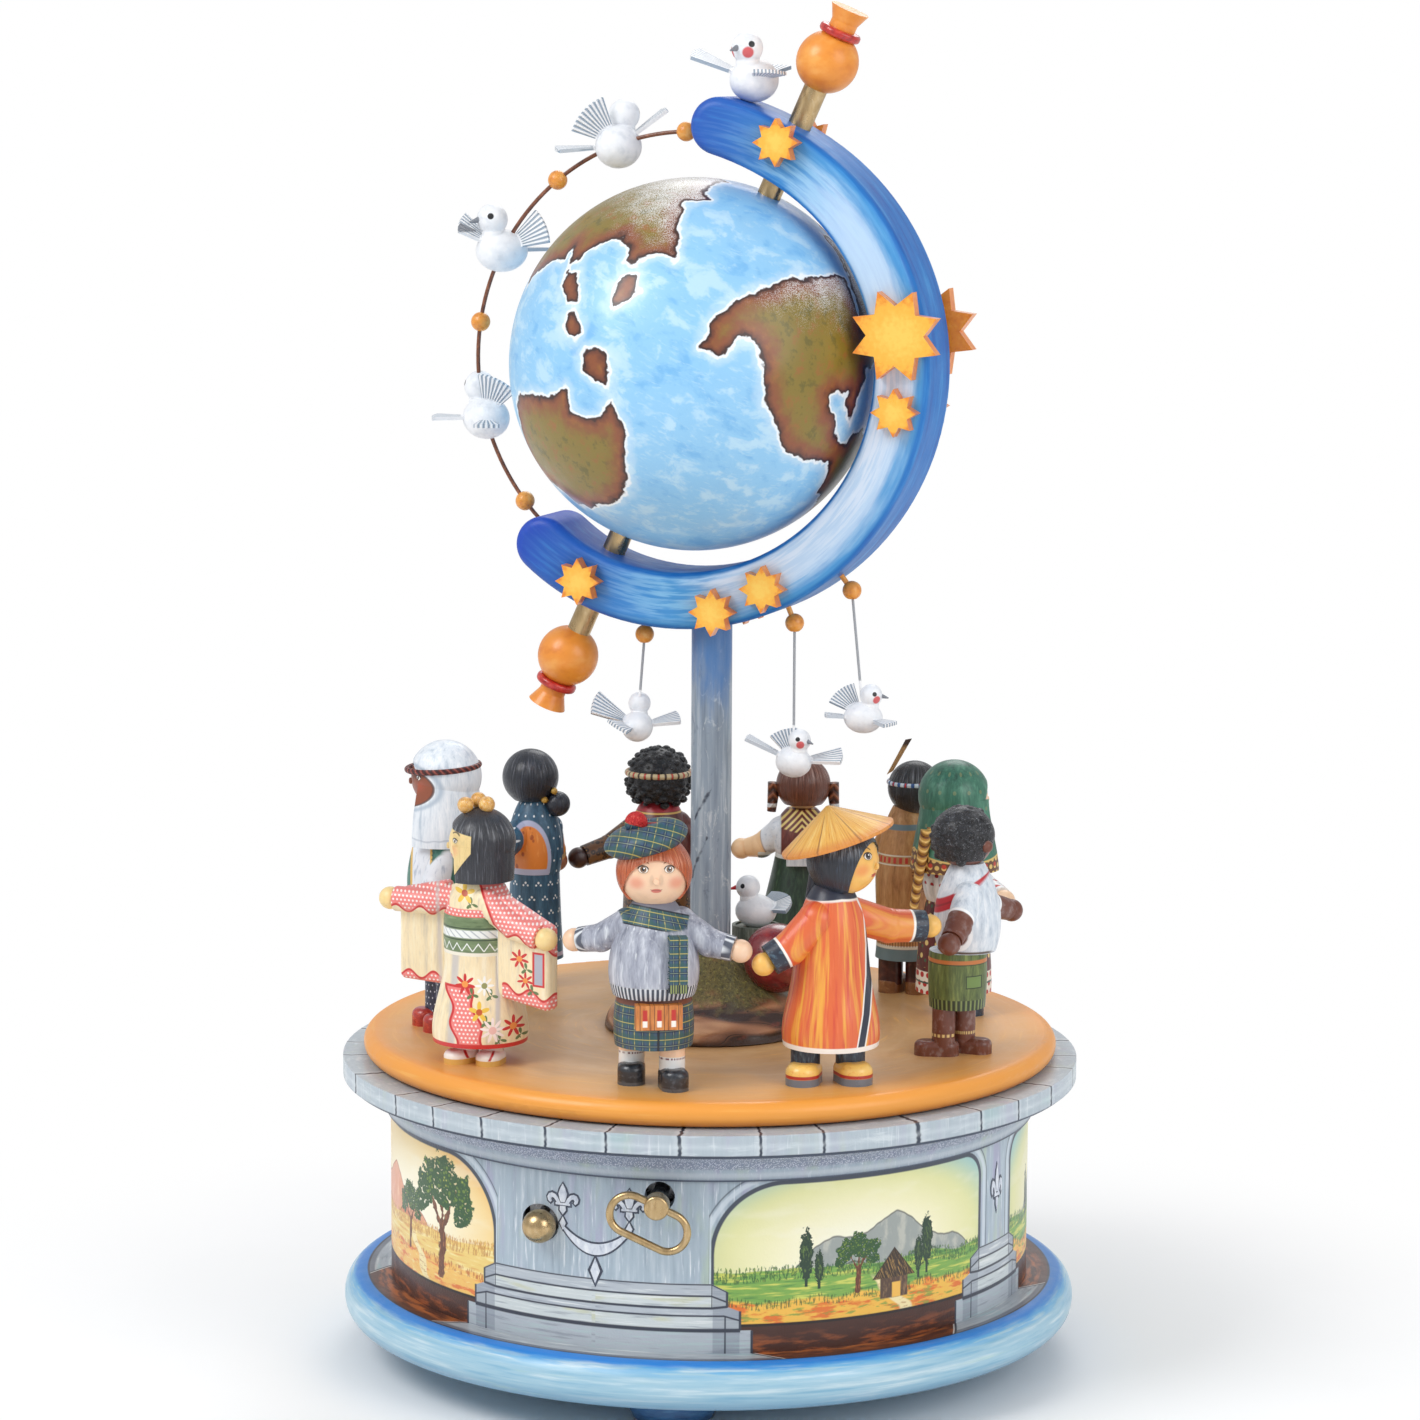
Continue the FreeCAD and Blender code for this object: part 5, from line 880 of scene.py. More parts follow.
def star_centres():
    """Middle and radius of each star on the bow; the large one has a place on either face."""
    large, small = 15.5, 7.9
    places = ((9.0, 78.3, large), (8.6, 80.6, large), (64.3, 82.5, small), (-9.5, 78.3, small),
              (-114.6, 80.6, small), (-80.1, 82.9, small), (-66.4, 79.8, small))
    return [(bow_point(distance, angle), radius) for angle, distance, radius in places]


def shown(*places):
    """Places on the near side of the globe, as longitude and latitude."""
    result = []
    for right, rise in places:
        near = math.sqrt(max(globe_radius ** 2 - right ** 2 - rise ** 2, 0.0))
        point = Matrix.Rotation(-axis_tilt * degree, 3, "Y") @ seen(right, rise, near)
        longitude = math.atan2(point.x, -point.y) / degree - view_angle
        result.append((longitude, math.asin(point.z / point.length) / degree))
    return tuple(result)


# Coasts of the side that faces the camera, as millimetres to the right of and above the globe's
# middle, and of the far side as longitude east of the middle and latitude, round each land
asia_coast = shown(
    (-3.5, 55.5), (-5.5, 49.5), (-5.5, 42.5), (-6.5, 37.5), (-10, 39), (-15.5, 38), (-20, 35.5),
    (-23.5, 36), (-22, 40.5), (-23.5, 44), (-29.5, 42.5), (-35, 39.5), (-38, 36.5), (-40.5, 35),
    (-39.5, 41), (-43, 36.5), (-49.5, 34), (-54, 29.5), (-56, 26.5))
west_coast = shown(
    (2, 10), (7.5, 7.5), (11.5, 10), (15.5, 13.5), (20, 12.5), (22, 8.5), (22.5, 0.5), (23, -7.5),
    (26.5, -15.5), (30.5, -25), (37.5, -28), (44, -29.5), (43.5, -34.5), (41.5, -40), (41, -45),
    (37.5, -48.5))
gulf_coast = shown(
    (57, -24), (55, -20), (52.5, -21), (50.5, -24), (47.5, -24), (46, -18.5), (45.5, -14.5),
    (43.5, -10.5), (44, -7), (47, -5.5), (50.5, -6), (49.5, -10.5), (50.5, -14.5), (51.5, -16.5),
    (53.5, -9), (56.5, 0.5))
snow_coast = shown(
    (54.5, 14), (52.5, 22), (49, 30.5), (46, 31.5), (40, 31), (33.5, 31.5), (26.5, 29.5), (21, 27),
    (13, 25), (8.5, 22), (6, 17))
lands = {
    "eurasia_africa": asia_coast + (
        (-97, 8), (-98, 15), (-101, 17), (-104, 22), (-108, 21), (-115, 15), (-118, 8), (-122, 17),
        (-126, 22), (-129, 25), (-138, 26), (-144, 30), (-147, 30), (-144, 25), (-139, 25), (-135, 22),
        (-140, 17), (-150, 13), (-156, 21), (-160, 28), (-158, 21), (-152, 11), (-144, 12), (-147, 5),
        (-155, -3), (-154, -15), (-160, -20), (-163, -29), (-176, -34.5), (-180, -26), (-183, -17),
        (-182, -8), (-186, -1), (-186, 4), (-199, 5), (-204, 5), (-212, 14), (-212, 21), (-205, 30),
        (-201, 35.5), (-192, 37), (-185, 37), (-184, 34), (-163, 31), (-160, 36), (-168, 40),
        (-161, 42), (-154, 41.5), (-164, 46.5), (-171, 40.5), (-172, 37), (-176, 42), (-182, 45.5),
        (-177, 40.5), (-179, 38), (-187, 44), (-195, 39), (-201, 36), (-205, 36), (-204, 43),
        (-196, 44), (-197, 48), (-193, 51), (-187, 54), (-187, 57), (-183, 54), (-175, 55),
        (-173, 60), (-169, 65), (-178, 61), (-182, 55.5), (-190, 62), (-181, 68), (-170, 71),
        (-155, 67), (-151, 68), (-135, 69), (-127, 73), (-109, 75), (-91, 77), (-82, 74), (-66, 70),
        (-45, 64)),
    "americas": west_coast + (
        (95, -50), (100, -54), (104, -46), (114, -35), (124, -22), (128, -10), (118, 1),
        (103, 9), (92, 8)) + gulf_coast + (
        (86, 31), (94, 40), (104, 46), (110, 53), (101, 60), (90, 57), (84, 61), (88, 66), (72, 70),
        ) + snow_coast,
    "greenland": shown((46, 40.5), (50.5, 38.5), (53.0, 32.0)) + (
        (94, 71), (112, 74), (130, 82), (150, 80), (145, 72), (128, 62), (112, 60), (98, 56))
        + shown((58, 17), (55.5, 17), (51.5, 27.5)),
    "australia": shown(
        (-59, -13), (-57.5, -9.5), (-52.5, -8), (-48.5, -8.5), (-44.5, -6), (-41.5, -5),
        (-40.5, -12.5), (-37, -14), (-32.5, -14.5), (-29.5, -13), (-28.5, -9.5), (-26.5, -7.5),
        (-25.5, -11.5), (-23.5, -15), (-22.5, -20), (-21.5, -33.5), (-22, -39), (-24.5, -41.5),
        (-29, -43.5), (-34.5, -46), (-38.5, -45.5), (-44, -41), (-49.5, -37.5), (-54, -31),
        (-57.5, -22)),
    "philippines": shown((-41.5, 33), (-39, 32), (-38, 27.5), (-39, 23.5), (-41.5, 23),
                         (-43.5, 25.5), (-43, 29.5)),
    "borneo": shown((-40, 20.5), (-38, 19), (-37, 13.5), (-39, 11), (-41.5, 11.5), (-42.5, 15.5),
                    (-41.5, 19.5)),
    "japan": shown((-19, 32), (-19, 27.5), (-22, 24.5), (-26.5, 22), (-27.5, 23.5), (-26.5, 27.5),
                   (-23.5, 31)),
    "new_guinea": shown((-35, 8.5), (-31.5, 8), (-28.5, 5.5), (-27.5, 2.5), (-28.5, -3.5),
                        (-31, -2.5), (-36, 2.5), (-36.5, 6)),
    "antarctica": (
        (-180, -70), (-150, -69), (-120, -67), (-90, -69), (-60, -72), (-30, -76), (0, -79),
        (30, -78), (60, -74), (80, -72), (92, -66), (110, -74), (140, -77), (165, -72), (180, -70),
        (180, -90), (-180, -90)),
    "madagascar": ((-151, -17), (-146, -12), (-145, -16), (-148, -25), (-151, -24)),
    "britain": ((-200, 50), (-194, 51.5), (-197, 55), (-198, 58.5), (-201, 57), (-199, 53)),
    "iceland": ((-219, 65), (-213, 66.5), (-209, 65), (-214, 63.3)),
    "cuba": ((84, 18), (90, 19), (95, 16), (89, 16.5)),
}


def coast_distance(longitude, latitude):
    """Distance from the nearest coast in degrees of arc, above 0 on land."""
    inside = np.zeros(len(longitude), bool)
    nearest = np.full(len(longitude), 999.0)
    for outline in lands.values():
        points = np.array(outline, float)
        middle = points[:, 0].mean()
        turned = (longitude - middle + 180) % 360 - 180 + middle
        squeeze = np.cos(np.radians(latitude))
        held = np.zeros(len(longitude), bool)
        for first, second in zip(points, np.roll(points, -1, axis=0)):
            crosses = (first[1] > latitude) != (second[1] > latitude)
            rise = second[1] - first[1]
            rise = rise if abs(rise) > 1e-9 else 1e-9
            meet = first[0] + (latitude - first[1]) / rise * (second[0] - first[0])
            held ^= crosses & (turned < meet)
            along = (second[0] - first[0]) * squeeze
            span = along ** 2 + (second[1] - first[1]) ** 2 + 1e-12
            off_x = (turned - first[0]) * squeeze
            off_y = latitude - first[1]
            share = np.clip((off_x * along + off_y * (second[1] - first[1])) / span, 0, 1)
            gap = np.hypot(off_x - share * along, off_y - share * (second[1] - first[1]))
            nearest = np.minimum(nearest, gap)
        inside |= held
    return np.where(inside, nearest, -nearest)


def globe_material():
    paint = Paint("painted_globe", globe_centre, 0.0, axis_tilt)
    attribute = paint.add("ShaderNodeAttribute", attribute_name="coast")
    coast = Value(paint, attribute.outputs["Fac"])
    coast = coast + (paint.noise(6.0, 2, None, 0.5) - 0.5) * 3.0 + (paint.noise(1.4, 2) - 0.5) * 0.5
    height = paint.z / globe_radius
    paint.start(rgb(146, 202, 240))
    patches = paint.noise((11.0, 11.0, 7.0), 4, None, 0.6, 0.3)
    strokes = paint.noise((5.0, 5.0, 1.4), 4, None, 0.6, 0.5)
    paint.lay(rgb(192, 226, 246), paint.step(patches, 0.5, 0.75), 0.85)
    paint.lay(rgb(112, 180, 232), paint.step(patches, 0.42, 0.14), 0.75)
    paint.lay(rgb(182, 220, 244), paint.step(strokes, 0.58, 0.85), 0.5)
    paint.lay(rgb(216, 236, 248), paint.step(coast, -4.2, -1.0), 0.5)
    paint.lay(rgb(246, 250, 252), paint.step(coast, -1.4, -0.7), 0.9)
    land = paint.step(coast, -0.2, 0.2)
    ground = paint.noise(5.0, 5, None, 0.65)
    paint.lay(rgb(140, 78, 44), land)
    inland = paint.step(coast + (ground - 0.5) * 5.0, 1.6, 8.0)
    paint.lay(rgb(134, 118, 38), land * inland, 0.9)
    paint.lay(rgb(164, 92, 46), land * paint.step(ground, 0.54, 0.85) * 0.6)
    paint.lay(rgb(86, 84, 30), land * inland * paint.step(ground, 0.44, 0.25), 0.6)
    paint.lay(rgb(88, 46, 34), land * paint.step(coast, 2.6, 0.5), 0.8)
    paint.lay(rgb(50, 28, 24), paint.line(paint.size(coast - 0.3), 0.8, 0.3), 0.9)
    north = paint.step(height + (paint.noise(6.0, 3) - 0.5) * 0.16, 0.52, 0.86)
    flakes = paint.noise(0.34, 1, None, 0.5)
    paint.lay(rgb(238, 238, 236), land * paint.step(coast, 0.6, 1.6) * north
              * paint.step(flakes + north * 0.3, 0.64, 0.74), 0.85)
    paint.lay(rgb(238, 240, 242), land * paint.step(height, -0.8, -0.9))
    return paint.done(0.4, 0.3, land * 0.4 + ground * 0.2, 0.12)


def build_globe():
    """Fine sphere with the distance to the coast on its points, in place of both halves."""
    rings, sectors = 220, 440
    points = []
    tilt = Matrix.Rotation(axis_tilt * degree, 4, "Y")
    longitudes, latitudes = [], []
    for ring in range(rings + 1):
        latitude = -90 + 180 * ring / rings
        for sector in range(sectors):
            turn = 360 * sector / sectors
            longitudes.append(turn)
            latitudes.append(latitude)
            level = globe_radius * math.cos(latitude * degree)
            local = Vector((level * math.sin(turn * degree), -level * math.cos(turn * degree),
                            globe_radius * math.sin(latitude * degree)))
            points.append(tilt @ local + Vector(globe_centre))
    faces = []
    for ring in range(rings):
        for sector in range(sectors):
            after = (sector + 1) % sectors
            faces.append((ring * sectors + sector, ring * sectors + after,
                          (ring + 1) * sectors + after, (ring + 1) * sectors + sector))
    mesh = bpy.data.meshes.new("painted_globe_skin")
    mesh.from_pydata([[value * mm for value in point] for point in points], [], faces)
    mesh.polygons.foreach_set("use_smooth", [True] * len(mesh.polygons))
    piece = piece_from("painted_globe_skin", mesh, globe_material())
    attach(piece, "globe")
    longitude = (np.array(longitudes) - view_angle + 180) % 360 - 180
    distances_at = coast_distance(longitude, np.array(latitudes))
    attribute = piece.data.attributes.new("coast", "FLOAT", "POINT")
    attribute.data.foreach_set("value", distances_at.astype(np.float32))
    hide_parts("globe_upper_half", "globe_lower_half")


# Doves

def pleats(paint, fans, heading):
    """Fine grooves that run out along each fan."""
    turn = Matrix.Rotation(-heading * degree, 3, "Z")
    grooves = []
    for tip, facing in fans:
        along = (turn @ seen(*tip)).normalized()
        normal = turn @ seen(*facing)
        normal = (normal - along * along.dot(normal)).normalized()
        parts = []
        for direction in (along, normal.cross(along), normal):
            node = paint.vector("DOT_PRODUCT", paint.place, tuple(direction))
            parts.append(Value(paint, node.outputs["Value"]))
        angle = paint.math("ARCTAN2", parts[1], parts[0]) / degree
        plate = paint.step(paint.size(parts[2]), 1.0, 0.75) * paint.step(parts[0], 2.0, 3.0)
        grooves.append(plate * paint.stripe(angle, 5.6, 2.2, 0.9))
    return paint.highest(*grooves)


def dove_material(name, centre, heading, scale, fans, blush=False, beak=None):
    """White dove with pleated fans of split wood, painted shade in the pleat grooves, black eyes and, for
    some, red cheeks.
    """
    small = scale < 0.75
    paint = Paint(name, centre, heading)
    beak = beak or rgb(126, 130, 138)
    head = (0, -3.6 * scale, 10.6 * scale)
    body = paint.lowest(paint.spot((0, 0, 0), (7.6 * scale, 9.8 * scale, 7.6 * scale)),
                        paint.spot(head, 5.5 * scale))
    fan = paint.step(body, 1.0, 1.08)
    paint.start(rgb(240, 242, 245))
    paint.tint(rgb(252, 252, 253), rgb(218, 222, 228), (3.4, 3.4, 3.4), 0.7)
    grooves = pleats(paint, fans, heading) * fan
    paint.lay(rgb(250, 250, 250), fan, 0.7)
    # Bluish grey in the pleat grooves is painted shade.
    paint.lay(rgb(128, 152, 174), grooves, 0.9)
    paint.lay(rgb(222, 206, 178), fan * paint.patches((1.0, 1.0, 1.0), 4, 0.7, 0.95), 0.3)

    def beside(out, ahead, rise):
        """Distance from a place on both sides of the head."""
        return paint.length(paint.size(paint.x) - out * scale, paint.y - head[1] + ahead * scale,
                            paint.z - head[2] - rise * scale)

    paint.lay(rgb(24, 24, 28), paint.step(beside(4.3, 2.6, 1.2), 1.2 * scale, 0.95 * scale))
    if blush:
        paint.lay(rgb(214, 56, 58), paint.step(beside(3.6, 3.6, -1.6), 2.3 * scale, 1.6 * scale), 0.9)
    paint.lay(beak, paint.step(paint.y - head[1], -5.2 * scale, -5.5 * scale)
              * paint.step(paint.z, 6.0 * scale, 7.0 * scale) * paint.step(paint.size(paint.x), 1.8, 1.5))
    if small:
        paint.lay(rgb(150, 154, 160), paint.step(paint.z, 17.0 * scale, 18.0 * scale)
                  * paint.step(paint.reach(), 7.0, 6.0) * fan, 0.9)
    return paint.done(0.46, 0.15, grooves * -1.6, 0.3)


def bow_point(radius, angle):
    """Point in the bow's middle plane, at an angle from its right."""
    return Vector((layout_centre[0] + radius * math.cos(angle * degree), 0.0,
                   layout_centre[2] + radius * math.sin(angle * degree)))


def paint_doves():
    perched = {
        "upper_bow": (bow_point(96.9, 77.0), -42, (((-20.5, 9.0, -3.0), (0.35, 0.9, 0.25)),
                      ((5.5, 3.0, 11.5), (0.0, 1.0, -0.15)), ((9.0, 4.5, -15.0), (0.0, 1.0, 0.1)))),
        "upper_ring": (bow_point(76.6, 110.0), 150, (((-11.5, 12.0, 6.0), (0.2, 0.1, 1.0)),
                       ((16.0, 12.5, -3.0), (-0.6, 0.75, 0.1)), ((-21.0, -1.0, 4.0), (0.0, 1.0, 0.1)))),
        "middle_ring": (bow_point(77.6, 152.0), -62, (((-14.0, 10.0, 4.0), (0.6, 0.6, 0.5)),
                        ((15.0, 9.0, 5.5), (-0.3, 0.3, 1.0)), ((13.0, 0.0, -15.0), (0.0, 1.0, 0.0)))),
        "lower_ring": (bow_point(77.2, -164.5), -140, (((4.5, 13.5, 9.0), (-0.3, -0.2, 1.0)),
                       ((-18.5, 0.0, -2.0), (0.05, 1.0, 0.05)), ((1.0, -1.5, 18.0), (0.0, 1.0, 0.0)))),
    }
    materials = {key: dove_material("dove_" + key, centre, view_angle + heading, 1.0, fans,
                                    key == "upper_bow")
                 for key, (centre, heading, fans) in perched.items()}
    keys = list(perched)
    centres = np.array([tuple(perched[key][0]) for key in keys])

    def nearest(points):
        gaps = np.linalg.norm(points[:, None, :] - centres[None, :, :], axis=2)
        return [keys[index] for index in gaps.argmin(axis=1)]

    wear_parts("perched_doves", materials, nearest)
    hanging = {
        "dove_left": (-100.0, (-2.4, -31.8), 165, (((-15.0, 9.0, 3.0), (0.5, 0.7, 0.7)),
                      ((14.5, 3.0, -2.0), (-0.1, 1.0, 0.3)), ((-7.0, 1.5, 11.0), (0.1, 1.0, 0.6)))),
        "dove_middle": (-66.5, (0.0, -47.3), 48, (((-16.0, 8.0, -3.0), (0.45, 0.9, 0.1)),
                        ((16.5, 2.5, 2.0), (-0.1, 1.0, 0.4)), ((-3.5, 9.5, -8.0), (0.0, 0.3, 1.0)))),
        "dove_right": (-52.2, (4.2, -43.0), 76, (((-8.0, 8.5, -5.0), (0.3, 0.2, 1.0)),
                       ((9.0, -1.0, 9.0), (0.0, 1.0, 0.1)), ((-13.0, 1.0, 1.0), (0.0, 1.0, 0.0)))),
    }
    for name, (angle, hang, heading, fans) in hanging.items():
        centre = bow_point(93.9, angle) + seen(hang[0], hang[1], 0)
        white = dove_material(name + "_paint", centre, view_angle + heading, 0.72, fans,
                              name != "dove_left")
        wear(white, name)
    fans = (((12.0, 3.0, 3.0), (-0.2, 1.0, 0.3)), ((9.0, 4.5, -8.0), (-0.2, 1.0, 0.2)))
    white = dove_material("mound_dove_paint", (10.8, 16.4, 149.5), view_angle - 88, 0.78, fans,
                          False, rgb(196, 40, 48))
    wear(white, "mound_dove")


# Dolls: place and ring of the figure, way it faces, head and garment heights as in the CAD

dolls = {
    "kilt_boy": dict(place=8.0, ring=91.0, facing=27.0, head_facing=24.0, head=(69.5, 11.3, 0.0),
                     layers=((13.0, 13.5, 30.0), (14.6, 30.0, 60.5)), shoe=7.0,
                     hands=((350.9, 92.0, 45.6), (25.5, 93.0, 44.5)), hair=1.0),
    "straw_hat_boy": dict(place=45.0, ring=91.0, facing=68.0, head_facing=85.0, head=(72.5, 11.0, 4.0),
                          layers=((15.9, 12.0, 64.5),), shoe=7.0,
                          hands=((30.1, 93.0, 40.0), (66.5, 98.0, 48.0)), hair=1.0),
    "barefoot_boy": dict(place=83.0, ring=92.0, facing=108.0, head_facing=145.0, head=(72.6, 9.7, 1.6),
                         layers=((9.8, 16.0, 35.0), (11.2, 35.0, 64.5)), shoe=5.0,
                         hands=((71.0, 100.0, 41.0), (100.6, 103.0, 43.5)), hair=1.0),
    "headscarf_girl": dict(place=124.4, ring=87.5, facing=122.0, head_facing=122.0, head=(76.0, 11.0, 0.0),
                           layers=((13.2, 8.0, 40.0), (11.2, 40.0, 67.0)), shoe=6.0,
                           hands=((105.4, 100.0, 45.0), (134.2, 91.0, 45.0)), hair=1.4),
    "feather_child": dict(place=148.3, ring=88.3, facing=169.0, head_facing=169.0, head=(73.4, 8.4, 3.2),
                          layers=((10.4, 13.0, 67.0),), shoe=6.0,
                          hands=((139.0, 91.0, 45.0), (161.0, 92.0, 45.0)), hair=1.1),
    "braids_girl": dict(place=178.5, ring=91.0, facing=199.0, head_facing=199.0, head=(69.4, 8.8, 0.5),
                        layers=((15.2, 10.0, 45.0), (10.6, 45.0, 61.0)), shoe=6.0,
                        hands=((166.0, 92.0, 45.0), (192.6, 92.0, 45.0)), hair=1.0),
    "curly_child": dict(place=211.5, ring=91.0, facing=206.0, head_facing=206.0, head=(70.6, 10.0, 0.0),
                        layers=((13.2, 20.0, 63.5),), shoe=5.5,
                        hands=((197.4, 92.0, 45.0), (230.6, 92.0, 43.5)), hair=1.2),
    "bun_girl": dict(place=243.0, ring=91.0, facing=240.0, head_facing=240.0, head=(74.8, 9.1, -1.8),
                     layers=((10.2, 10.0, 41.0), (9.8, 41.0, 68.0)), shoe=6.0,
                     hands=((235.4, 94.0, 43.0), (266.0, 92.0, 46.0)), hair=0.9),
    "headcloth_child": dict(place=293.5, ring=91.0, facing=300.0, head_facing=292.0, head=(86.5, 10.8, 0.0),
                            layers=((11.6, 19.0, 44.0), (12.2, 44.0, 77.5)), shoe=6.0,
                            hands=((270.8, 92.0, 46.0), (301.4, 98.0, 45.0)), hair=1.5),
    "kimono_girl": dict(place=324.6, ring=92.8, facing=304.0, head_facing=286.0, head=(72.6, 10.2, 0.0),
                        layers=((15.9, 6.5, 36.6), (12.1, 36.6, 49.5), (11.2, 49.5, 65.0)), shoe=4.5,
                        hands=((306.8, 112.0, 50.0), (344.0, 92.0, 44.4)), hair=1.1),
}


def doll_place(doll):
    return ring_point(doll["ring"], doll["place"], turntable_top)


def head_centre(doll):
    height, _, lean = doll["head"]
    return doll_place(doll) + seen(lean, 0, 0) + Vector((0, 0, height))


def local(points, origin, turn):
    """Points in the frame of a figure: X to its side, -Y to its front."""
    off = points - np.array(tuple(origin))
    cosine, sine = math.cos(turn * degree), math.sin(turn * degree)
    return np.stack([off[:, 0] * cosine + off[:, 1] * sine, off[:, 1] * cosine - off[:, 0] * sine,
                     off[:, 2]], axis=1)


def dress(name, materials, boxes=(), taper=()):
    """Material for each part of a body: hands, shoes, legs, garments and what lies in the boxes.

    A taper of radii and heights keeps a skirt apart from sleeves that hang beside it.
    """
    doll = dolls[name]
    skirt_reach = 13.0

    def choose(points):
        own = local(points, doll_place(doll), doll["facing"])
        height = own[:, 2]
        reach = np.hypot(own[:, 0], own[:, 1])
        chosen = np.full(len(points), "garment_0", dtype=object)
        for index, (radius, low, _) in enumerate(doll["layers"]):
            if index > 0:
                below = doll["layers"][index - 1][0]
                chosen[(height > low - 0.02) | (reach > below + 0.5)] = f"garment_{index}"
        last = f"garment_{len(doll['layers']) - 1}"
        chosen[(chosen == "garment_1") & (height < doll["layers"][0][2]) & (reach > skirt_reach)] = last
        if taper:
            radii, heights = zip(*taper)
            within = reach < np.interp(height, heights, radii) + 0.5
            chosen[within & (height < doll["layers"][0][2] - 0.02)] = "garment_0"
        hem = doll["layers"][0][1]
        chosen[height < hem - 0.02] = "legs"
        chosen[height < min(doll["shoe"] + 0.05, hem - 0.03)] = "shoes"
        for angle, radius, rise in doll["hands"]:
            hand = np.array(tuple(ring_point(radius, angle, turntable_top + rise)))
            chosen[np.linalg.norm(points - hand, axis=1) < hand_radius + 0.04] = "hands"
        for key, low, high in boxes:
            held = np.all((own > np.array(low)) & (own < np.array(high)), axis=1)
            chosen[held] = key
        return chosen

    wear_parts(name + "_body", materials, choose)


def crown(name, materials, tests=()):
    """Material for each part of a head: face, hair and what the tests pick out."""
    doll = dolls[name]
    radius = doll["head"][1]
    thickness = doll["hair"]

    def choose(points):
        own = local(points, head_centre(doll), doll["head_facing"])
        seen_from = local(points, head_centre(doll), view_angle)
        distance = np.linalg.norm(own, axis=1)
        chosen = np.full(len(points), "hair", dtype=object)
        shell = np.linalg.norm(own - np.array([0, 0.5 * thickness, 0.3 * thickness]), axis=1)
        for key, test in tests:
            held = test(own, seen_from) & (shell > radius + thickness + 0.03)
            chosen[held] = key
        nose = ((np.abs(own[:, 0]) < 1.3) & (np.abs(own[:, 2] + 1.2) < 1.3)
                & (own[:, 1] < -0.8 * radius) & (distance < radius + 1.6))
        chosen[(distance < radius + 0.03) | nose] = "face"
        return chosen

    wear_parts(name + "_head", materials, choose)


def shade_of(colour, factor):
    """Lighter above 1, darker below 1."""
    lift = max(factor - 1, 0)
    return (*[value * min(factor, 1) + (1 - value) * lift for value in colour[:3]], 1.0)


def body_paint(name, title, turn=None):
    """Paint in the coordinates of a figure's body, turned with it or by an angle of its own."""
    doll = dolls[name]
    return Paint(f"{name}_{title}", doll_place(doll), doll["facing"] if turn is None else turn)


def head_paint(name, title, turn=None):
    """Paint in the coordinates of a figure's head."""
    doll = dolls[name]
    return Paint(f"{name}_{title}", head_centre(doll), doll["head_facing"] if turn is None else turn)


def bare_skin(name, tone, title="skin"):
    """Skin of a figure's body, still open for more layers."""
    paint = body_paint(name, title).start(tone)
    return paint.tint(shade_of(tone, 1.2), shade_of(tone, 0.75), (2.6, 2.6, 3.6), 0.4)


def skin(name, tone, title="skin"):
    return bare_skin(name, tone, title).done(0.42, 0.2, None, 0.06, 0.5, 0.0, 0.05)


def lay_face(paint, name, tone, iris, brow, lips, blush, eye=(0.37, 0.24), eye_size=(1.5, 1.1), mask=1.0):
    """Eyes with lids and brows, lips, cheeks and painted shade round the eyes, beside the nose and under
    the mouth, laid on the front of a head.
    """
    radius = dolls[name]["head"][1]
    front = paint.step(paint.y, 0.5, -0.5) * mask
    across = paint.size(paint.x)

    def oval(u, v, half_wide, half_high):
        return blob(paint, across, paint.z, (u, v), (half_wide, half_high))

    eye_u, eye_v = eye[0] * radius, eye[1] * radius
    cheek = oval(0.56 * radius, -0.16 * radius, 0.26 * radius, 0.22 * radius)
    paint.lay(blush, front * paint.step(cheek, 1.25, 0.2), 0.6)
    # Darker round the eyes: painted shade.
    paint.lay(shade_of(tone, 0.68), front * paint.step(oval(eye_u, eye_v + 0.3, 2.6, 2.1), 1.2, 0.7), 0.3)
    # Darker beside the nose: painted shade.
    nose_side = oval(1.5, -0.6, 0.9, 2.2)
    paint.lay(shade_of(tone, 0.6), front * paint.step(nose_side, 1.1, 0.5), 0.35)
    white = oval(eye_u, eye_v, *eye_size)
    paint.lay(rgb(238, 232, 222), front * paint.step(white, 1.06, 0.92))
    look = oval(eye_u, eye_v + 0.05, 0.98, 1.05)
    paint.lay(iris, front * paint.step(look, 1.08, 0.9) * paint.step(white, 1.02, 0.96))
    paint.lay(shade_of(iris, 1.35), front * paint.step(oval(eye_u, eye_v - 0.4, 0.6, 0.4), 1.1, 0.5), 0.6)
    paint.lay(rgb(18, 14, 14), front * paint.step(oval(eye_u, eye_v + 0.05, 0.5, 0.55), 1.1, 0.85))
    glint_u = paint.lowest(paint.size(paint.x - eye_u - 0.28), paint.size(paint.x + eye_u - 0.28))
    glint_v = paint.z - eye_v - 0.4
    paint.lay(rgb(255, 255, 255), front * paint.step(paint.length(glint_u, glint_v), 0.32, 0.2))
    lid = paint.line(paint.size(white - 1.06), 0.3, 0.07) * paint.step(paint.z - eye_v, -0.1, 0.25)
    paint.lay(rgb(40, 24, 20), front * lid)
    low_lid = paint.line(paint.size(white - 1.08), 0.14, 0.06) * paint.step(paint.z - eye_v, 0.2, -0.2)
    paint.lay(shade_of(brow, 0.9), front * low_lid, 0.7)
    arch = oval(eye_u + 0.1, eye_v - 0.4, 2.5, 3.2)
    brow_mask = paint.line(paint.size(arch - 1.0), 0.15, 0.06) * paint.step(paint.z - eye_v, 1.5, 2.1)
    paint.lay(brow, front * brow_mask, 0.9)
    mouth = oval(0.0, -0.37 * radius, 1.75, 0.75)
    paint.lay(lips, front * paint.step(mouth, 1.1, 0.8))
    smile = paint.z + 0.36 * radius - across * across * 0.09
    seam = paint.line(paint.size(smile), 0.22, 0.08) * paint.step(across, 2.1, 1.7)
    paint.lay(shade_of(lips, 0.45), front * seam, 0.9)
    # Darker under the mouth: painted shade.
    chin = oval(0.0, -0.66 * radius, 1.8, 0.3)
    paint.lay(shade_of(tone, 0.7), front * paint.step(chin, 1.3, 0.4), 0.3)


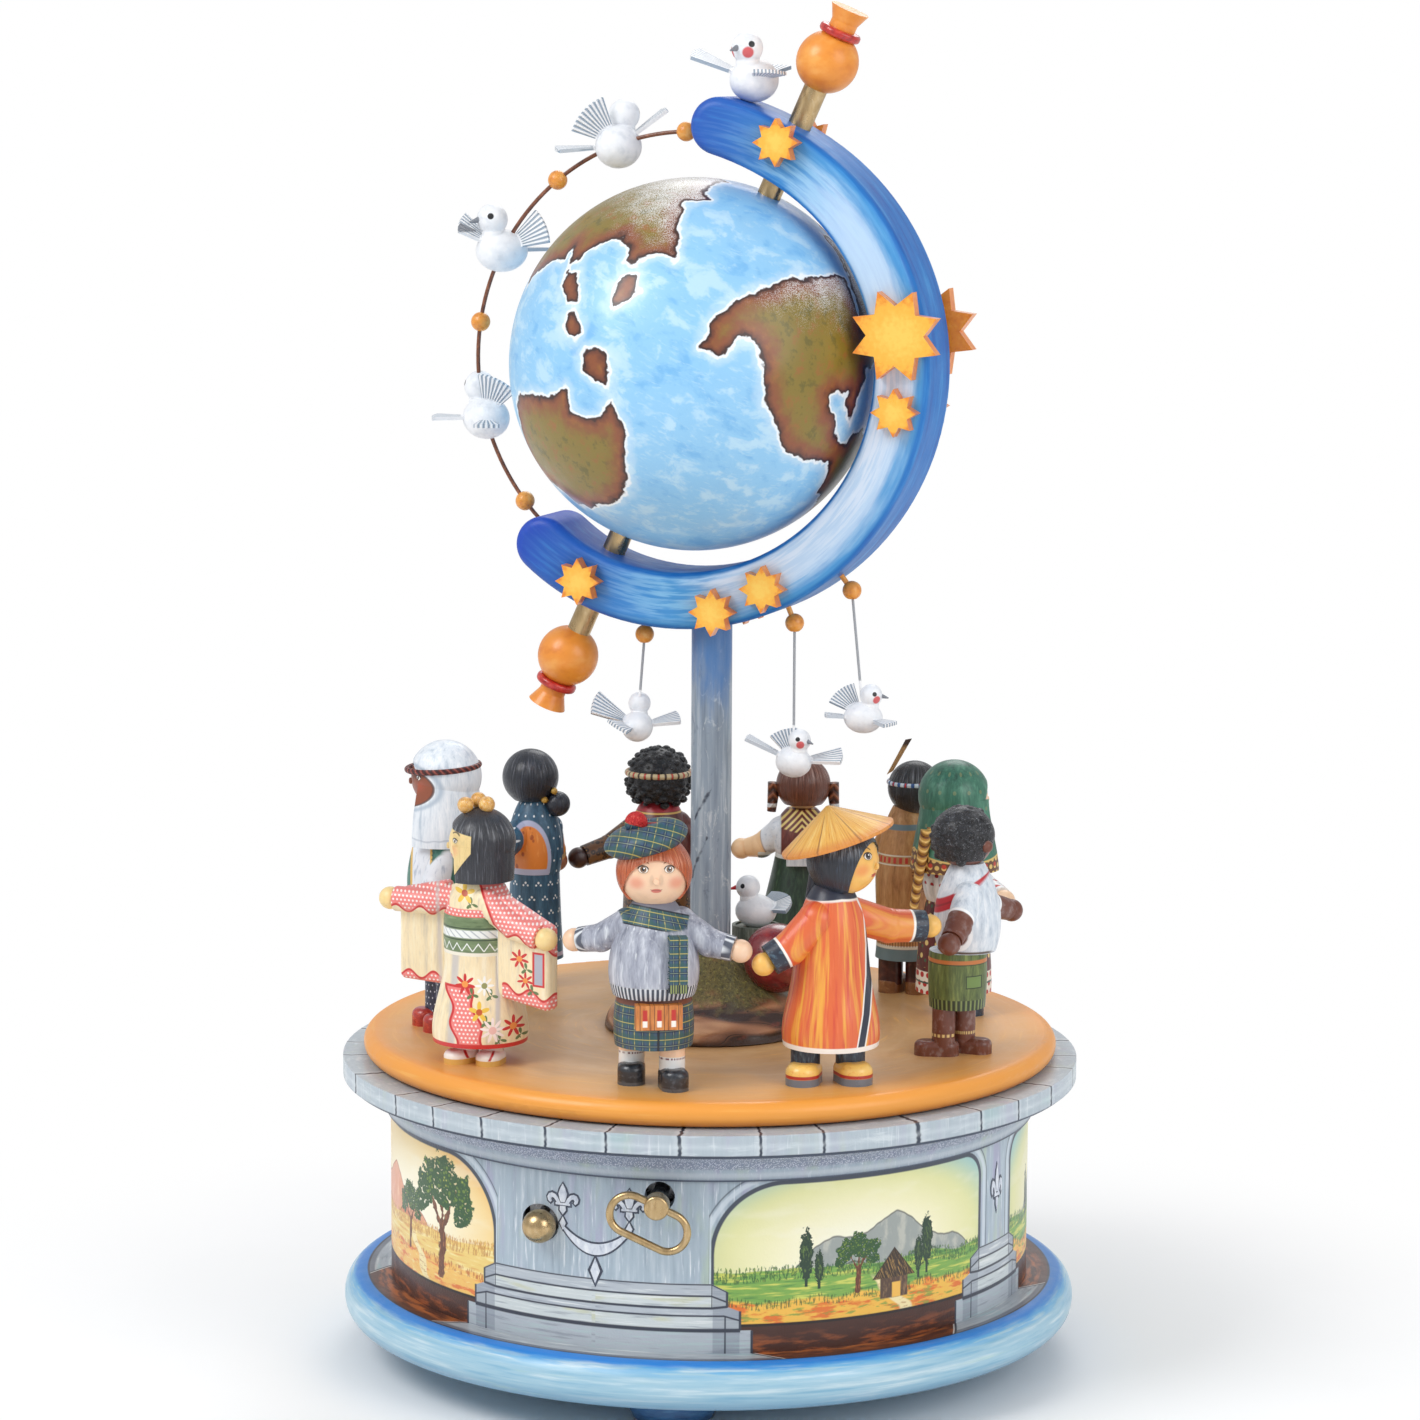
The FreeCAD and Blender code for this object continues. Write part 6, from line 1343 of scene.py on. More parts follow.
def face(name, tone, iris, brow, lips, blush, turned=0.0, **shape):
    """Painted face on a head's skin."""
    paint = head_paint(name, "face", dolls[name]["head_facing"] + turned).start(tone)
    paint.tint(shade_of(tone, 1.15), shade_of(tone, 0.82), (3.4, 3.4, 3.4), 0.35)
    lay_face(paint, name, tone, iris, brow, lips, blush, **shape)
    return paint.done(0.4, 0.25, None, 0.05, 0.5, 0.0, 0.05)


def hair(name, base, shine, title="hair", curls=False, turned=0.0, over=None):
    """Combed strands from the crown down with a painted sheen, or tight curls with painted shade between
    them and painted highlights on them.
    """
    paint = head_paint(name, title, dolls[name]["head_facing"] + turned).start(base)
    if curls:
        knots = paint.cells(1.5)
        wisps = paint.noise((1.0, 1.0, 1.0), 4, None, 0.7, 2.2)
        # Painted shade between the curls; painted highlights on the wisps and on the middle of each curl.
        paint.lay(shade_of(base, 0.4), paint.step(knots, 0.45, 0.8))
        paint.lay(shine, paint.step(wisps, 0.6, 0.8), 0.75)
        paint.lay(shine, paint.step(knots, 0.25, 0.1), 0.4)
        return paint.done(0.5, 0.3, (1.0 - knots) * 2.0 + wisps, 0.9)
    strand = paint.join(paint.around() * 0.19, paint.z * 0.06, paint.reach() * 0.06)
    fine = paint.noise((0.5, 0.5, 0.5), 4, strand, 0.6, 0.3)
    wide = paint.noise((2.0, 1.0, 1.0), 2, strand)
    paint.lay(shade_of(base, 0.5), paint.step(fine, 0.45, 0.2), 0.8)
    paint.lay(shine, paint.step(fine, 0.6, 0.85), 0.55)
    # A paler band round the head: painted sheen.
    band = paint.within(paint.z + wide * 3.0, 4.0, 8.0, 2.4)
    paint.lay(shade_of(shine, 1.3), band * paint.step(fine, 0.45, 0.75), 0.55)
    if over:
        over(paint)
    return paint.done(0.36, 0.4, fine * 1.5, 0.35)


def curls(name, material, lift, free):
    """Small locks, spread evenly over a head of curly hair where it is free."""
    golden_angle = 137.508
    doll = dolls[name]
    mesh = bmesh.new()
    count = 170
    reach = doll["head"][1] + doll["hair"] + lift
    for index in range(count):
        level = 1 - 2 * (index + 0.5) / count
        turn = index * golden_angle
        width = math.sqrt(1 - level * level)
        own = ring_point(width, turn, level)
        if not free((turn + 180) % 360 - 180, own.z * reach):
            continue
        place = head_centre(doll) + ring_point(width * reach, turn + doll["head_facing"], level * reach)
        size = 1.35 + 0.45 * math.sin(index * 2.399 * 3.1)
        flattened = Matrix.Diagonal((size * mm, size * mm, size * 0.8 * mm, 1.0))
        matrix = Matrix.Translation(place * mm) @ flattened
        bmesh.ops.create_icosphere(mesh, subdivisions=2, radius=1.0, matrix=matrix)
    for polygon in mesh.faces:
        polygon.smooth = True
    piece = piece_from_bmesh(name + "_curls", mesh, material)
    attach(piece, "turntable")
    name + "_head"


def cloth(name, title, base, light, dark, turn=None, size=(1.6, 1.6, 12.0), head=False):
    """Painted cloth whose long lighter and darker strokes are painted light and shade of soft folds, still
    open for more layers.
    """
    paint = head_paint(name, title, turn) if head else body_paint(name, title, turn)
    paint.start(base)
    paint.tint(light, dark, size, 0.75)
    paint.tint(light, dark, (0.6, 0.6, 3.0), 0.3)
    return paint


def ribbing(paint, mask, count, light, dark):
    """Knitted ribs round a hem."""
    ribs = paint.math("SINE", paint.around() * degree * count)
    paint.lay(dark, mask * paint.step(ribs, 0.1, -0.3))
    paint.lay(light, mask * paint.step(ribs, 0.1, 0.5))
    return ribs * mask


def hand_gap(paint, name):
    """Distance from the nearer hand, in the body's own coordinates."""
    doll = dolls[name]
    turn = paint.tree.nodes["Mapping"].inputs["Rotation"].default_value[2]
    gaps = []
    for angle, radius, rise in doll["hands"]:
        off = ring_point(radius, angle, turntable_top + rise) - doll_place(doll)
        gaps.append(paint.spot(Matrix.Rotation(-turn, 3, "Z") @ off, 1.0))
    return paint.lowest(*gaps)


def tartan(paint, u, v, mask=1.0, pitch=5.0):
    """Crossing bands and thin lines over flat coordinates."""
    paint.lay(rgb(60, 86, 112), mask)
    for value in (u, v):
        paint.lay(rgb(44, 88, 84), paint.stripe(value, pitch, 0.46 * pitch, 0.25) * mask, 0.6)
        paint.lay(rgb(26, 42, 70), paint.stripe(value + 0.5 * pitch, pitch, 0.2 * pitch, 0.15) * mask, 0.75)
        paint.lay(rgb(202, 186, 96), paint.stripe(value + 0.06 * pitch, pitch, 0.26, 0.1) * mask, 0.85)
        paint.lay(rgb(168, 188, 150), paint.stripe(value + 0.5 * pitch, pitch, 0.16, 0.1) * mask, 0.6)


def shoe_paint(name, base, light, extra=None):
    """Lacquered shoes, with more layers where a function for them is given."""
    paint = body_paint(name, "shoes").start(base)
    paint.tint(light, shade_of(base, 0.5), (2.0, 2.0, 1.4), 0.6)
    if extra:
        extra(paint)
    return paint.done(0.32, 0.5)


def paint_kilt_boy():
    name = "kilt_boy"
    tone = rgb(246, 206, 172)
    shorts = body_paint(name, "shorts").start(rgb(60, 86, 112))
    tartan(shorts, shorts.around() * 0.2217, shorts.z, 1.0)
    # Dark vertical patches: painted shade of folds.
    shorts.lay(rgb(20, 30, 44), shorts.patches((2.0, 2.0, 14.0), 3, 0.6, 0.95), 0.6)
    shorts.lay(rgb(112, 62, 44), shorts.step(shorts.z, 27.6, 28.2))
    shorts.lay(rgb(30, 34, 40), shorts.line(shorts.size(shorts.x), 0.7, 0.2)
               * shorts.step(shorts.z, 21.0, 20.0))
    sweater = cloth(name, "sweater", rgb(164, 168, 182), rgb(214, 218, 226), rgb(104, 108, 124), None,
                    (2.4, 2.4, 26.0))
    gap = hand_gap(sweater, name)
    sweater.lay(rgb(232, 236, 240), sweater.patches((1.2, 1.2, 22.0), 3, 0.64, 0.9), 0.7)
    hem = sweater.step(sweater.z, 34.2, 33.8) * sweater.step(sweater.reach(), 15.6, 15.0)
    cuff = sweater.step(gap, 7.0, 6.7)
    ribs = ribbing(sweater, hem, 56, rgb(226, 230, 234), rgb(70, 78, 92))
    sweater.lay(rgb(210, 216, 222), sweater.line(sweater.size(sweater.z - 34.2), 0.5, 0.15) * hem)
    sweater.lay(rgb(84, 90, 104), cuff)
    sweater.lay(rgb(224, 228, 232), cuff * sweater.stripe(sweater.around(), 4.0, 1.6, 0.5))
    sweater.lay(rgb(120, 122, 136), sweater.step(sweater.z, 57.4, 58.0))
    wrap = sweater.z - 54.4 + sweater.x * 0.22 + sweater.y * 0.16
    scarf_mask = sweater.within(wrap, -3.4, 3.2, 0.15) * sweater.step(sweater.reach(), 11.8, 11.2)
    tartan(sweater, sweater.around() * 0.15, wrap, scarf_mask, 4.4)
    sweater.lay(rgb(22, 30, 44), sweater.line(sweater.size(sweater.size(wrap + 0.1) - 3.3), 0.5, 0.15)
                * sweater.step(sweater.reach(), 11.8, 11.2))
    scarf = body_paint(name, "scarf").start(rgb(60, 86, 112))
    tartan(scarf, scarf.x, scarf.z, 1.0, 4.4)
    fringe = scarf.step(scarf.z, 36.0, 35.6)
    scarf.lay(rgb(34, 44, 54), fringe)
    scarf.lay(rgb(150, 160, 96), fringe * scarf.stripe(scarf.x, 0.8, 0.4, 0.12))
    scarf.lay(rgb(20, 26, 36), scarf.line(scarf.size(scarf.x - 6.1), 0.3, 0.1))
    sporran = body_paint(name, "sporran").start(rgb(206, 124, 56))
    sporran.tint(rgb(230, 160, 88), rgb(140, 76, 34), (1.0, 1.0, 6.0), 0.7)
    for side in (-4.6, 0.0, 4.6):
        tassel = sporran.line(sporran.size(sporran.x - side), 1.5, 0.25)
        sporran.lay(rgb(196, 44, 34), tassel * sporran.within(sporran.z, 24.0, 27.6))
        sporran.lay(rgb(250, 244, 234), tassel * sporran.within(sporran.z, 22.0, 24.0))
        ring = sporran.size(sporran.size(sporran.x - side) - 1.6)
        sporran.lay(rgb(120, 70, 34), sporran.line(ring, 0.24, 0.1))
    legs = bare_skin(name, tone, "legs")
    sock = legs.step(legs.z, 10.6, 10.3)
    legs.lay(rgb(236, 236, 234), sock)
    legs.lay(rgb(122, 78, 84), legs.line(legs.size(legs.z - 9.9), 0.6, 0.1)
             * legs.stripe(legs.x + legs.y, 0.9, 0.5, 0.1))

    def laces(paint):
        """Two crossed pairs of laces on each shoe, and dark soles."""
        for right, near in ((-7.2, -5.0), (6.0, 4.0)):
            own = Matrix.Rotation((view_angle - dolls[name]["facing"]) * degree, 3, "Z")
            foot = own @ Vector((right, -near, 0))
            toward = own @ Vector((0, -1, 0))
            side = Vector((-toward.y, toward.x, 0))
            for rise in (5.9, 6.9):
                for way in (-1, 1):
                    start = foot + toward * 4.6 + side * (1.6 * way) + Vector((0, 0, rise - 0.7))
                    end = foot + toward * 3.8 - side * (1.6 * way) + Vector((0, 0, rise + 0.7))
                    paint.lay(rgb(236, 236, 236), paint.line(paint.stroke(start, end), 0.9, 0.15))
        paint.lay(rgb(84, 88, 94), paint.step(paint.z, 1.3, 1.0), 0.8)

    shoes = shoe_paint(name, rgb(34, 38, 46), rgb(84, 90, 100), laces)
    dress(name, {"garment_0": shorts.done(0.45, 0.2), "garment_1": sweater.done(0.5, 0.15, ribs * 1.2, 0.3),
                 "hands": skin(name, tone), "legs": legs.done(0.42, 0.2), "shoes": shoes,
                 "sporran": sporran.done(0.42, 0.3), "scarf": scarf.done(0.5, 0.15)},
          (("sporran", (-7.6, -15.5, 20.9), (7.6, -12.4, 29.1)),
           ("scarf", (3.1, -16.5, 32.9), (9.1, -11.3, 51.1))))
    beret = head_paint(name, "beret", view_angle).start(rgb(60, 86, 112))
    tartan(beret, beret.x * 0.97 - beret.z * 0.24, beret.z * 0.97 + beret.x * 0.24 + beret.y * 0.3, 1.0,
           5.4)
    beret.lay(rgb(20, 30, 44), beret.patches(5.0, 2, 0.55, 0.95), 0.4)
    pompom = head_paint(name, "pompom").start(rgb(206, 40, 40))
    fluff = pompom.noise(0.8, 4)
    pompom.lay(rgb(238, 96, 84), pompom.step(fluff, 0.55, 0.85))
    pompom.lay(rgb(140, 20, 26), pompom.step(fluff, 0.42, 0.15))
    ball = np.array([-4.3, 0.0, 16.3])
    crown(name, {"face": face(name, tone, rgb(122, 84, 48), rgb(150, 84, 46), rgb(214, 120, 104),
                              rgb(226, 120, 92)),
                 "hair": hair(name, rgb(196, 92, 44), rgb(238, 150, 84)), "beret": beret.done(0.5, 0.15),
                 "pompom": pompom.done(0.7, 0.0, fluff * 2.0, 0.5)},
          (("beret", lambda own, view: view[:, 2] > 2.0),
           ("pompom", lambda own, view: (own[:, 2] > 13.0) & (np.linalg.norm(
               view - ball, axis=1) < 5.4) & (view[:, 2] * 0.95 + view[:, 0] * 0.25 > 13.2))))


def paint_straw_hat_boy():
    name = "straw_hat_boy"
    tone = rgb(248, 192, 98)
    coat = body_paint(name, "coat", view_angle).start(rgb(226, 106, 56))
    flow = coat.join(coat.around() * 0.26, coat.z, 0.0)
    coat.lay(rgb(240, 172, 66), coat.patches((2.6, 40.0, 9.0), 3, 0.46, 0.8, flow))
    coat.lay(rgb(212, 70, 52), coat.patches((2.0, 30.0, 9.0), 3, 0.52, 0.85, flow), 0.85)
    coat.lay(rgb(238, 130, 84), coat.patches((1.0, 16.0, 9.0), 4, 0.6, 0.9, flow), 0.6)
    gap = hand_gap(coat, name)
    front = coat.step(coat.y, 1.0, -1.0)
    flat = coat.join(coat.x, coat.z, 0.0)
    places = ((8.2, 62.5), (11.4, 56.0), (12.2, 46.0), (12.2, 36.0), (11.2, 24.0), (8.9, 10.0))
    placket = coat.lowest(*[coat.stroke((*first, 0), (*second, 0), flat)
                            for first, second in zip(places, places[1:])])
    coat.lay(rgb(246, 240, 232), front * coat.line(placket, 3.0, 0.12))
    coat.lay(rgb(38, 44, 62), front * coat.line(placket, 2.1, 0.12))
    collar = coat.z - 61.0 + coat.size(coat.x - 3.0) * 0.10
    coat.lay(rgb(246, 240, 232), coat.step(collar, -1.0, -0.6) * coat.step(coat.reach(), 8.6, 8.0))
    coat.lay(rgb(38, 44, 62), coat.step(collar, -0.2, 0.2) * coat.step(coat.reach(), 8.6, 8.0))
    low = coat.step(coat.z, 13.9, 13.5)
    coat.lay(rgb(248, 240, 230), low)
    coat.lay(rgb(250, 246, 238), coat.step(gap, 9.6, 9.3))
    cuff = coat.step(gap, 8.9, 8.6)
    coat.lay(rgb(36, 44, 60), cuff)
    coat.lay(rgb(88, 112, 128), cuff * coat.patches((1.6, 1.6, 1.0), 4, 0.5, 0.85), 0.8)
    legs = cloth(name, "trousers", rgb(44, 56, 74), rgb(96, 122, 140), rgb(22, 26, 38), None,
                 (1.6, 1.6, 4.0))

    def bands(paint):
        paint.lay(rgb(112, 122, 136), paint.step(paint.z, 2.6, 2.3))
        paint.lay(rgb(184, 48, 36), paint.within(paint.z, 2.5, 3.6, 0.12))
        paint.lay(rgb(250, 206, 110), paint.step(paint.z, 3.5, 3.7))
        paint.lay(rgb(236, 150, 60), paint.patches((1.2, 1.2, 1.0), 3, 0.6, 0.9)
                  * paint.step(paint.z, 3.6, 3.8), 0.5)

    shoes = shoe_paint(name, rgb(236, 176, 84), rgb(250, 214, 130), bands)
    dress(name, {"garment_0": coat.done(0.42, 0.3), "hands": skin(name, tone), "legs": legs.done(0.45, 0.2),
                 "shoes": shoes})
    hat = head_paint(name, "straw_hat", view_angle).start(rgb(238, 178, 78))
    lean = 18.0 * degree
    along = hat.x * math.cos(lean) + hat.z * math.sin(lean)
    upright = hat.z * math.cos(lean) - hat.x * math.sin(lean)
    turn = hat.math("ARCTAN2", along, hat.y * -1) / degree
    spread = hat.length(along, hat.y)
    weave = hat.join(turn * 0.4, spread * 0.35, 0.0)
    straw = hat.noise((0.7, 4.0, 1.0), 4, weave)
    hat.lay(rgb(250, 212, 128), hat.step(straw, 0.5, 0.85), 0.8)
    hat.lay(rgb(204, 124, 44), hat.step(straw, 0.45, 0.15), 0.8)
    hat.lay(rgb(222, 132, 52), hat.step(spread, 15.0, 18.6), 0.7)
    hat.lay(rgb(150, 92, 44), hat.stripe(turn, 45.0, 2.2, 0.8) * hat.step(spread, 3.0, 5.0), 0.7)
    hat.lay(rgb(216, 112, 40), hat.step(upright, 7.4, 6.9), 0.6)
    crown(name, {"face": face(name, tone, rgb(58, 34, 26), rgb(36, 24, 22), rgb(204, 84, 50),
                              rgb(236, 128, 70)),
                 "hair": hair(name, rgb(38, 44, 56), rgb(82, 104, 128)),
                 "hat": hat.done(0.45, 0.3, straw * 1.5, 0.25),
                 "pigtail": hair(name, rgb(38, 44, 56), rgb(82, 104, 128), "pigtail")},
          (("hat", lambda own, view: view[:, 2] > -40.0),
           ("pigtail", lambda own, view: (own[:, 1] > 7.2) & (own[:, 2] < -2.0) & (own[:, 2] > -17.0)
            & (np.abs(own[:, 0]) < 3.2))))


def paint_barefoot_boy():
    name = "barefoot_boy"
    tone = rgb(112, 60, 42)
    shorts = cloth(name, "shorts", rgb(92, 108, 56), rgb(142, 156, 84), rgb(52, 64, 36), view_angle,
                   (1.3, 1.3, 10.0))
    hem = shorts.step(shorts.z, 19.6, 19.3)
    shorts.lay(rgb(62, 76, 44), hem)
    shorts.lay(rgb(136, 150, 88), hem * shorts.stripe(shorts.around(), 10.0, 3.0, 1.0))
    shorts.lay(rgb(36, 44, 28), hem * shorts.stripe(shorts.around() + 5.0, 10.0, 2.4, 1.0))
    shorts.lay(rgb(198, 118, 60), shorts.within(shorts.z, 31.6, 32.9, 0.15))
    shorts.lay(rgb(58, 66, 38), shorts.line(shorts.size(shorts.z - 31.4), 0.3, 0.1))
    pocket = shorts.highest(shorts.size(shorts.x - 5.0) - 2.6, shorts.size(shorts.z - 25.6) - 2.0)
    front = shorts.step(shorts.y, 0.5, -0.5)
    shorts.lay(rgb(112, 138, 72), front * shorts.step(pocket, 0.2, -0.2))
    shorts.lay(rgb(44, 54, 32), front * shorts.line(shorts.size(pocket), 0.34, 0.1))
    shirt = cloth(name, "shirt", rgb(214, 222, 230), rgb(246, 248, 250), rgb(158, 172, 188), view_angle,
                  (2.2, 2.2, 7.0))
    gap = hand_gap(shirt, name)
    arm = shirt.step(gap, 12.4, 12.0)
    shirt.lay(rgb(250, 251, 252), shirt.within(gap, 12.0, 13.2, 0.15))
    shirt.lay(tone, arm)
    shirt.lay(shade_of(tone, 1.25), arm * shirt.patches(3.0, 3, 0.5, 0.9), 0.5)
    shirt.lay(rgb(96, 82, 74), shirt.line(shirt.size(shirt.z - 35.6), 0.8, 0.2)
              * shirt.step(shirt.reach(), 12.6, 12.0))
    cloth_line = shirt.size(shirt.z - 56.0 - (shirt.x - 3.0) * 0.55)
    shirt.lay(rgb(188, 32, 44), shirt.line(cloth_line, 4.4, 0.3) * shirt.step(shirt.reach(), 10.4, 9.8))
    shirt.lay(rgb(118, 16, 26), shirt.line(cloth_line, 0.7, 0.2) * shirt.step(shirt.reach(), 10.4, 9.8),
              0.6)
    legs = body_paint(name, "legs").start(tone)
    legs.tint(shade_of(tone, 1.2), shade_of(tone, 0.7), (2.0, 2.0, 3.0), 0.6)
    beads = legs.within(legs.z, 6.6, 7.6, 0.1) * legs.stripe(legs.around(), 9.0, 5.0, 1.5)
    legs.lay(rgb(230, 200, 130), beads)
    feet = body_paint(name, "feet").start(tone)
    feet.tint(shade_of(tone, 1.2), shade_of(tone, 0.7), (2.0, 2.0, 3.0), 0.6)
    dress(name, {"garment_0": shorts.done(0.45, 0.2), "garment_1": shirt.done(0.48, 0.2),
                 "hands": skin(name, tone),
                 "legs": legs.done(0.42, 0.3), "shoes": feet.done(0.42, 0.3)})
    curly = hair(name, rgb(44, 44, 48), rgb(160, 164, 170), "hair", True)
    curls(name, curly, -0.6, lambda bearing, rise: rise > -7.4 and (abs(bearing) > 66 or rise > 8.4)
          and (abs(abs(bearing) - 90) > 24 or rise > 3.4))
    crown(name, {"face": face(name, tone, rgb(50, 30, 22), rgb(30, 20, 18), rgb(150, 66, 56),
                              rgb(150, 66, 50)),
                 "hair": curly, "ears": skin(name, tone, "ears")},
          (("ears", lambda own, view: np.abs(own[:, 0]) > 8.0),))


def paint_headscarf_girl():
    name = "headscarf_girl"
    tone = rgb(242, 204, 168)
    skirt = cloth(name, "skirt", rgb(96, 42, 38), rgb(140, 70, 56), rgb(54, 24, 26), None, (1.4, 1.4, 12.0))
    u = skirt.around() * 0.21
    skirt.lay(rgb(224, 196, 120), skirt.dots(u, skirt.z, 4.7, 0.9) * skirt.step(skirt.z, 17.0, 17.5))
    skirt.lay(rgb(60, 96, 66), skirt.dots(u + 2.3, skirt.z + 1.4, 4.7, 0.6)
              * skirt.step(skirt.z, 17.0, 17.5))
    border = skirt.step(skirt.z, 16.0, 15.7)
    skirt.lay(rgb(232, 224, 208), border)
    skirt.lay(rgb(182, 44, 40), border * skirt.dots(u, skirt.z - 10.0, 3.1, 1.0))
    skirt.lay(rgb(48, 84, 74), border * skirt.stripe(skirt.z - 9.0, 6.0, 0.6))
    blouse = cloth(name, "blouse", rgb(232, 232, 230), rgb(250, 250, 250), rgb(176, 182, 190), None,
                   (2.0, 2.0, 8.0))
    gap = hand_gap(blouse, name)
    sleeve = blouse.within(gap, 5.4, 9.0, 0.2)
    blouse.lay(rgb(190, 44, 44), sleeve * blouse.dots(blouse.around() * 0.3, blouse.z, 2.1, 0.75))
    blouse.lay(rgb(170, 34, 38), blouse.line(blouse.size(gap - 9.4), 0.7, 0.15))
    blouse.lay(rgb(170, 34, 38), blouse.within(blouse.z, 46.0, 56.0)
               * blouse.dots(blouse.around() * 0.16, blouse.z, 3.2, 0.7)
               * blouse.step(blouse.reach(), 12.0, 11.4))
    dress(name, {"garment_0": skirt.done(0.45, 0.2), "garment_1": blouse.done(0.48, 0.2),
                 "hands": skin(name, tone),
                 "legs": skin(name, rgb(226, 222, 216), "stockings"),
                 "shoes": shoe_paint(name, rgb(32, 56, 78), rgb(76, 110, 136))})
    scarf = cloth(name, "headscarf", rgb(52, 110, 88), rgb(96, 154, 128), rgb(26, 64, 52), None,
                  (2.6, 2.6, 14.0), True)
    low = scarf.z + scarf.size(scarf.x) * 0.25
    edge = scarf.step(low, -17.4, -17.9)
    scarf.lay(rgb(104, 66, 42), edge)
    u = scarf.around() * 0.25
    scarf.lay(rgb(224, 190, 110), edge * scarf.dots(u, scarf.z, 2.4, 0.8))
    scarf.lay(rgb(190, 60, 40), edge * scarf.dots(u + 1.2, scarf.z + 0.6, 4.8, 0.8))
    scarf.lay(rgb(224, 190, 110), scarf.line(scarf.size(low + 17.4), 0.6, 0.15))
    scarf.lay(rgb(206, 178, 104), scarf.dots(u, scarf.z, 6.0, 0.7) * scarf.step(low, -16.0, -15.0), 0.2)
    braid = head_paint(name, "braid").start(rgb(206, 148, 64))
    twist = braid.math("SINE", (braid.z * 1.9 + braid.size(braid.x + 8.5) * 1.6))
    braid.lay(rgb(238, 192, 108), braid.step(twist, 0.1, 0.8))
    braid.lay(rgb(120, 72, 30), braid.step(twist, -0.5, -0.9))
    crown(name, {"face": face(name, tone, rgb(70, 110, 150), rgb(176, 120, 60), rgb(206, 90, 84),
                              rgb(236, 140, 120)),
                 "hair": scarf.done(0.45, 0.25), "braid": braid.done(0.45, 0.3, twist * 2.0, 0.5)},
          (("braid", lambda own, view: (np.abs(own[:, 0] + 8.5) < 2.3) & (own[:, 2] < -9.5)
            & (own[:, 1] > 10.5 + (-10.0 - own[:, 2]) * 0.155) & (own[:, 1] > 11.0)),))


def paint_feather_child():
    name = "feather_child"
    tone = rgb(176, 112, 74)
    shirt = cloth(name, "shirt", rgb(196, 140, 84), rgb(224, 176, 116), rgb(146, 92, 48), None,
                  (2.0, 2.0, 10.0))
    gap = hand_gap(shirt, name)
    shirt.lay(rgb(112, 134, 138), shirt.step(shirt.z, 17.4, 17.0))
    shirt.lay(rgb(232, 224, 204), shirt.within(shirt.z, 17.2, 18.4, 0.15))
    fringe = shirt.step(shirt.z, 24.0, 23.6) * shirt.step(shirt.z, 17.8, 18.4)
    shirt.lay(rgb(118, 72, 38), fringe * shirt.stripe(shirt.around(), 6.0, 1.6, 0.6))
    shirt.lay(rgb(110, 130, 136), shirt.within(shirt.z, 59.4, 61.4))
    shirt.lay(rgb(206, 60, 44), shirt.within(shirt.z, 48.0, 50.0)
              * shirt.stripe(shirt.around(), 12.0, 6.0, 0.8))
    shirt.lay(rgb(234, 224, 200), shirt.line(shirt.size(shirt.z - 47.4), 0.5, 0.1))
    shirt.lay(rgb(234, 224, 200), shirt.line(shirt.size(shirt.z - 50.6), 0.5, 0.1))
    shirt.lay(rgb(120, 76, 42), shirt.within(gap, 5.0, 8.6, 0.2) * shirt.stripe(shirt.z, 1.2, 0.5, 0.1),
              0.8)
    dress(name, {"garment_0": shirt.done(0.5, 0.15), "hands": skin(name, tone),
                 "legs": plain_paint(name + "_leggings", rgb(72, 34, 32), rgb(112, 60, 50),
                                     rgb(40, 18, 20)),
                 "shoes": shoe_paint(name, rgb(138, 90, 52), rgb(184, 132, 84))})
    band = head_paint(name, "band").start(rgb(222, 232, 238))
    band.lay(rgb(46, 92, 152), band.stripe(band.around(), 15.0, 7.0, 0.8))
    band.lay(rgb(196, 52, 44), band.stripe(band.around() + 7.5, 30.0, 4.0, 0.6))
    quill = head_paint(name, "feather", view_angle).start(rgb(206, 160, 104))
    slope = quill.x * 0.85 - quill.z * 0.5
    barbs = quill.stripe(quill.z * 0.8 + quill.size(slope + 9.6) * 1.3, 0.8, 0.3, 0.12)
    quill.lay(rgb(120, 78, 46), barbs, 0.7)
    quill.lay(rgb(70, 46, 34), quill.step(quill.z, 14.4, 16.4))
    quill.lay(rgb(240, 226, 196), quill.line(quill.size(slope + 9.6), 0.5, 0.15))
    crown(name, {"face": face(name, tone, rgb(48, 30, 22), rgb(30, 22, 20), rgb(160, 72, 58),
                              rgb(186, 90, 62)),
                 "hair": hair(name, rgb(26, 26, 30), rgb(74, 78, 90)), "band": band.done(0.45, 0.3),
                 "feather": quill.done(0.55, 0.1, barbs * -1.0, 0.3)},
          (("band", lambda own, view: view[:, 2] > -40.0),
           ("feather", lambda own, view: (np.hypot(own[:, 0], own[:, 1]) < 30) & (view[:, 2] > 4.4)
            & (view[:, 0] < -0.8)
            & (np.linalg.norm(own, axis=1) > 10.4))))


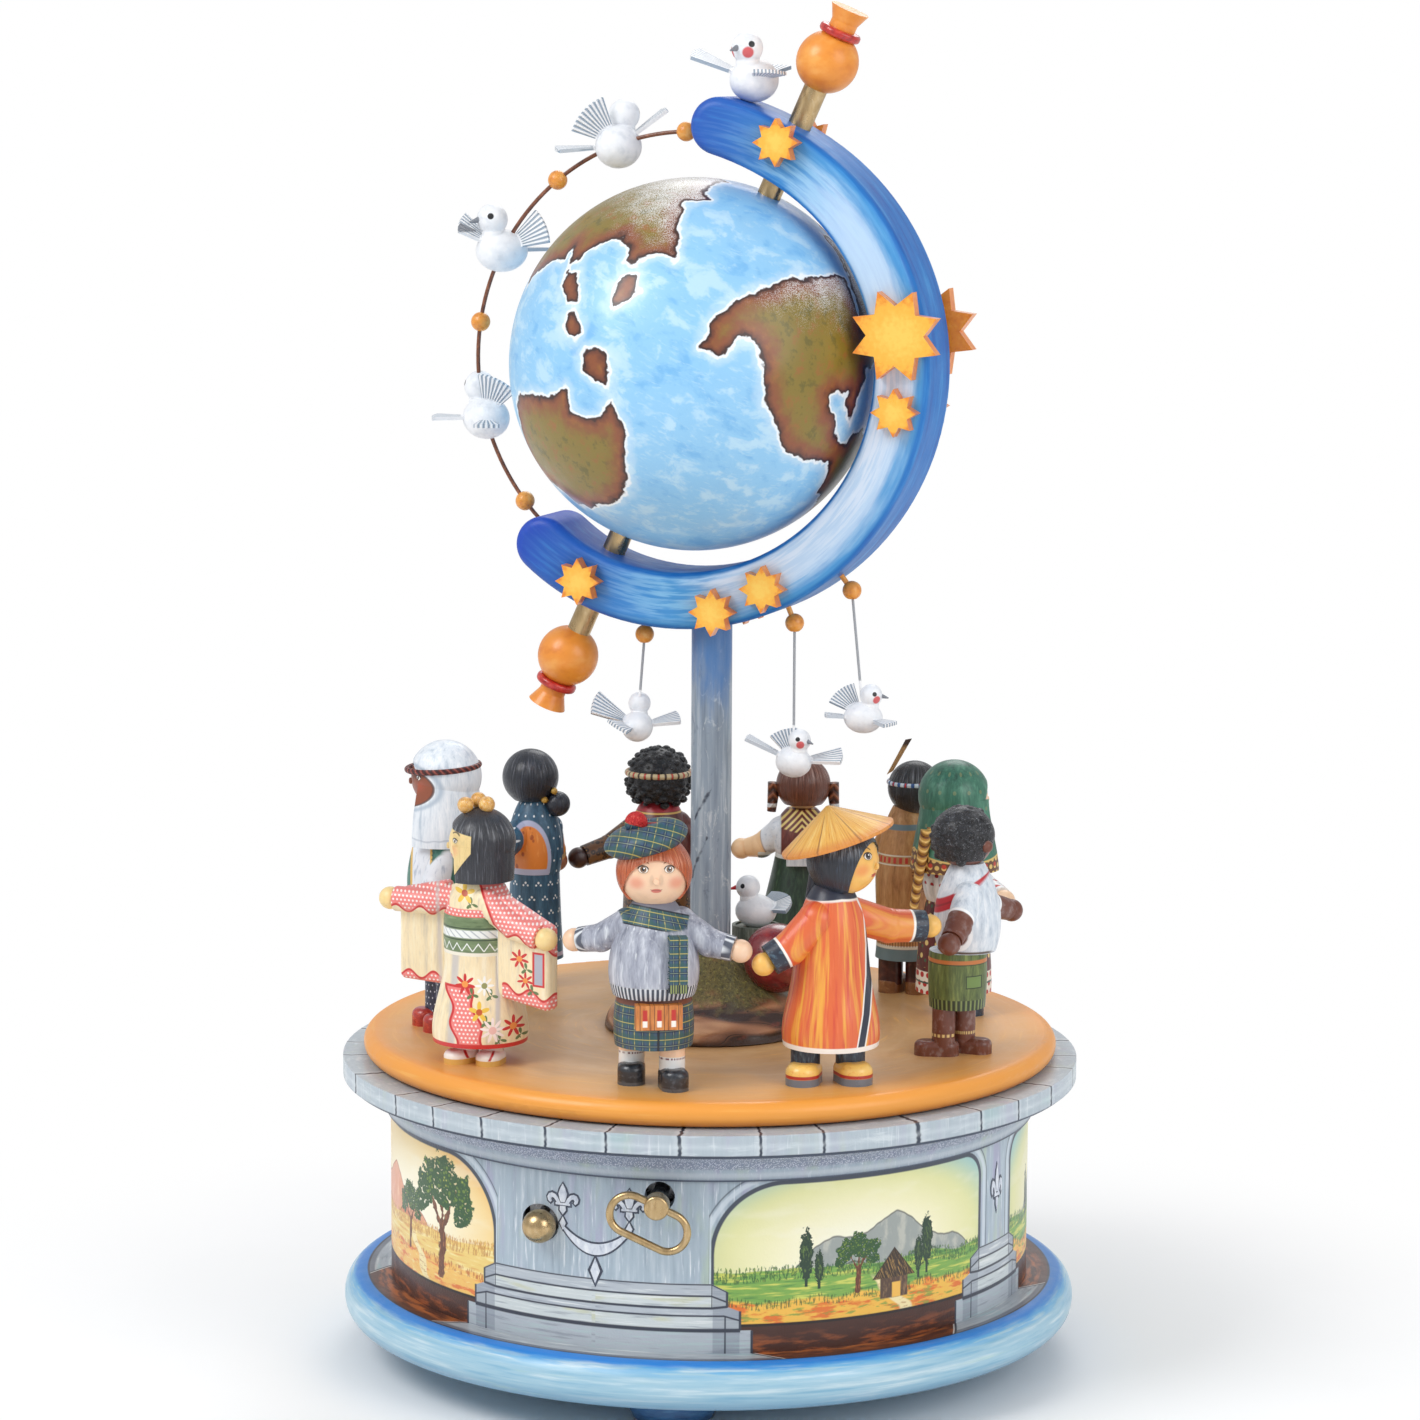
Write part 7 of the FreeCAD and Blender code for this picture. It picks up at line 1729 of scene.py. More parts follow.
def paint_braids_girl():
    name = "braids_girl"
    tone = rgb(248, 206, 158)
    skirt = cloth(name, "skirt", rgb(38, 62, 46), rgb(76, 106, 74), rgb(20, 36, 30), view_angle,
                  (1.3, 1.3, 20.0))
    apron = skirt.line(skirt.size(skirt.x - 6.6 + (45.0 - skirt.z) * -0.08), 7.0, 0.4)
    skirt.lay(rgb(112, 150, 98), apron * skirt.step(skirt.y, 4.0, 0.0))
    skirt.lay(rgb(74, 116, 70), apron * skirt.patches((1.0, 1.0, 16.0), 3, 0.5, 0.8), 0.7)
    skirt.lay(rgb(224, 228, 224), skirt.within(skirt.z, 43.6, 45.4))
    skirt.lay(rgb(196, 60, 52), skirt.within(skirt.z, 12.6, 13.8))
    bodice = cloth(name, "bodice", rgb(112, 50, 42), rgb(150, 82, 66), rgb(66, 28, 28), view_angle,
                   (1.5, 1.5, 8.0))
    gap = hand_gap(bodice, name)
    upper = bodice.step(bodice.z - bodice.size(bodice.x) * 0.2, 53.0, 53.6)
    bodice.lay(rgb(240, 212, 130), bodice.step(bodice.reach(), 11.4, 10.8) * upper
               * bodice.step(bodice.size(bodice.math("FRACT", (bodice.z + bodice.size(bodice.x)) / 2.2)
                                         - 0.5), 0.3, 0.16))
    puff = (bodice.step(bodice.size(bodice.x), 7.2, 7.8) * bodice.step(bodice.z, 43.0, 47.0)
            * bodice.step(gap, 11.0, 12.0))
    bodice.lay(rgb(232, 236, 240), puff)
    bodice.lay(rgb(186, 196, 208), puff * bodice.patches(1.6, 3, 0.56, 0.9), 0.8)
    arm = bodice.step(gap, 11.6, 11.0)
    bodice.lay(tone, arm)
    bow = cloth(name, "bow", rgb(226, 230, 234), rgb(250, 250, 250), rgb(160, 170, 182))
    dress(name, {"garment_0": skirt.done(0.45, 0.2), "garment_1": bodice.done(0.45, 0.2),
                 "hands": skin(name, tone),
                 "legs": skin(name, rgb(232, 230, 226), "stockings"),
                 "shoes": shoe_paint(name, rgb(48, 34, 30), rgb(96, 72, 60)),
                 "bow": bow.done(0.45, 0.2)}, (("bow", (-5.6, 9.9, 41.9), (5.6, 13.1, 47.1)),))
    braid = head_paint(name, "braids").start(rgb(112, 60, 38))
    twist = braid.math("SINE", braid.z * 1.7 + braid.size(braid.size(braid.x) - 10.8) * 1.6)
    braid.lay(rgb(160, 96, 62), braid.step(twist, 0.1, 0.8))
    braid.lay(rgb(62, 32, 24), braid.step(twist, -0.5, -0.9))
    braid.lay(rgb(244, 244, 242), braid.within(braid.z, -7.8, -6.4, 0.2))
    crown(name, {"face": face(name, tone, rgb(92, 110, 70), rgb(130, 78, 46), rgb(206, 90, 84),
                              rgb(236, 140, 120)),
                 "hair": hair(name, rgb(112, 60, 38), rgb(168, 104, 72)),
                 "braids": braid.done(0.42, 0.3, twist * 2.0, 0.5)},
          (("braids", lambda own, view: np.abs(own[:, 0]) > 7.6),))


def paint_curly_child():
    name = "curly_child"
    tone = rgb(66, 38, 32)
    robe = cloth(name, "robe", rgb(84, 34, 32), rgb(120, 56, 46), rgb(48, 20, 22), view_angle,
                 (1.8, 1.8, 10.0))
    spots = robe.cells(2.0)
    panel = robe.step(robe.z + robe.x * 1.4, 46.0, 42.0)
    robe.lay(rgb(120, 84, 46), panel, 0.8)
    robe.lay(rgb(38, 22, 18), panel * robe.line(robe.size(spots - 0.34), 0.3, 0.08), 0.9)
    robe.lay(rgb(196, 150, 82), panel * robe.step(spots, 0.2, 0.1), 0.7)
    robe.lay(rgb(158, 36, 46), robe.step(robe.z, 59.4, 60.0))
    robe.lay(rgb(206, 164, 84), robe.line(robe.size(robe.z - 59.2), 0.6, 0.15))
    robe.lay(rgb(206, 164, 84), robe.within(robe.z, 21.4, 22.6, 0.15))
    dress(name, {"garment_0": robe.done(0.45, 0.2), "hands": skin(name, tone),
                 "legs": skin(name, tone, "legs"),
                 "shoes": shoe_paint(name, rgb(62, 42, 34), rgb(110, 80, 62))})
    band = head_paint(name, "band").start(rgb(188, 170, 132))
    band.lay(rgb(62, 42, 30), band.stripe(band.around(), 12.0, 4.0, 0.8))
    band.lay(rgb(180, 56, 40), band.stripe(band.around() + 6.0, 24.0, 3.0, 0.6))
    curly = hair(name, rgb(26, 26, 30), rgb(82, 86, 94), "hair", True)
    crown(name, {"face": face(name, tone, rgb(40, 24, 20), rgb(22, 16, 16), rgb(120, 50, 46),
                              rgb(110, 48, 40)),
                 "hair": curly, "band": band.done(0.5, 0.15)},
                 (("band", lambda own, view: view[:, 2] > -40.0),))
    curls(name, curly, 0.1, lambda bearing, rise: abs(rise - 2.5) > 1.9 and rise > -8.6
          and (abs(bearing) > 58 or rise > 5.0))


def paint_bun_girl():
    name = "bun_girl"
    tone = rgb(150, 90, 58)
    blue = rgb(46, 86, 112)
    skirt = cloth(name, "dress", blue, rgb(78, 120, 146), rgb(24, 52, 74), None, (1.6, 1.6, 14.0))
    u = skirt.around() * 0.17
    skirt.lay(rgb(232, 236, 238), skirt.dots(u, skirt.z, 5.1, 0.42))
    skirt.lay(rgb(232, 236, 238), skirt.dots(u + 0.9, skirt.z + 0.9, 5.1, 0.36))
    skirt.lay(rgb(232, 236, 238), skirt.dots(u - 0.9, skirt.z + 0.9, 5.1, 0.36))
    skirt.lay(rgb(190, 180, 206), skirt.within(skirt.z, 11.2, 12.6, 0.2))
    top = cloth(name, "vest", blue, rgb(78, 120, 146), rgb(24, 52, 74), view_angle, (1.6, 1.6, 10.0))
    gap = hand_gap(top, name)
    top.lay(rgb(232, 236, 238), top.dots(top.around() * 0.17, top.z, 4.0, 0.4))
    vest = top.math("SQRT", (top.x + 2.0) * (top.x + 2.0) * 1.4 + (top.z - 47.0) * (top.z - 47.0) * 0.5)
    inner = top.step(vest, 8.4, 8.0) * top.step(top.reach(), 11.4, 10.8) * top.step(top.z, 43.0, 43.4)
    top.lay(rgb(178, 182, 208), top.step(vest, 9.8, 9.4) * top.step(top.reach(), 11.4, 10.8))
    top.lay(rgb(222, 128, 46), inner)
    leaf = top.cells((3.0, 3.0, 4.2))
    top.lay(rgb(158, 70, 30), inner * top.step(leaf, 0.3, 0.2), 0.85)
    top.lay(rgb(246, 176, 92), inner * top.patches((1.4, 1.4, 5.0), 3, 0.6, 0.9), 0.6)
    sleeve = top.step(top.reach(), 10.8, 11.4)
    top.lay(rgb(214, 128, 40), sleeve * top.step(top.x, 6.0, 7.4))
    top.lay(rgb(150, 66, 34), sleeve * top.step(top.x, 6.0, 7.4) * top.step(leaf, 0.3, 0.2), 0.8)
    top.lay(rgb(196, 164, 120), top.within(gap, 5.0, 6.8, 0.2))
    dress(name, {"garment_0": skirt.done(0.45, 0.2), "garment_1": top.done(0.45, 0.2),
                 "hands": skin(name, tone),
                 "legs": skin(name, tone, "legs"),
                 "shoes": shoe_paint(name, rgb(150, 60, 40), rgb(196, 104, 70))})
    beads = plain_paint(name + "_beads", rgb(196, 152, 60), rgb(240, 206, 120), rgb(130, 92, 34),
                        (0.8, 0.8, 0.8))
    crown(name, {"face": face(name, tone, rgb(44, 28, 22), rgb(28, 20, 18), rgb(176, 70, 66),
                              rgb(190, 96, 70)),
                 "hair": hair(name, rgb(30, 34, 46), rgb(74, 82, 104)),
                 "bun": hair(name, rgb(30, 34, 46), rgb(74, 82, 104), "bun"),
                 "beads": beads},
          (("bun", lambda own, view: view[:, 2] > -40.0),
           ("beads", lambda own, view: (np.linalg.norm(view - np.array([8.9, -5.6, -4.0]), axis=1) < 1.35)
            | (np.linalg.norm(view - np.array([5.4, -5.6, -7.2]), axis=1) < 1.35))))


def paint_headcloth_child():
    name = "headcloth_child"
    tone = rgb(142, 76, 50)
    trousers = cloth(name, "trousers", rgb(214, 218, 222), rgb(246, 248, 250), rgb(160, 170, 182), None,
                     (1.6, 1.6, 12.0))
    vest = cloth(name, "vest", rgb(52, 112, 98), rgb(92, 150, 132), rgb(28, 66, 60), view_angle,
                 (1.6, 1.6, 9.0))
    gap = hand_gap(vest, name)
    sleeve = vest.step(vest.reach(), 12.4, 12.9)
    shirt = vest.highest(sleeve, vest.step(vest.size(vest.x + 7.0), 3.6, 3.0)
                         * vest.step(vest.y, 0.5, -0.5))
    vest.lay(rgb(228, 232, 238), shirt)
    vest.lay(rgb(170, 180, 196), shirt * vest.patches((1.2, 1.2, 6.0), 3, 0.56, 0.9), 0.8)
    vest.lay(rgb(220, 176, 84), vest.line(vest.size(vest.size(vest.x + 7.0) - 3.5), 0.8, 0.15)
             * vest.step(vest.y, 0.5, -0.5) * vest.step(vest.reach(), 12.7, 12.3))
    vest.lay(rgb(38, 34, 38), vest.line(vest.size(vest.x + 3.2)
                                        + vest.size(vest.math("SINE", vest.z * 2.4)) * 0.3, 0.5, 0.1)
             * vest.step(vest.y, 0.5, -0.5) * vest.step(vest.reach(), 12.7, 12.3), 0.8)
    sash = vest.step(vest.z, 49.4, 49.0) * vest.step(vest.reach(), 12.7, 12.3)
    vest.lay(rgb(112, 40, 38), sash)
    vest.lay(rgb(168, 84, 62), sash * vest.patches((6.0, 6.0, 0.8), 3, 0.55, 0.85))
    vest.lay(rgb(222, 226, 232), vest.within(gap, 4.0, 7.4, 0.2))
    legs = cloth(name, "leggings", rgb(38, 40, 62), rgb(84, 88, 120), rgb(18, 20, 34), None,
                 (1.4, 1.4, 3.0))
    legs.lay(rgb(210, 214, 226), legs.dots(legs.x + legs.y, legs.z, 2.2, 0.3))
    dress(name, {"garment_0": trousers.done(0.45, 0.2), "garment_1": vest.done(0.45, 0.2),
                 "hands": skin(name, tone),
                 "legs": legs.done(0.45, 0.2),
                 "shoes": shoe_paint(name, rgb(176, 44, 34), rgb(222, 96, 66))})
    turned = 14.0
    colours = (rgb(46, 28, 20), rgb(40, 24, 20), rgb(150, 62, 50), rgb(176, 84, 60))
    look = dict(eye=(0.5, 0.1), eye_size=(1.6, 0.9))
    veil = cloth(name, "headcloth", rgb(226, 232, 238), rgb(252, 253, 254), rgb(176, 190, 204),
                 dolls[name]["head_facing"] + turned, (2.4, 2.4, 16.0), True)
    opening = blob(veil, veil.size(veil.around()), veil.z, (0.0, -2.6), (60.0, 6.4))
    bare = veil.step(opening, 1.03, 0.99)
    veil.lay(tone, bare)
    veil.lay(shade_of(tone, 0.75), bare * veil.patches(3.4, 3, 0.5, 0.9), 0.6)
    lay_face(veil, name, tone, *colours, mask=bare, **look)
    veil.lay(rgb(86, 52, 44), veil.line(veil.size(opening - 1.02), 0.07, 0.02), 0.9)
    veil.lay(rgb(168, 184, 200), veil.line(veil.size(opening - 1.22), 0.16, 0.08)
             * veil.step(veil.y, 2.0, 0.0), 0.8)
    veil.lay(rgb(168, 178, 192), veil.line(veil.size(veil.z + 19.0 + veil.noise((6.0, 6.0, 6.0), 1) * 2.0),
                                           0.6, 0.3), 0.6)
    cord = head_paint(name, "cord").start(rgb(96, 34, 34))
    twist = cord.math("SINE", cord.around() * 0.55 + cord.z * 2.4)
    cord.lay(rgb(156, 76, 62), cord.step(twist, 0.2, 0.9))
    cord.lay(rgb(50, 16, 18), cord.step(twist, -0.5, -0.9))
    crown(name, {"face": face(name, tone, *colours, turned, **look),
                 "hair": veil.done(0.45, 0.25), "cord": cord.done(0.5, 0.2, twist * 1.5, 0.4)},
          (("cord", lambda own, view: (own[:, 2] > 1.6) & (own[:, 2] < 6.0)),))


def paint_kimono_girl():
    name = "kimono_girl"
    tone = rgb(246, 216, 150)
    cream = rgb(246, 226, 184)
    pink, red = rgb(238, 130, 124), rgb(206, 44, 44)

    def shibori(paint, edge, mask=1.0):
        """Pink cloth with white dots where the edge distance is above 0, outlined in red."""
        paint.lay(pink, paint.step(edge, -0.15, 0.15) * mask)
        paint.lay(rgb(252, 238, 232), paint.step(edge, 0.7, 1.0) * mask
                  * paint.dots(paint.x, paint.z, 1.35, 0.36, 0.1))
        paint.lay(red, paint.line(paint.size(edge), 0.8, 0.15) * mask)

    def spray(paint, places, mask):
        """Flowers with a stem and a leaf each."""
        for u, v, size, petals, colour, heart in places:
            stem = paint.stroke((u, v, 0), (u + 2.2, v - 4.4, 0), paint.join(paint.x, paint.z, 0.0))
            paint.lay(rgb(78, 96, 62), mask * paint.line(stem, 0.3, 0.08))
            leaf, _ = paint.flower(paint.x, paint.z, (u + 2.4, v - 3.2), 2.2, 3, 0.6, 0.7)
            paint.lay(rgb(98, 122, 74), mask * leaf)
            petal, middle = paint.flower(paint.x, paint.z, (u, v), size * 1.4, petals)
            paint.lay(colour, petal * mask)
            paint.lay(heart, middle * mask)

    skirt = cloth(name, "kimono_skirt", cream, rgb(252, 242, 214), rgb(206, 192, 170), view_angle,
                  (2.2, 2.2, 26.0))
    front = skirt.step(skirt.y, 1.5, -1.5)
    # Grey lines down the skirt: painted shade in its folds.
    folds = skirt.line(skirt.size(skirt.x + 9.4 - skirt.z * 0.05), 2.4, 0.6)
    skirt.lay(rgb(186, 184, 190), skirt.highest(folds, skirt.line(skirt.size(skirt.x - 6.4), 1.6, 0.5)),
              0.7)
    wave = skirt.math("SINE", skirt.z * 0.55) * 0.9
    strip = 3.6 + (26.0 - skirt.z) * 0.06 - skirt.size(skirt.x + 6.4 - (26.0 - skirt.z) * 0.2) + wave
    shibori(skirt, skirt.lowest(strip, 26.5 - skirt.z), front)
    spray(skirt, ((-4.4, 27.4, 2.5, 7, rgb(206, 46, 44), rgb(240, 150, 70)),
                  (2.0, 27.0, 2.3, 8, rgb(248, 246, 240), rgb(150, 150, 92)),
                  (0.4, 18.6, 2.5, 5, rgb(240, 196, 70), rgb(200, 90, 40)),
                  (4.8, 12.6, 3.0, 9, rgb(250, 232, 226), rgb(240, 190, 180)),
                  (11.4, 13.4, 2.6, 7, rgb(206, 46, 44), rgb(240, 150, 70))), front)
    back = skirt.step(skirt.y, -1.5, 1.5)
    spray(skirt, ((-6.0, 24.0, 2.5, 7, rgb(206, 46, 44), rgb(240, 150, 70)),
                  (5.0, 18.0, 2.6, 5, rgb(240, 196, 70), rgb(200, 90, 40)),
                  (-1.0, 13.0, 2.6, 8, rgb(248, 246, 240), rgb(150, 150, 92))), back)
    skirt.lay(red, skirt.step(skirt.z, 8.1, 7.8))
    obi = body_paint(name, "obi", view_angle).start(rgb(112, 132, 92))
    obi.tint(rgb(152, 170, 126), rgb(74, 94, 62), (5.0, 5.0, 1.2), 0.7)
    obi.lay(rgb(238, 240, 236), obi.within(obi.z, 42.6, 45.2, 0.2))
    obi.lay(rgb(160, 168, 176), obi.within(obi.z, 42.6, 45.2, 0.2)
            * obi.stripe(obi.around() + obi.z * 6.0, 14.0, 3.0, 1.5), 0.8)
    zigzag = obi.size(obi.size(obi.math("FRACT", obi.around() / 18.0) - 0.5) * 5.2 - (obi.z - 38.2))
    obi.lay(rgb(240, 242, 236), obi.line(zigzag, 0.6, 0.15) * obi.within(obi.z, 38.2, 41.2))
    obi.lay(rgb(54, 72, 50), obi.line(obi.size(obi.z - 42.0), 0.4, 0.1))
    obi.lay(rgb(54, 72, 50), obi.line(obi.size(obi.z - 45.8), 0.4, 0.1))
    obi.lay(rgb(240, 232, 214), obi.step(obi.z, 37.9, 37.6))
    knot_leaf = obi.step(obi.reach(), 12.6, 13.2) * obi.stripe(obi.z, 3.4, 0.5, 0.15)
    obi.lay(rgb(236, 222, 160), knot_leaf)
    top = cloth(name, "kimono_top", cream, rgb(252, 242, 214), rgb(206, 192, 170), view_angle,
                (2.2, 2.2, 20.0))
    front = top.step(top.y, 3.0, 1.0)
    scallop = top.math("SINE", top.x * 0.75 + 1.2) * 1.3
    left_low = 25.0 + scallop - top.z
    left_high = top.z - 47.6 + scallop
    left = top.step(top.x, -9.6, -10.0)
    right_low = 26.6 - (top.x - 9.0) * 0.12 + scallop - top.z
    right_high = top.lowest(top.z - 46.8 + (top.x - 5.0) * 0.34 + scallop,
                            top.x - 0.4 + (top.z - 60.0) * 0.4)
    right = top.step(top.x, 7.6, 8.0)
    shibori(top, top.highest(left_low, left_high), left)
    shibori(top, right_low, right)
    shibori(top, right_high, top.step(top.x, -0.6, -0.2))
    sash = top.within(top.z, 49.4, 52.0, 0.2) * top.step(top.reach(), 12.6, 12.2)
    top.lay(pink, sash)
    top.lay(rgb(252, 238, 232), sash * top.dots(top.x, top.z, 1.3, 0.34, 0.1))
    spray(top, ((-18.4, 38.6, 2.6, 7, rgb(206, 46, 44), rgb(240, 150, 70)),
                (13.6, 36.8, 2.3, 7, rgb(206, 46, 44), rgb(240, 150, 70)),
                (15.6, 29.8, 2.0, 7, rgb(206, 46, 44), rgb(240, 150, 70)),
                (-4.6, 57.0, 2.5, 5, rgb(240, 196, 70), rgb(190, 80, 40))), front)
    slit = top.highest(top.size(top.x - 20.0) - 1.7, top.size(top.z - 34.0) - 5.4)
    top.lay(rgb(176, 178, 190), top.step(slit, 0.2, -0.2))
    top.lay(red, top.line(top.size(slit), 0.7, 0.15))
    # Greyish line down the left side: painted shade in a fold.
    top.lay(rgb(200, 190, 186), top.line(top.size(top.x + 13.0 + top.z * 0.03), 1.2, 0.5) * left, 0.7)
    feet = body_paint(name, "sandals", view_angle).start(rgb(222, 176, 90))
    feet.lay(rgb(248, 244, 236), feet.step(feet.z, 1.7, 2.0))
    feet.lay(rgb(190, 40, 40), feet.line(feet.size(feet.size(feet.x) - 2.6 - feet.z * 0.5), 0.9, 0.2)
             * feet.step(feet.z, 1.8, 2.1))
    dress(name, {"garment_0": skirt.done(0.42, 0.25), "garment_1": obi.done(0.42, 0.25),
                 "garment_2": top.done(0.42, 0.25),
                 "hands": skin(name, tone), "legs": skin(name, rgb(244, 240, 232), "socks"),
                 "shoes": feet.done(0.4, 0.3),
                 "knot": obi.material}, (("knot", (-6.6, 11.9, 37.4), (6.6, 14.6, 48.6)),
                                         ("garment_0", (-30.0, -30.0, 6.48), (30.0, 30.0, 19.8))),
          ((15.6, 6.5), (15.9, 9.0), (14.4, 20.0), (12.0, 36.6)))
    gold = head_paint(name, "gold_balls").start(rgb(222, 160, 62))
    gold.tint(rgb(248, 214, 130), rgb(166, 104, 32), (1.6, 1.6, 1.6), 0.7)
    swirl = gold.noise((1.6, 1.6, 1.6), 3, None, 0.6, 3.0)
    gold.lay(rgb(246, 232, 200), gold.line(gold.size(swirl - 0.5), 0.05, 0.02), 0.8)
    colours = (rgb(64, 46, 30), rgb(44, 36, 34), rgb(214, 84, 76), rgb(246, 170, 120))
    look = dict(eye=(0.52, 0.16), eye_size=(1.5, 0.85))
    turned = 14.0

    def uncovered(paint):
        """Skin of the cheeks in front of the hair, below a straight fringe."""
        bearing = paint.size(paint.around()) + paint.highest(paint.z * -1.0 - 2.0, 0.0) * 4.2
        fringe = paint.z - 5.6 + bearing * 0.03
        cheek = (paint.step(bearing, 68.5, 67.5) * paint.step(fringe, 0.15, -0.15)
                 * paint.step(paint.z, -9.6, -9.2))
        paint.lay(tone, cheek)
        paint.lay(shade_of(tone, 0.8), cheek * paint.patches(3.4, 3, 0.55, 0.9), 0.5)
        lay_face(paint, name, tone, *colours, mask=cheek, **look)
        paint.lay(rgb(30, 30, 36), paint.line(paint.size(bearing - 68.0), 1.6, 0.5)
                  * paint.step(fringe, 0.2, 0.0))

    black, grey = rgb(44, 46, 54), rgb(120, 124, 134)
    crown(name, {"face": face(name, tone, *colours, turned, **look),
                 "hair": hair(name, black, grey, "hair", False, turned, uncovered),
                 "bob": hair(name, black, grey, "bob", False, turned, uncovered),
                 "gold": gold.done(0.34, 0.45)},
          (("bob", lambda own, view: own[:, 2] < 9.0), ("gold", lambda own, view: own[:, 2] >= 9.0)))


def paint_dolls():
    for paint_doll in (paint_kilt_boy, paint_straw_hat_boy, paint_barefoot_boy, paint_headscarf_girl,
                       paint_feather_child, paint_braids_girl, paint_curly_child, paint_bun_girl,
                       paint_headcloth_child, paint_kimono_girl):
        paint_doll()


def paint_base_and_column():
    def side_of(points):
        """The left panel is warm; the wall is split in two because one shader can't hold both."""
        back = np.degrees(np.arctan2(-points[:, 0], points[:, 1]))
        return np.where(back > 0.5 * panel_pitch, "warm", "cold")

    wear(base_material(), "base_disc")
    wear(feet_material(), "feet")
    wear_parts("drum_wall", {"warm": wall_material(True), "cold": wall_material(False)}, side_of)
    wear(cornice_material(), "cornice_ring")
    wear(turntable_material(), "turntable_disc")
    wear(column_material(), "column")
    wear(mound_material(), "mound")
    wear(bow_material(), "meridian_bow")
    wear(star_material(star_centres()), "bow_stars")
    for title, names, base, light, dark, *finish in (
            ("lacquered_ball", ("red_ball",), rgb(122, 28, 34), rgb(166, 52, 50), rgb(70, 12, 20),
             (5.0, 5.0, 5.0), 0.25, 0.8),
            ("stump_bark", ("tree_stump",), rgb(112, 120, 108), rgb(158, 166, 152), rgb(66, 74, 66),
             (1.0, 1.0, 7.0), 0.5, 0.15, 0.4),
            ("copper_wire", ("dove_wire",), rgb(122, 70, 44), rgb(170, 108, 76), rgb(76, 40, 26),
             (2.0, 2.0, 2.0), 0.35, 0.3),
            ("orange_beads", ("wire_beads", "hanger_beads"), rgb(234, 154, 60), rgb(248, 190, 106),
             rgb(196, 108, 36), (2.5, 2.5, 2.5), 0.36, 0.35),
            ("orange_finials", ("finials",), rgb(236, 146, 48), rgb(246, 174, 84), rgb(214, 118, 32),
             (9.0, 9.0, 6.0), 0.4, 0.3),
            ("red_collars", ("finial_collars",), rgb(190, 40, 34), rgb(226, 84, 62), rgb(122, 18, 22),
             (2.0, 2.0, 2.0), 0.3, 0.5)):
        wear(plain_paint(title, base, light, dark, *finish), *names)


def finish_metal():
    aged = metal_material("aged_brass", rgb(196, 168, 124), rgb(226, 206, 170), rgb(140, 110, 72), 0.3)
    bright = metal_material("bright_brass", rgb(206, 172, 98), rgb(240, 214, 150), rgb(150, 116, 60), 0.28)
    steel = metal_material("ground_steel", rgb(160, 162, 166), rgb(206, 208, 212), rgb(104, 106, 112), 0.3)
    wear(aged, "winding_key", "stop_knob", "axis_tube")
    wear(bright, "spring_barrel", "tone_cylinder", "governor_rotor", "turntable_bush")
    wear(steel, "winding_arbor", "cylinder_arbor", "stop_rod", "steel_comb", "bedplate_screws",
         "movement_bedplate")
    wood = plain_paint("bare_wood", rgb(206, 166, 116), rgb(226, 192, 146), rgb(160, 116, 72),
                       (14.0, 1.2, 1.2), 0.6, 0.0, 0.2)
    wear(wood, "centre_post", "movement_block")
    wear(plain_paint("washer_plastic", rgb(224, 220, 206), rgb(238, 236, 226), rgb(196, 190, 172),
                     (3.0, 3.0, 3.0), 0.5, 0.0), "thrust_washer")
    wear(plain_paint("black_rubber", rgb(30, 30, 32), rgb(48, 48, 50), rgb(16, 16, 18),
                     (2.0, 2.0, 2.0), 0.8, 0.0), "friction_wheel")


# Camera, light and floor

def photo_camera(scene):
    """Camera fitted to the photograph: place in metres, tilt down, turn and roll."""
    place = (0.5007, -1.4140, 0.4425)
    tilt_down, lean = 8.4, 0.3
    camera_data = bpy.data.cameras.new("photo_camera")
    camera_data.lens = 113.3
    camera_data.sensor_width = 36.0
    camera_data.shift_x = -0.0011
    camera_data.clip_start = 0.05
    camera_data.clip_end = 30.0
    camera = bpy.data.objects.new("photo_camera", camera_data)
    scene.collection.objects.link(camera)
    turn = Matrix.Rotation(view_angle * degree, 4, "Z")
    pitch = Matrix.Rotation((90 - tilt_down) * degree, 4, "X")
    roll = Matrix.Rotation(lean * degree, 4, "Z")
    camera.matrix_world = Matrix.Translation(place) @ turn @ pitch @ roll
    scene.camera = camera


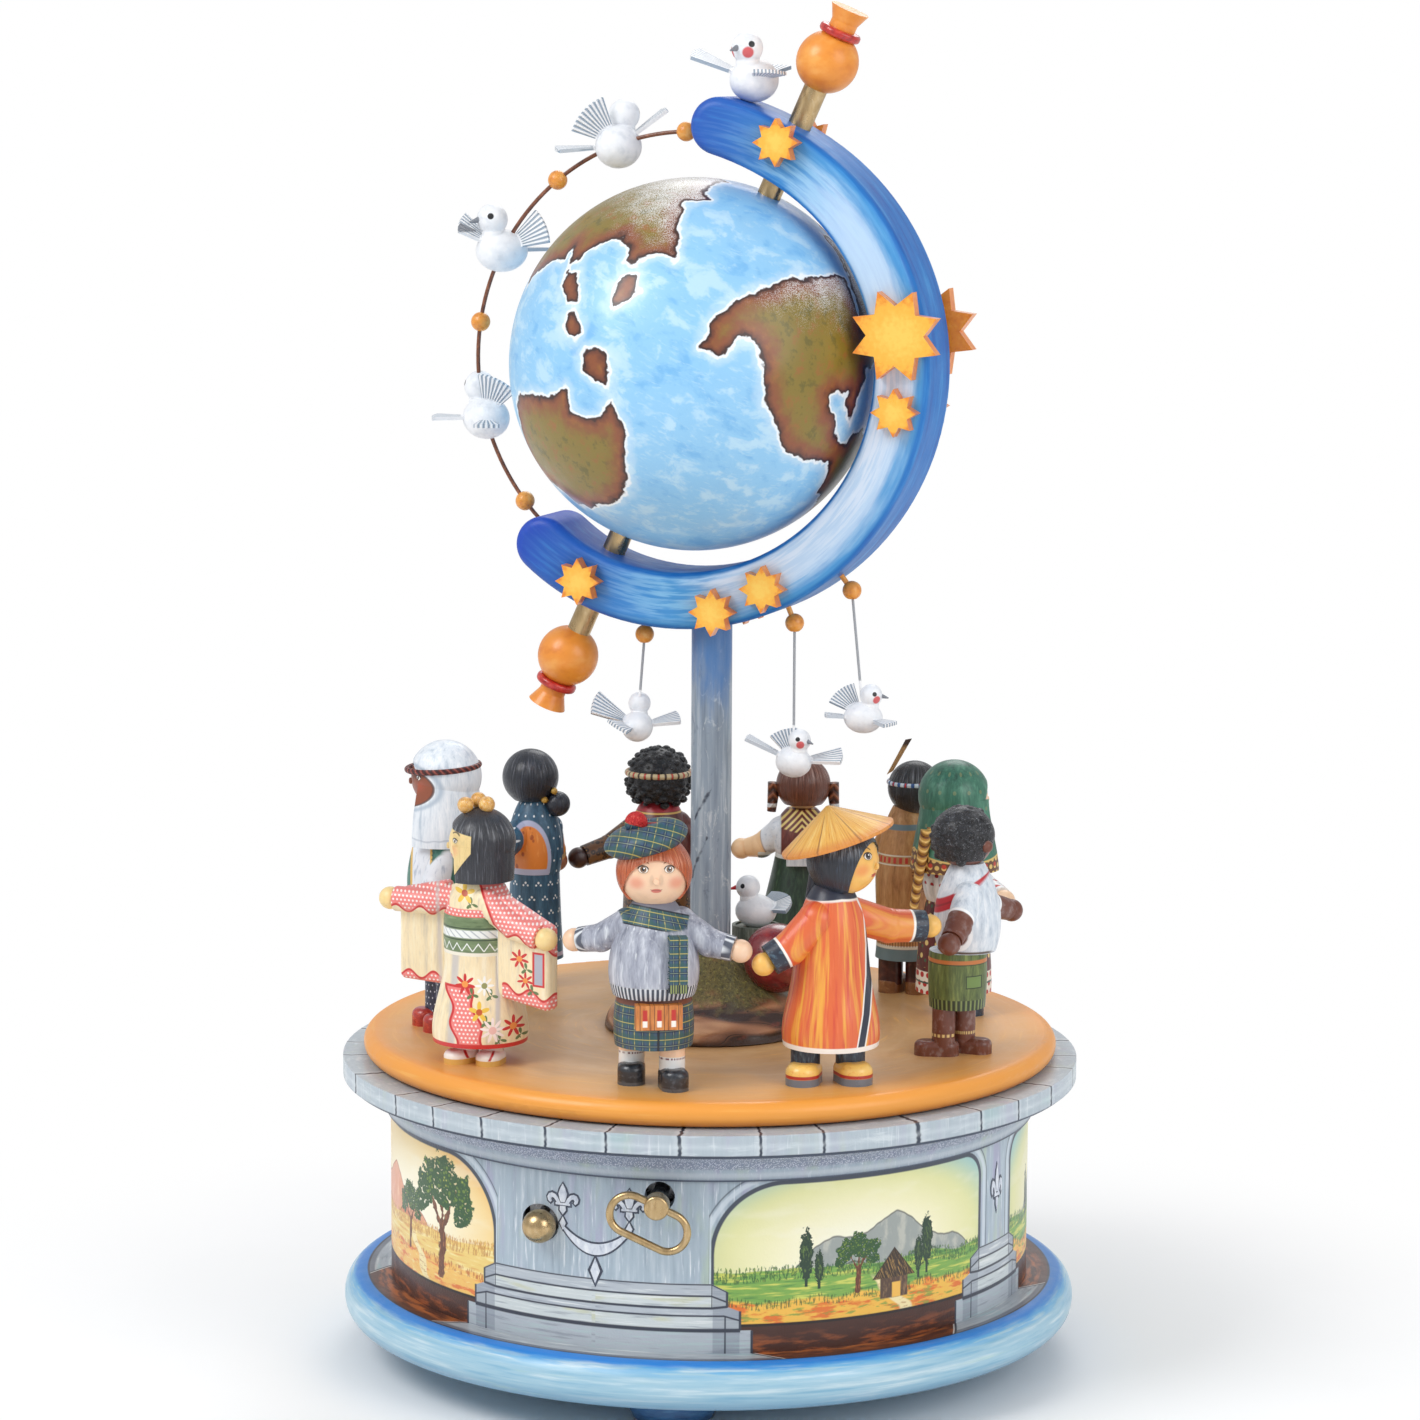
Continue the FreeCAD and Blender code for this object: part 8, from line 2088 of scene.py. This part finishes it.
def studio_world(scene):
    """Soft bluish light from all round, with a white background for the camera."""
    world = bpy.data.worlds.new("studio_world")
    world.use_nodes = True
    tree = world.node_tree
    tree.nodes.clear()
    output = tree.nodes.new("ShaderNodeOutputWorld")
    path = tree.nodes.new("ShaderNodeLightPath")
    mix = tree.nodes.new("ShaderNodeMixShader")
    tree.links.new(path.outputs["Is Camera Ray"], mix.inputs[0])
    soft, clean = ((0.95, 0.97, 1.0, 1.0), 0.62), ((1.0, 1.0, 1.0, 1.0), 1.0)
    for index, (colour, strength) in enumerate((soft, clean)):
        light = tree.nodes.new("ShaderNodeBackground")
        light.inputs["Color"].default_value = colour
        light.inputs["Strength"].default_value = strength
        tree.links.new(light.outputs[0], mix.inputs[index + 1])
    tree.links.new(mix.outputs[0], output.inputs["Surface"])
    scene.world = world


def studio_lights(scene):
    """Three round lamps, aimed at the middle of the object."""
    target = Vector((0, 0, 0.22))
    for name, place, size, power in (("key_light", (-0.75, -1.0, 1.35), 0.9, 13.0),
                                     ("fill_light", (1.25, -0.6, 0.8), 1.0, 6.5),
                                     ("back_light", (-0.2, 1.2, 1.2), 0.8, 5.0)):
        data = bpy.data.lights.new(name, "AREA")
        data.shape = "DISK"
        data.size = size
        data.energy = power
        light = bpy.data.objects.new(name, data)
        light.location = place
        light.rotation_euler = (target - Vector(place)).to_track_quat("-Z", "Y").to_euler()
        scene.collection.objects.link(light)


def studio_floor():
    """Pale floor with the object's shadow, plain white for the camera farther out."""
    half = 4.0
    floor_mesh = bpy.data.meshes.new("studio_floor")
    floor_mesh.from_pydata([(-half, -half, 0), (half, -half, 0), (half, half, 0), (-half, half, 0)], [],
                           [(0, 1, 2, 3)])
    white = Paint("floor_paper").start(rgb(250, 250, 250))
    white.tint(rgb(252, 252, 252), rgb(246, 246, 246), (90.0, 90.0, 90.0), 0.5)
    floor = piece_from("studio_floor", floor_mesh, white.done(0.85, 0.0, None, 0.01, 4.0))
    far = white.step(white.reach(), 150.0, 330.0)
    sight = white.add("ShaderNodeLightPath")
    shine = white.add("ShaderNodeEmission")
    shine.inputs["Color"].default_value = (1.0, 1.0, 1.0, 1.0)
    blend = white.add("ShaderNodeMixShader")
    white.put(blend.inputs[0], far * Value(white, sight.outputs["Is Camera Ray"]))
    out = white.tree.nodes["Material Output"]
    white.tree.links.new(out.inputs["Surface"].links[0].from_socket, blend.inputs[1])
    white.tree.links.new(shine.outputs[0], blend.inputs[2])
    white.tree.links.new(blend.outputs[0], out.inputs["Surface"])
    floor.location.z = -0.0002


def studio():
    scene = bpy.context.scene
    scene.view_settings.view_transform = "Standard"
    photo_camera(scene)
    studio_world(scene)
    studio_lights(scene)
    studio_floor()


paint_base_and_column()
wall_ornaments()
finish_metal()
paint_doves()
build_globe()
paint_dolls()
studio()
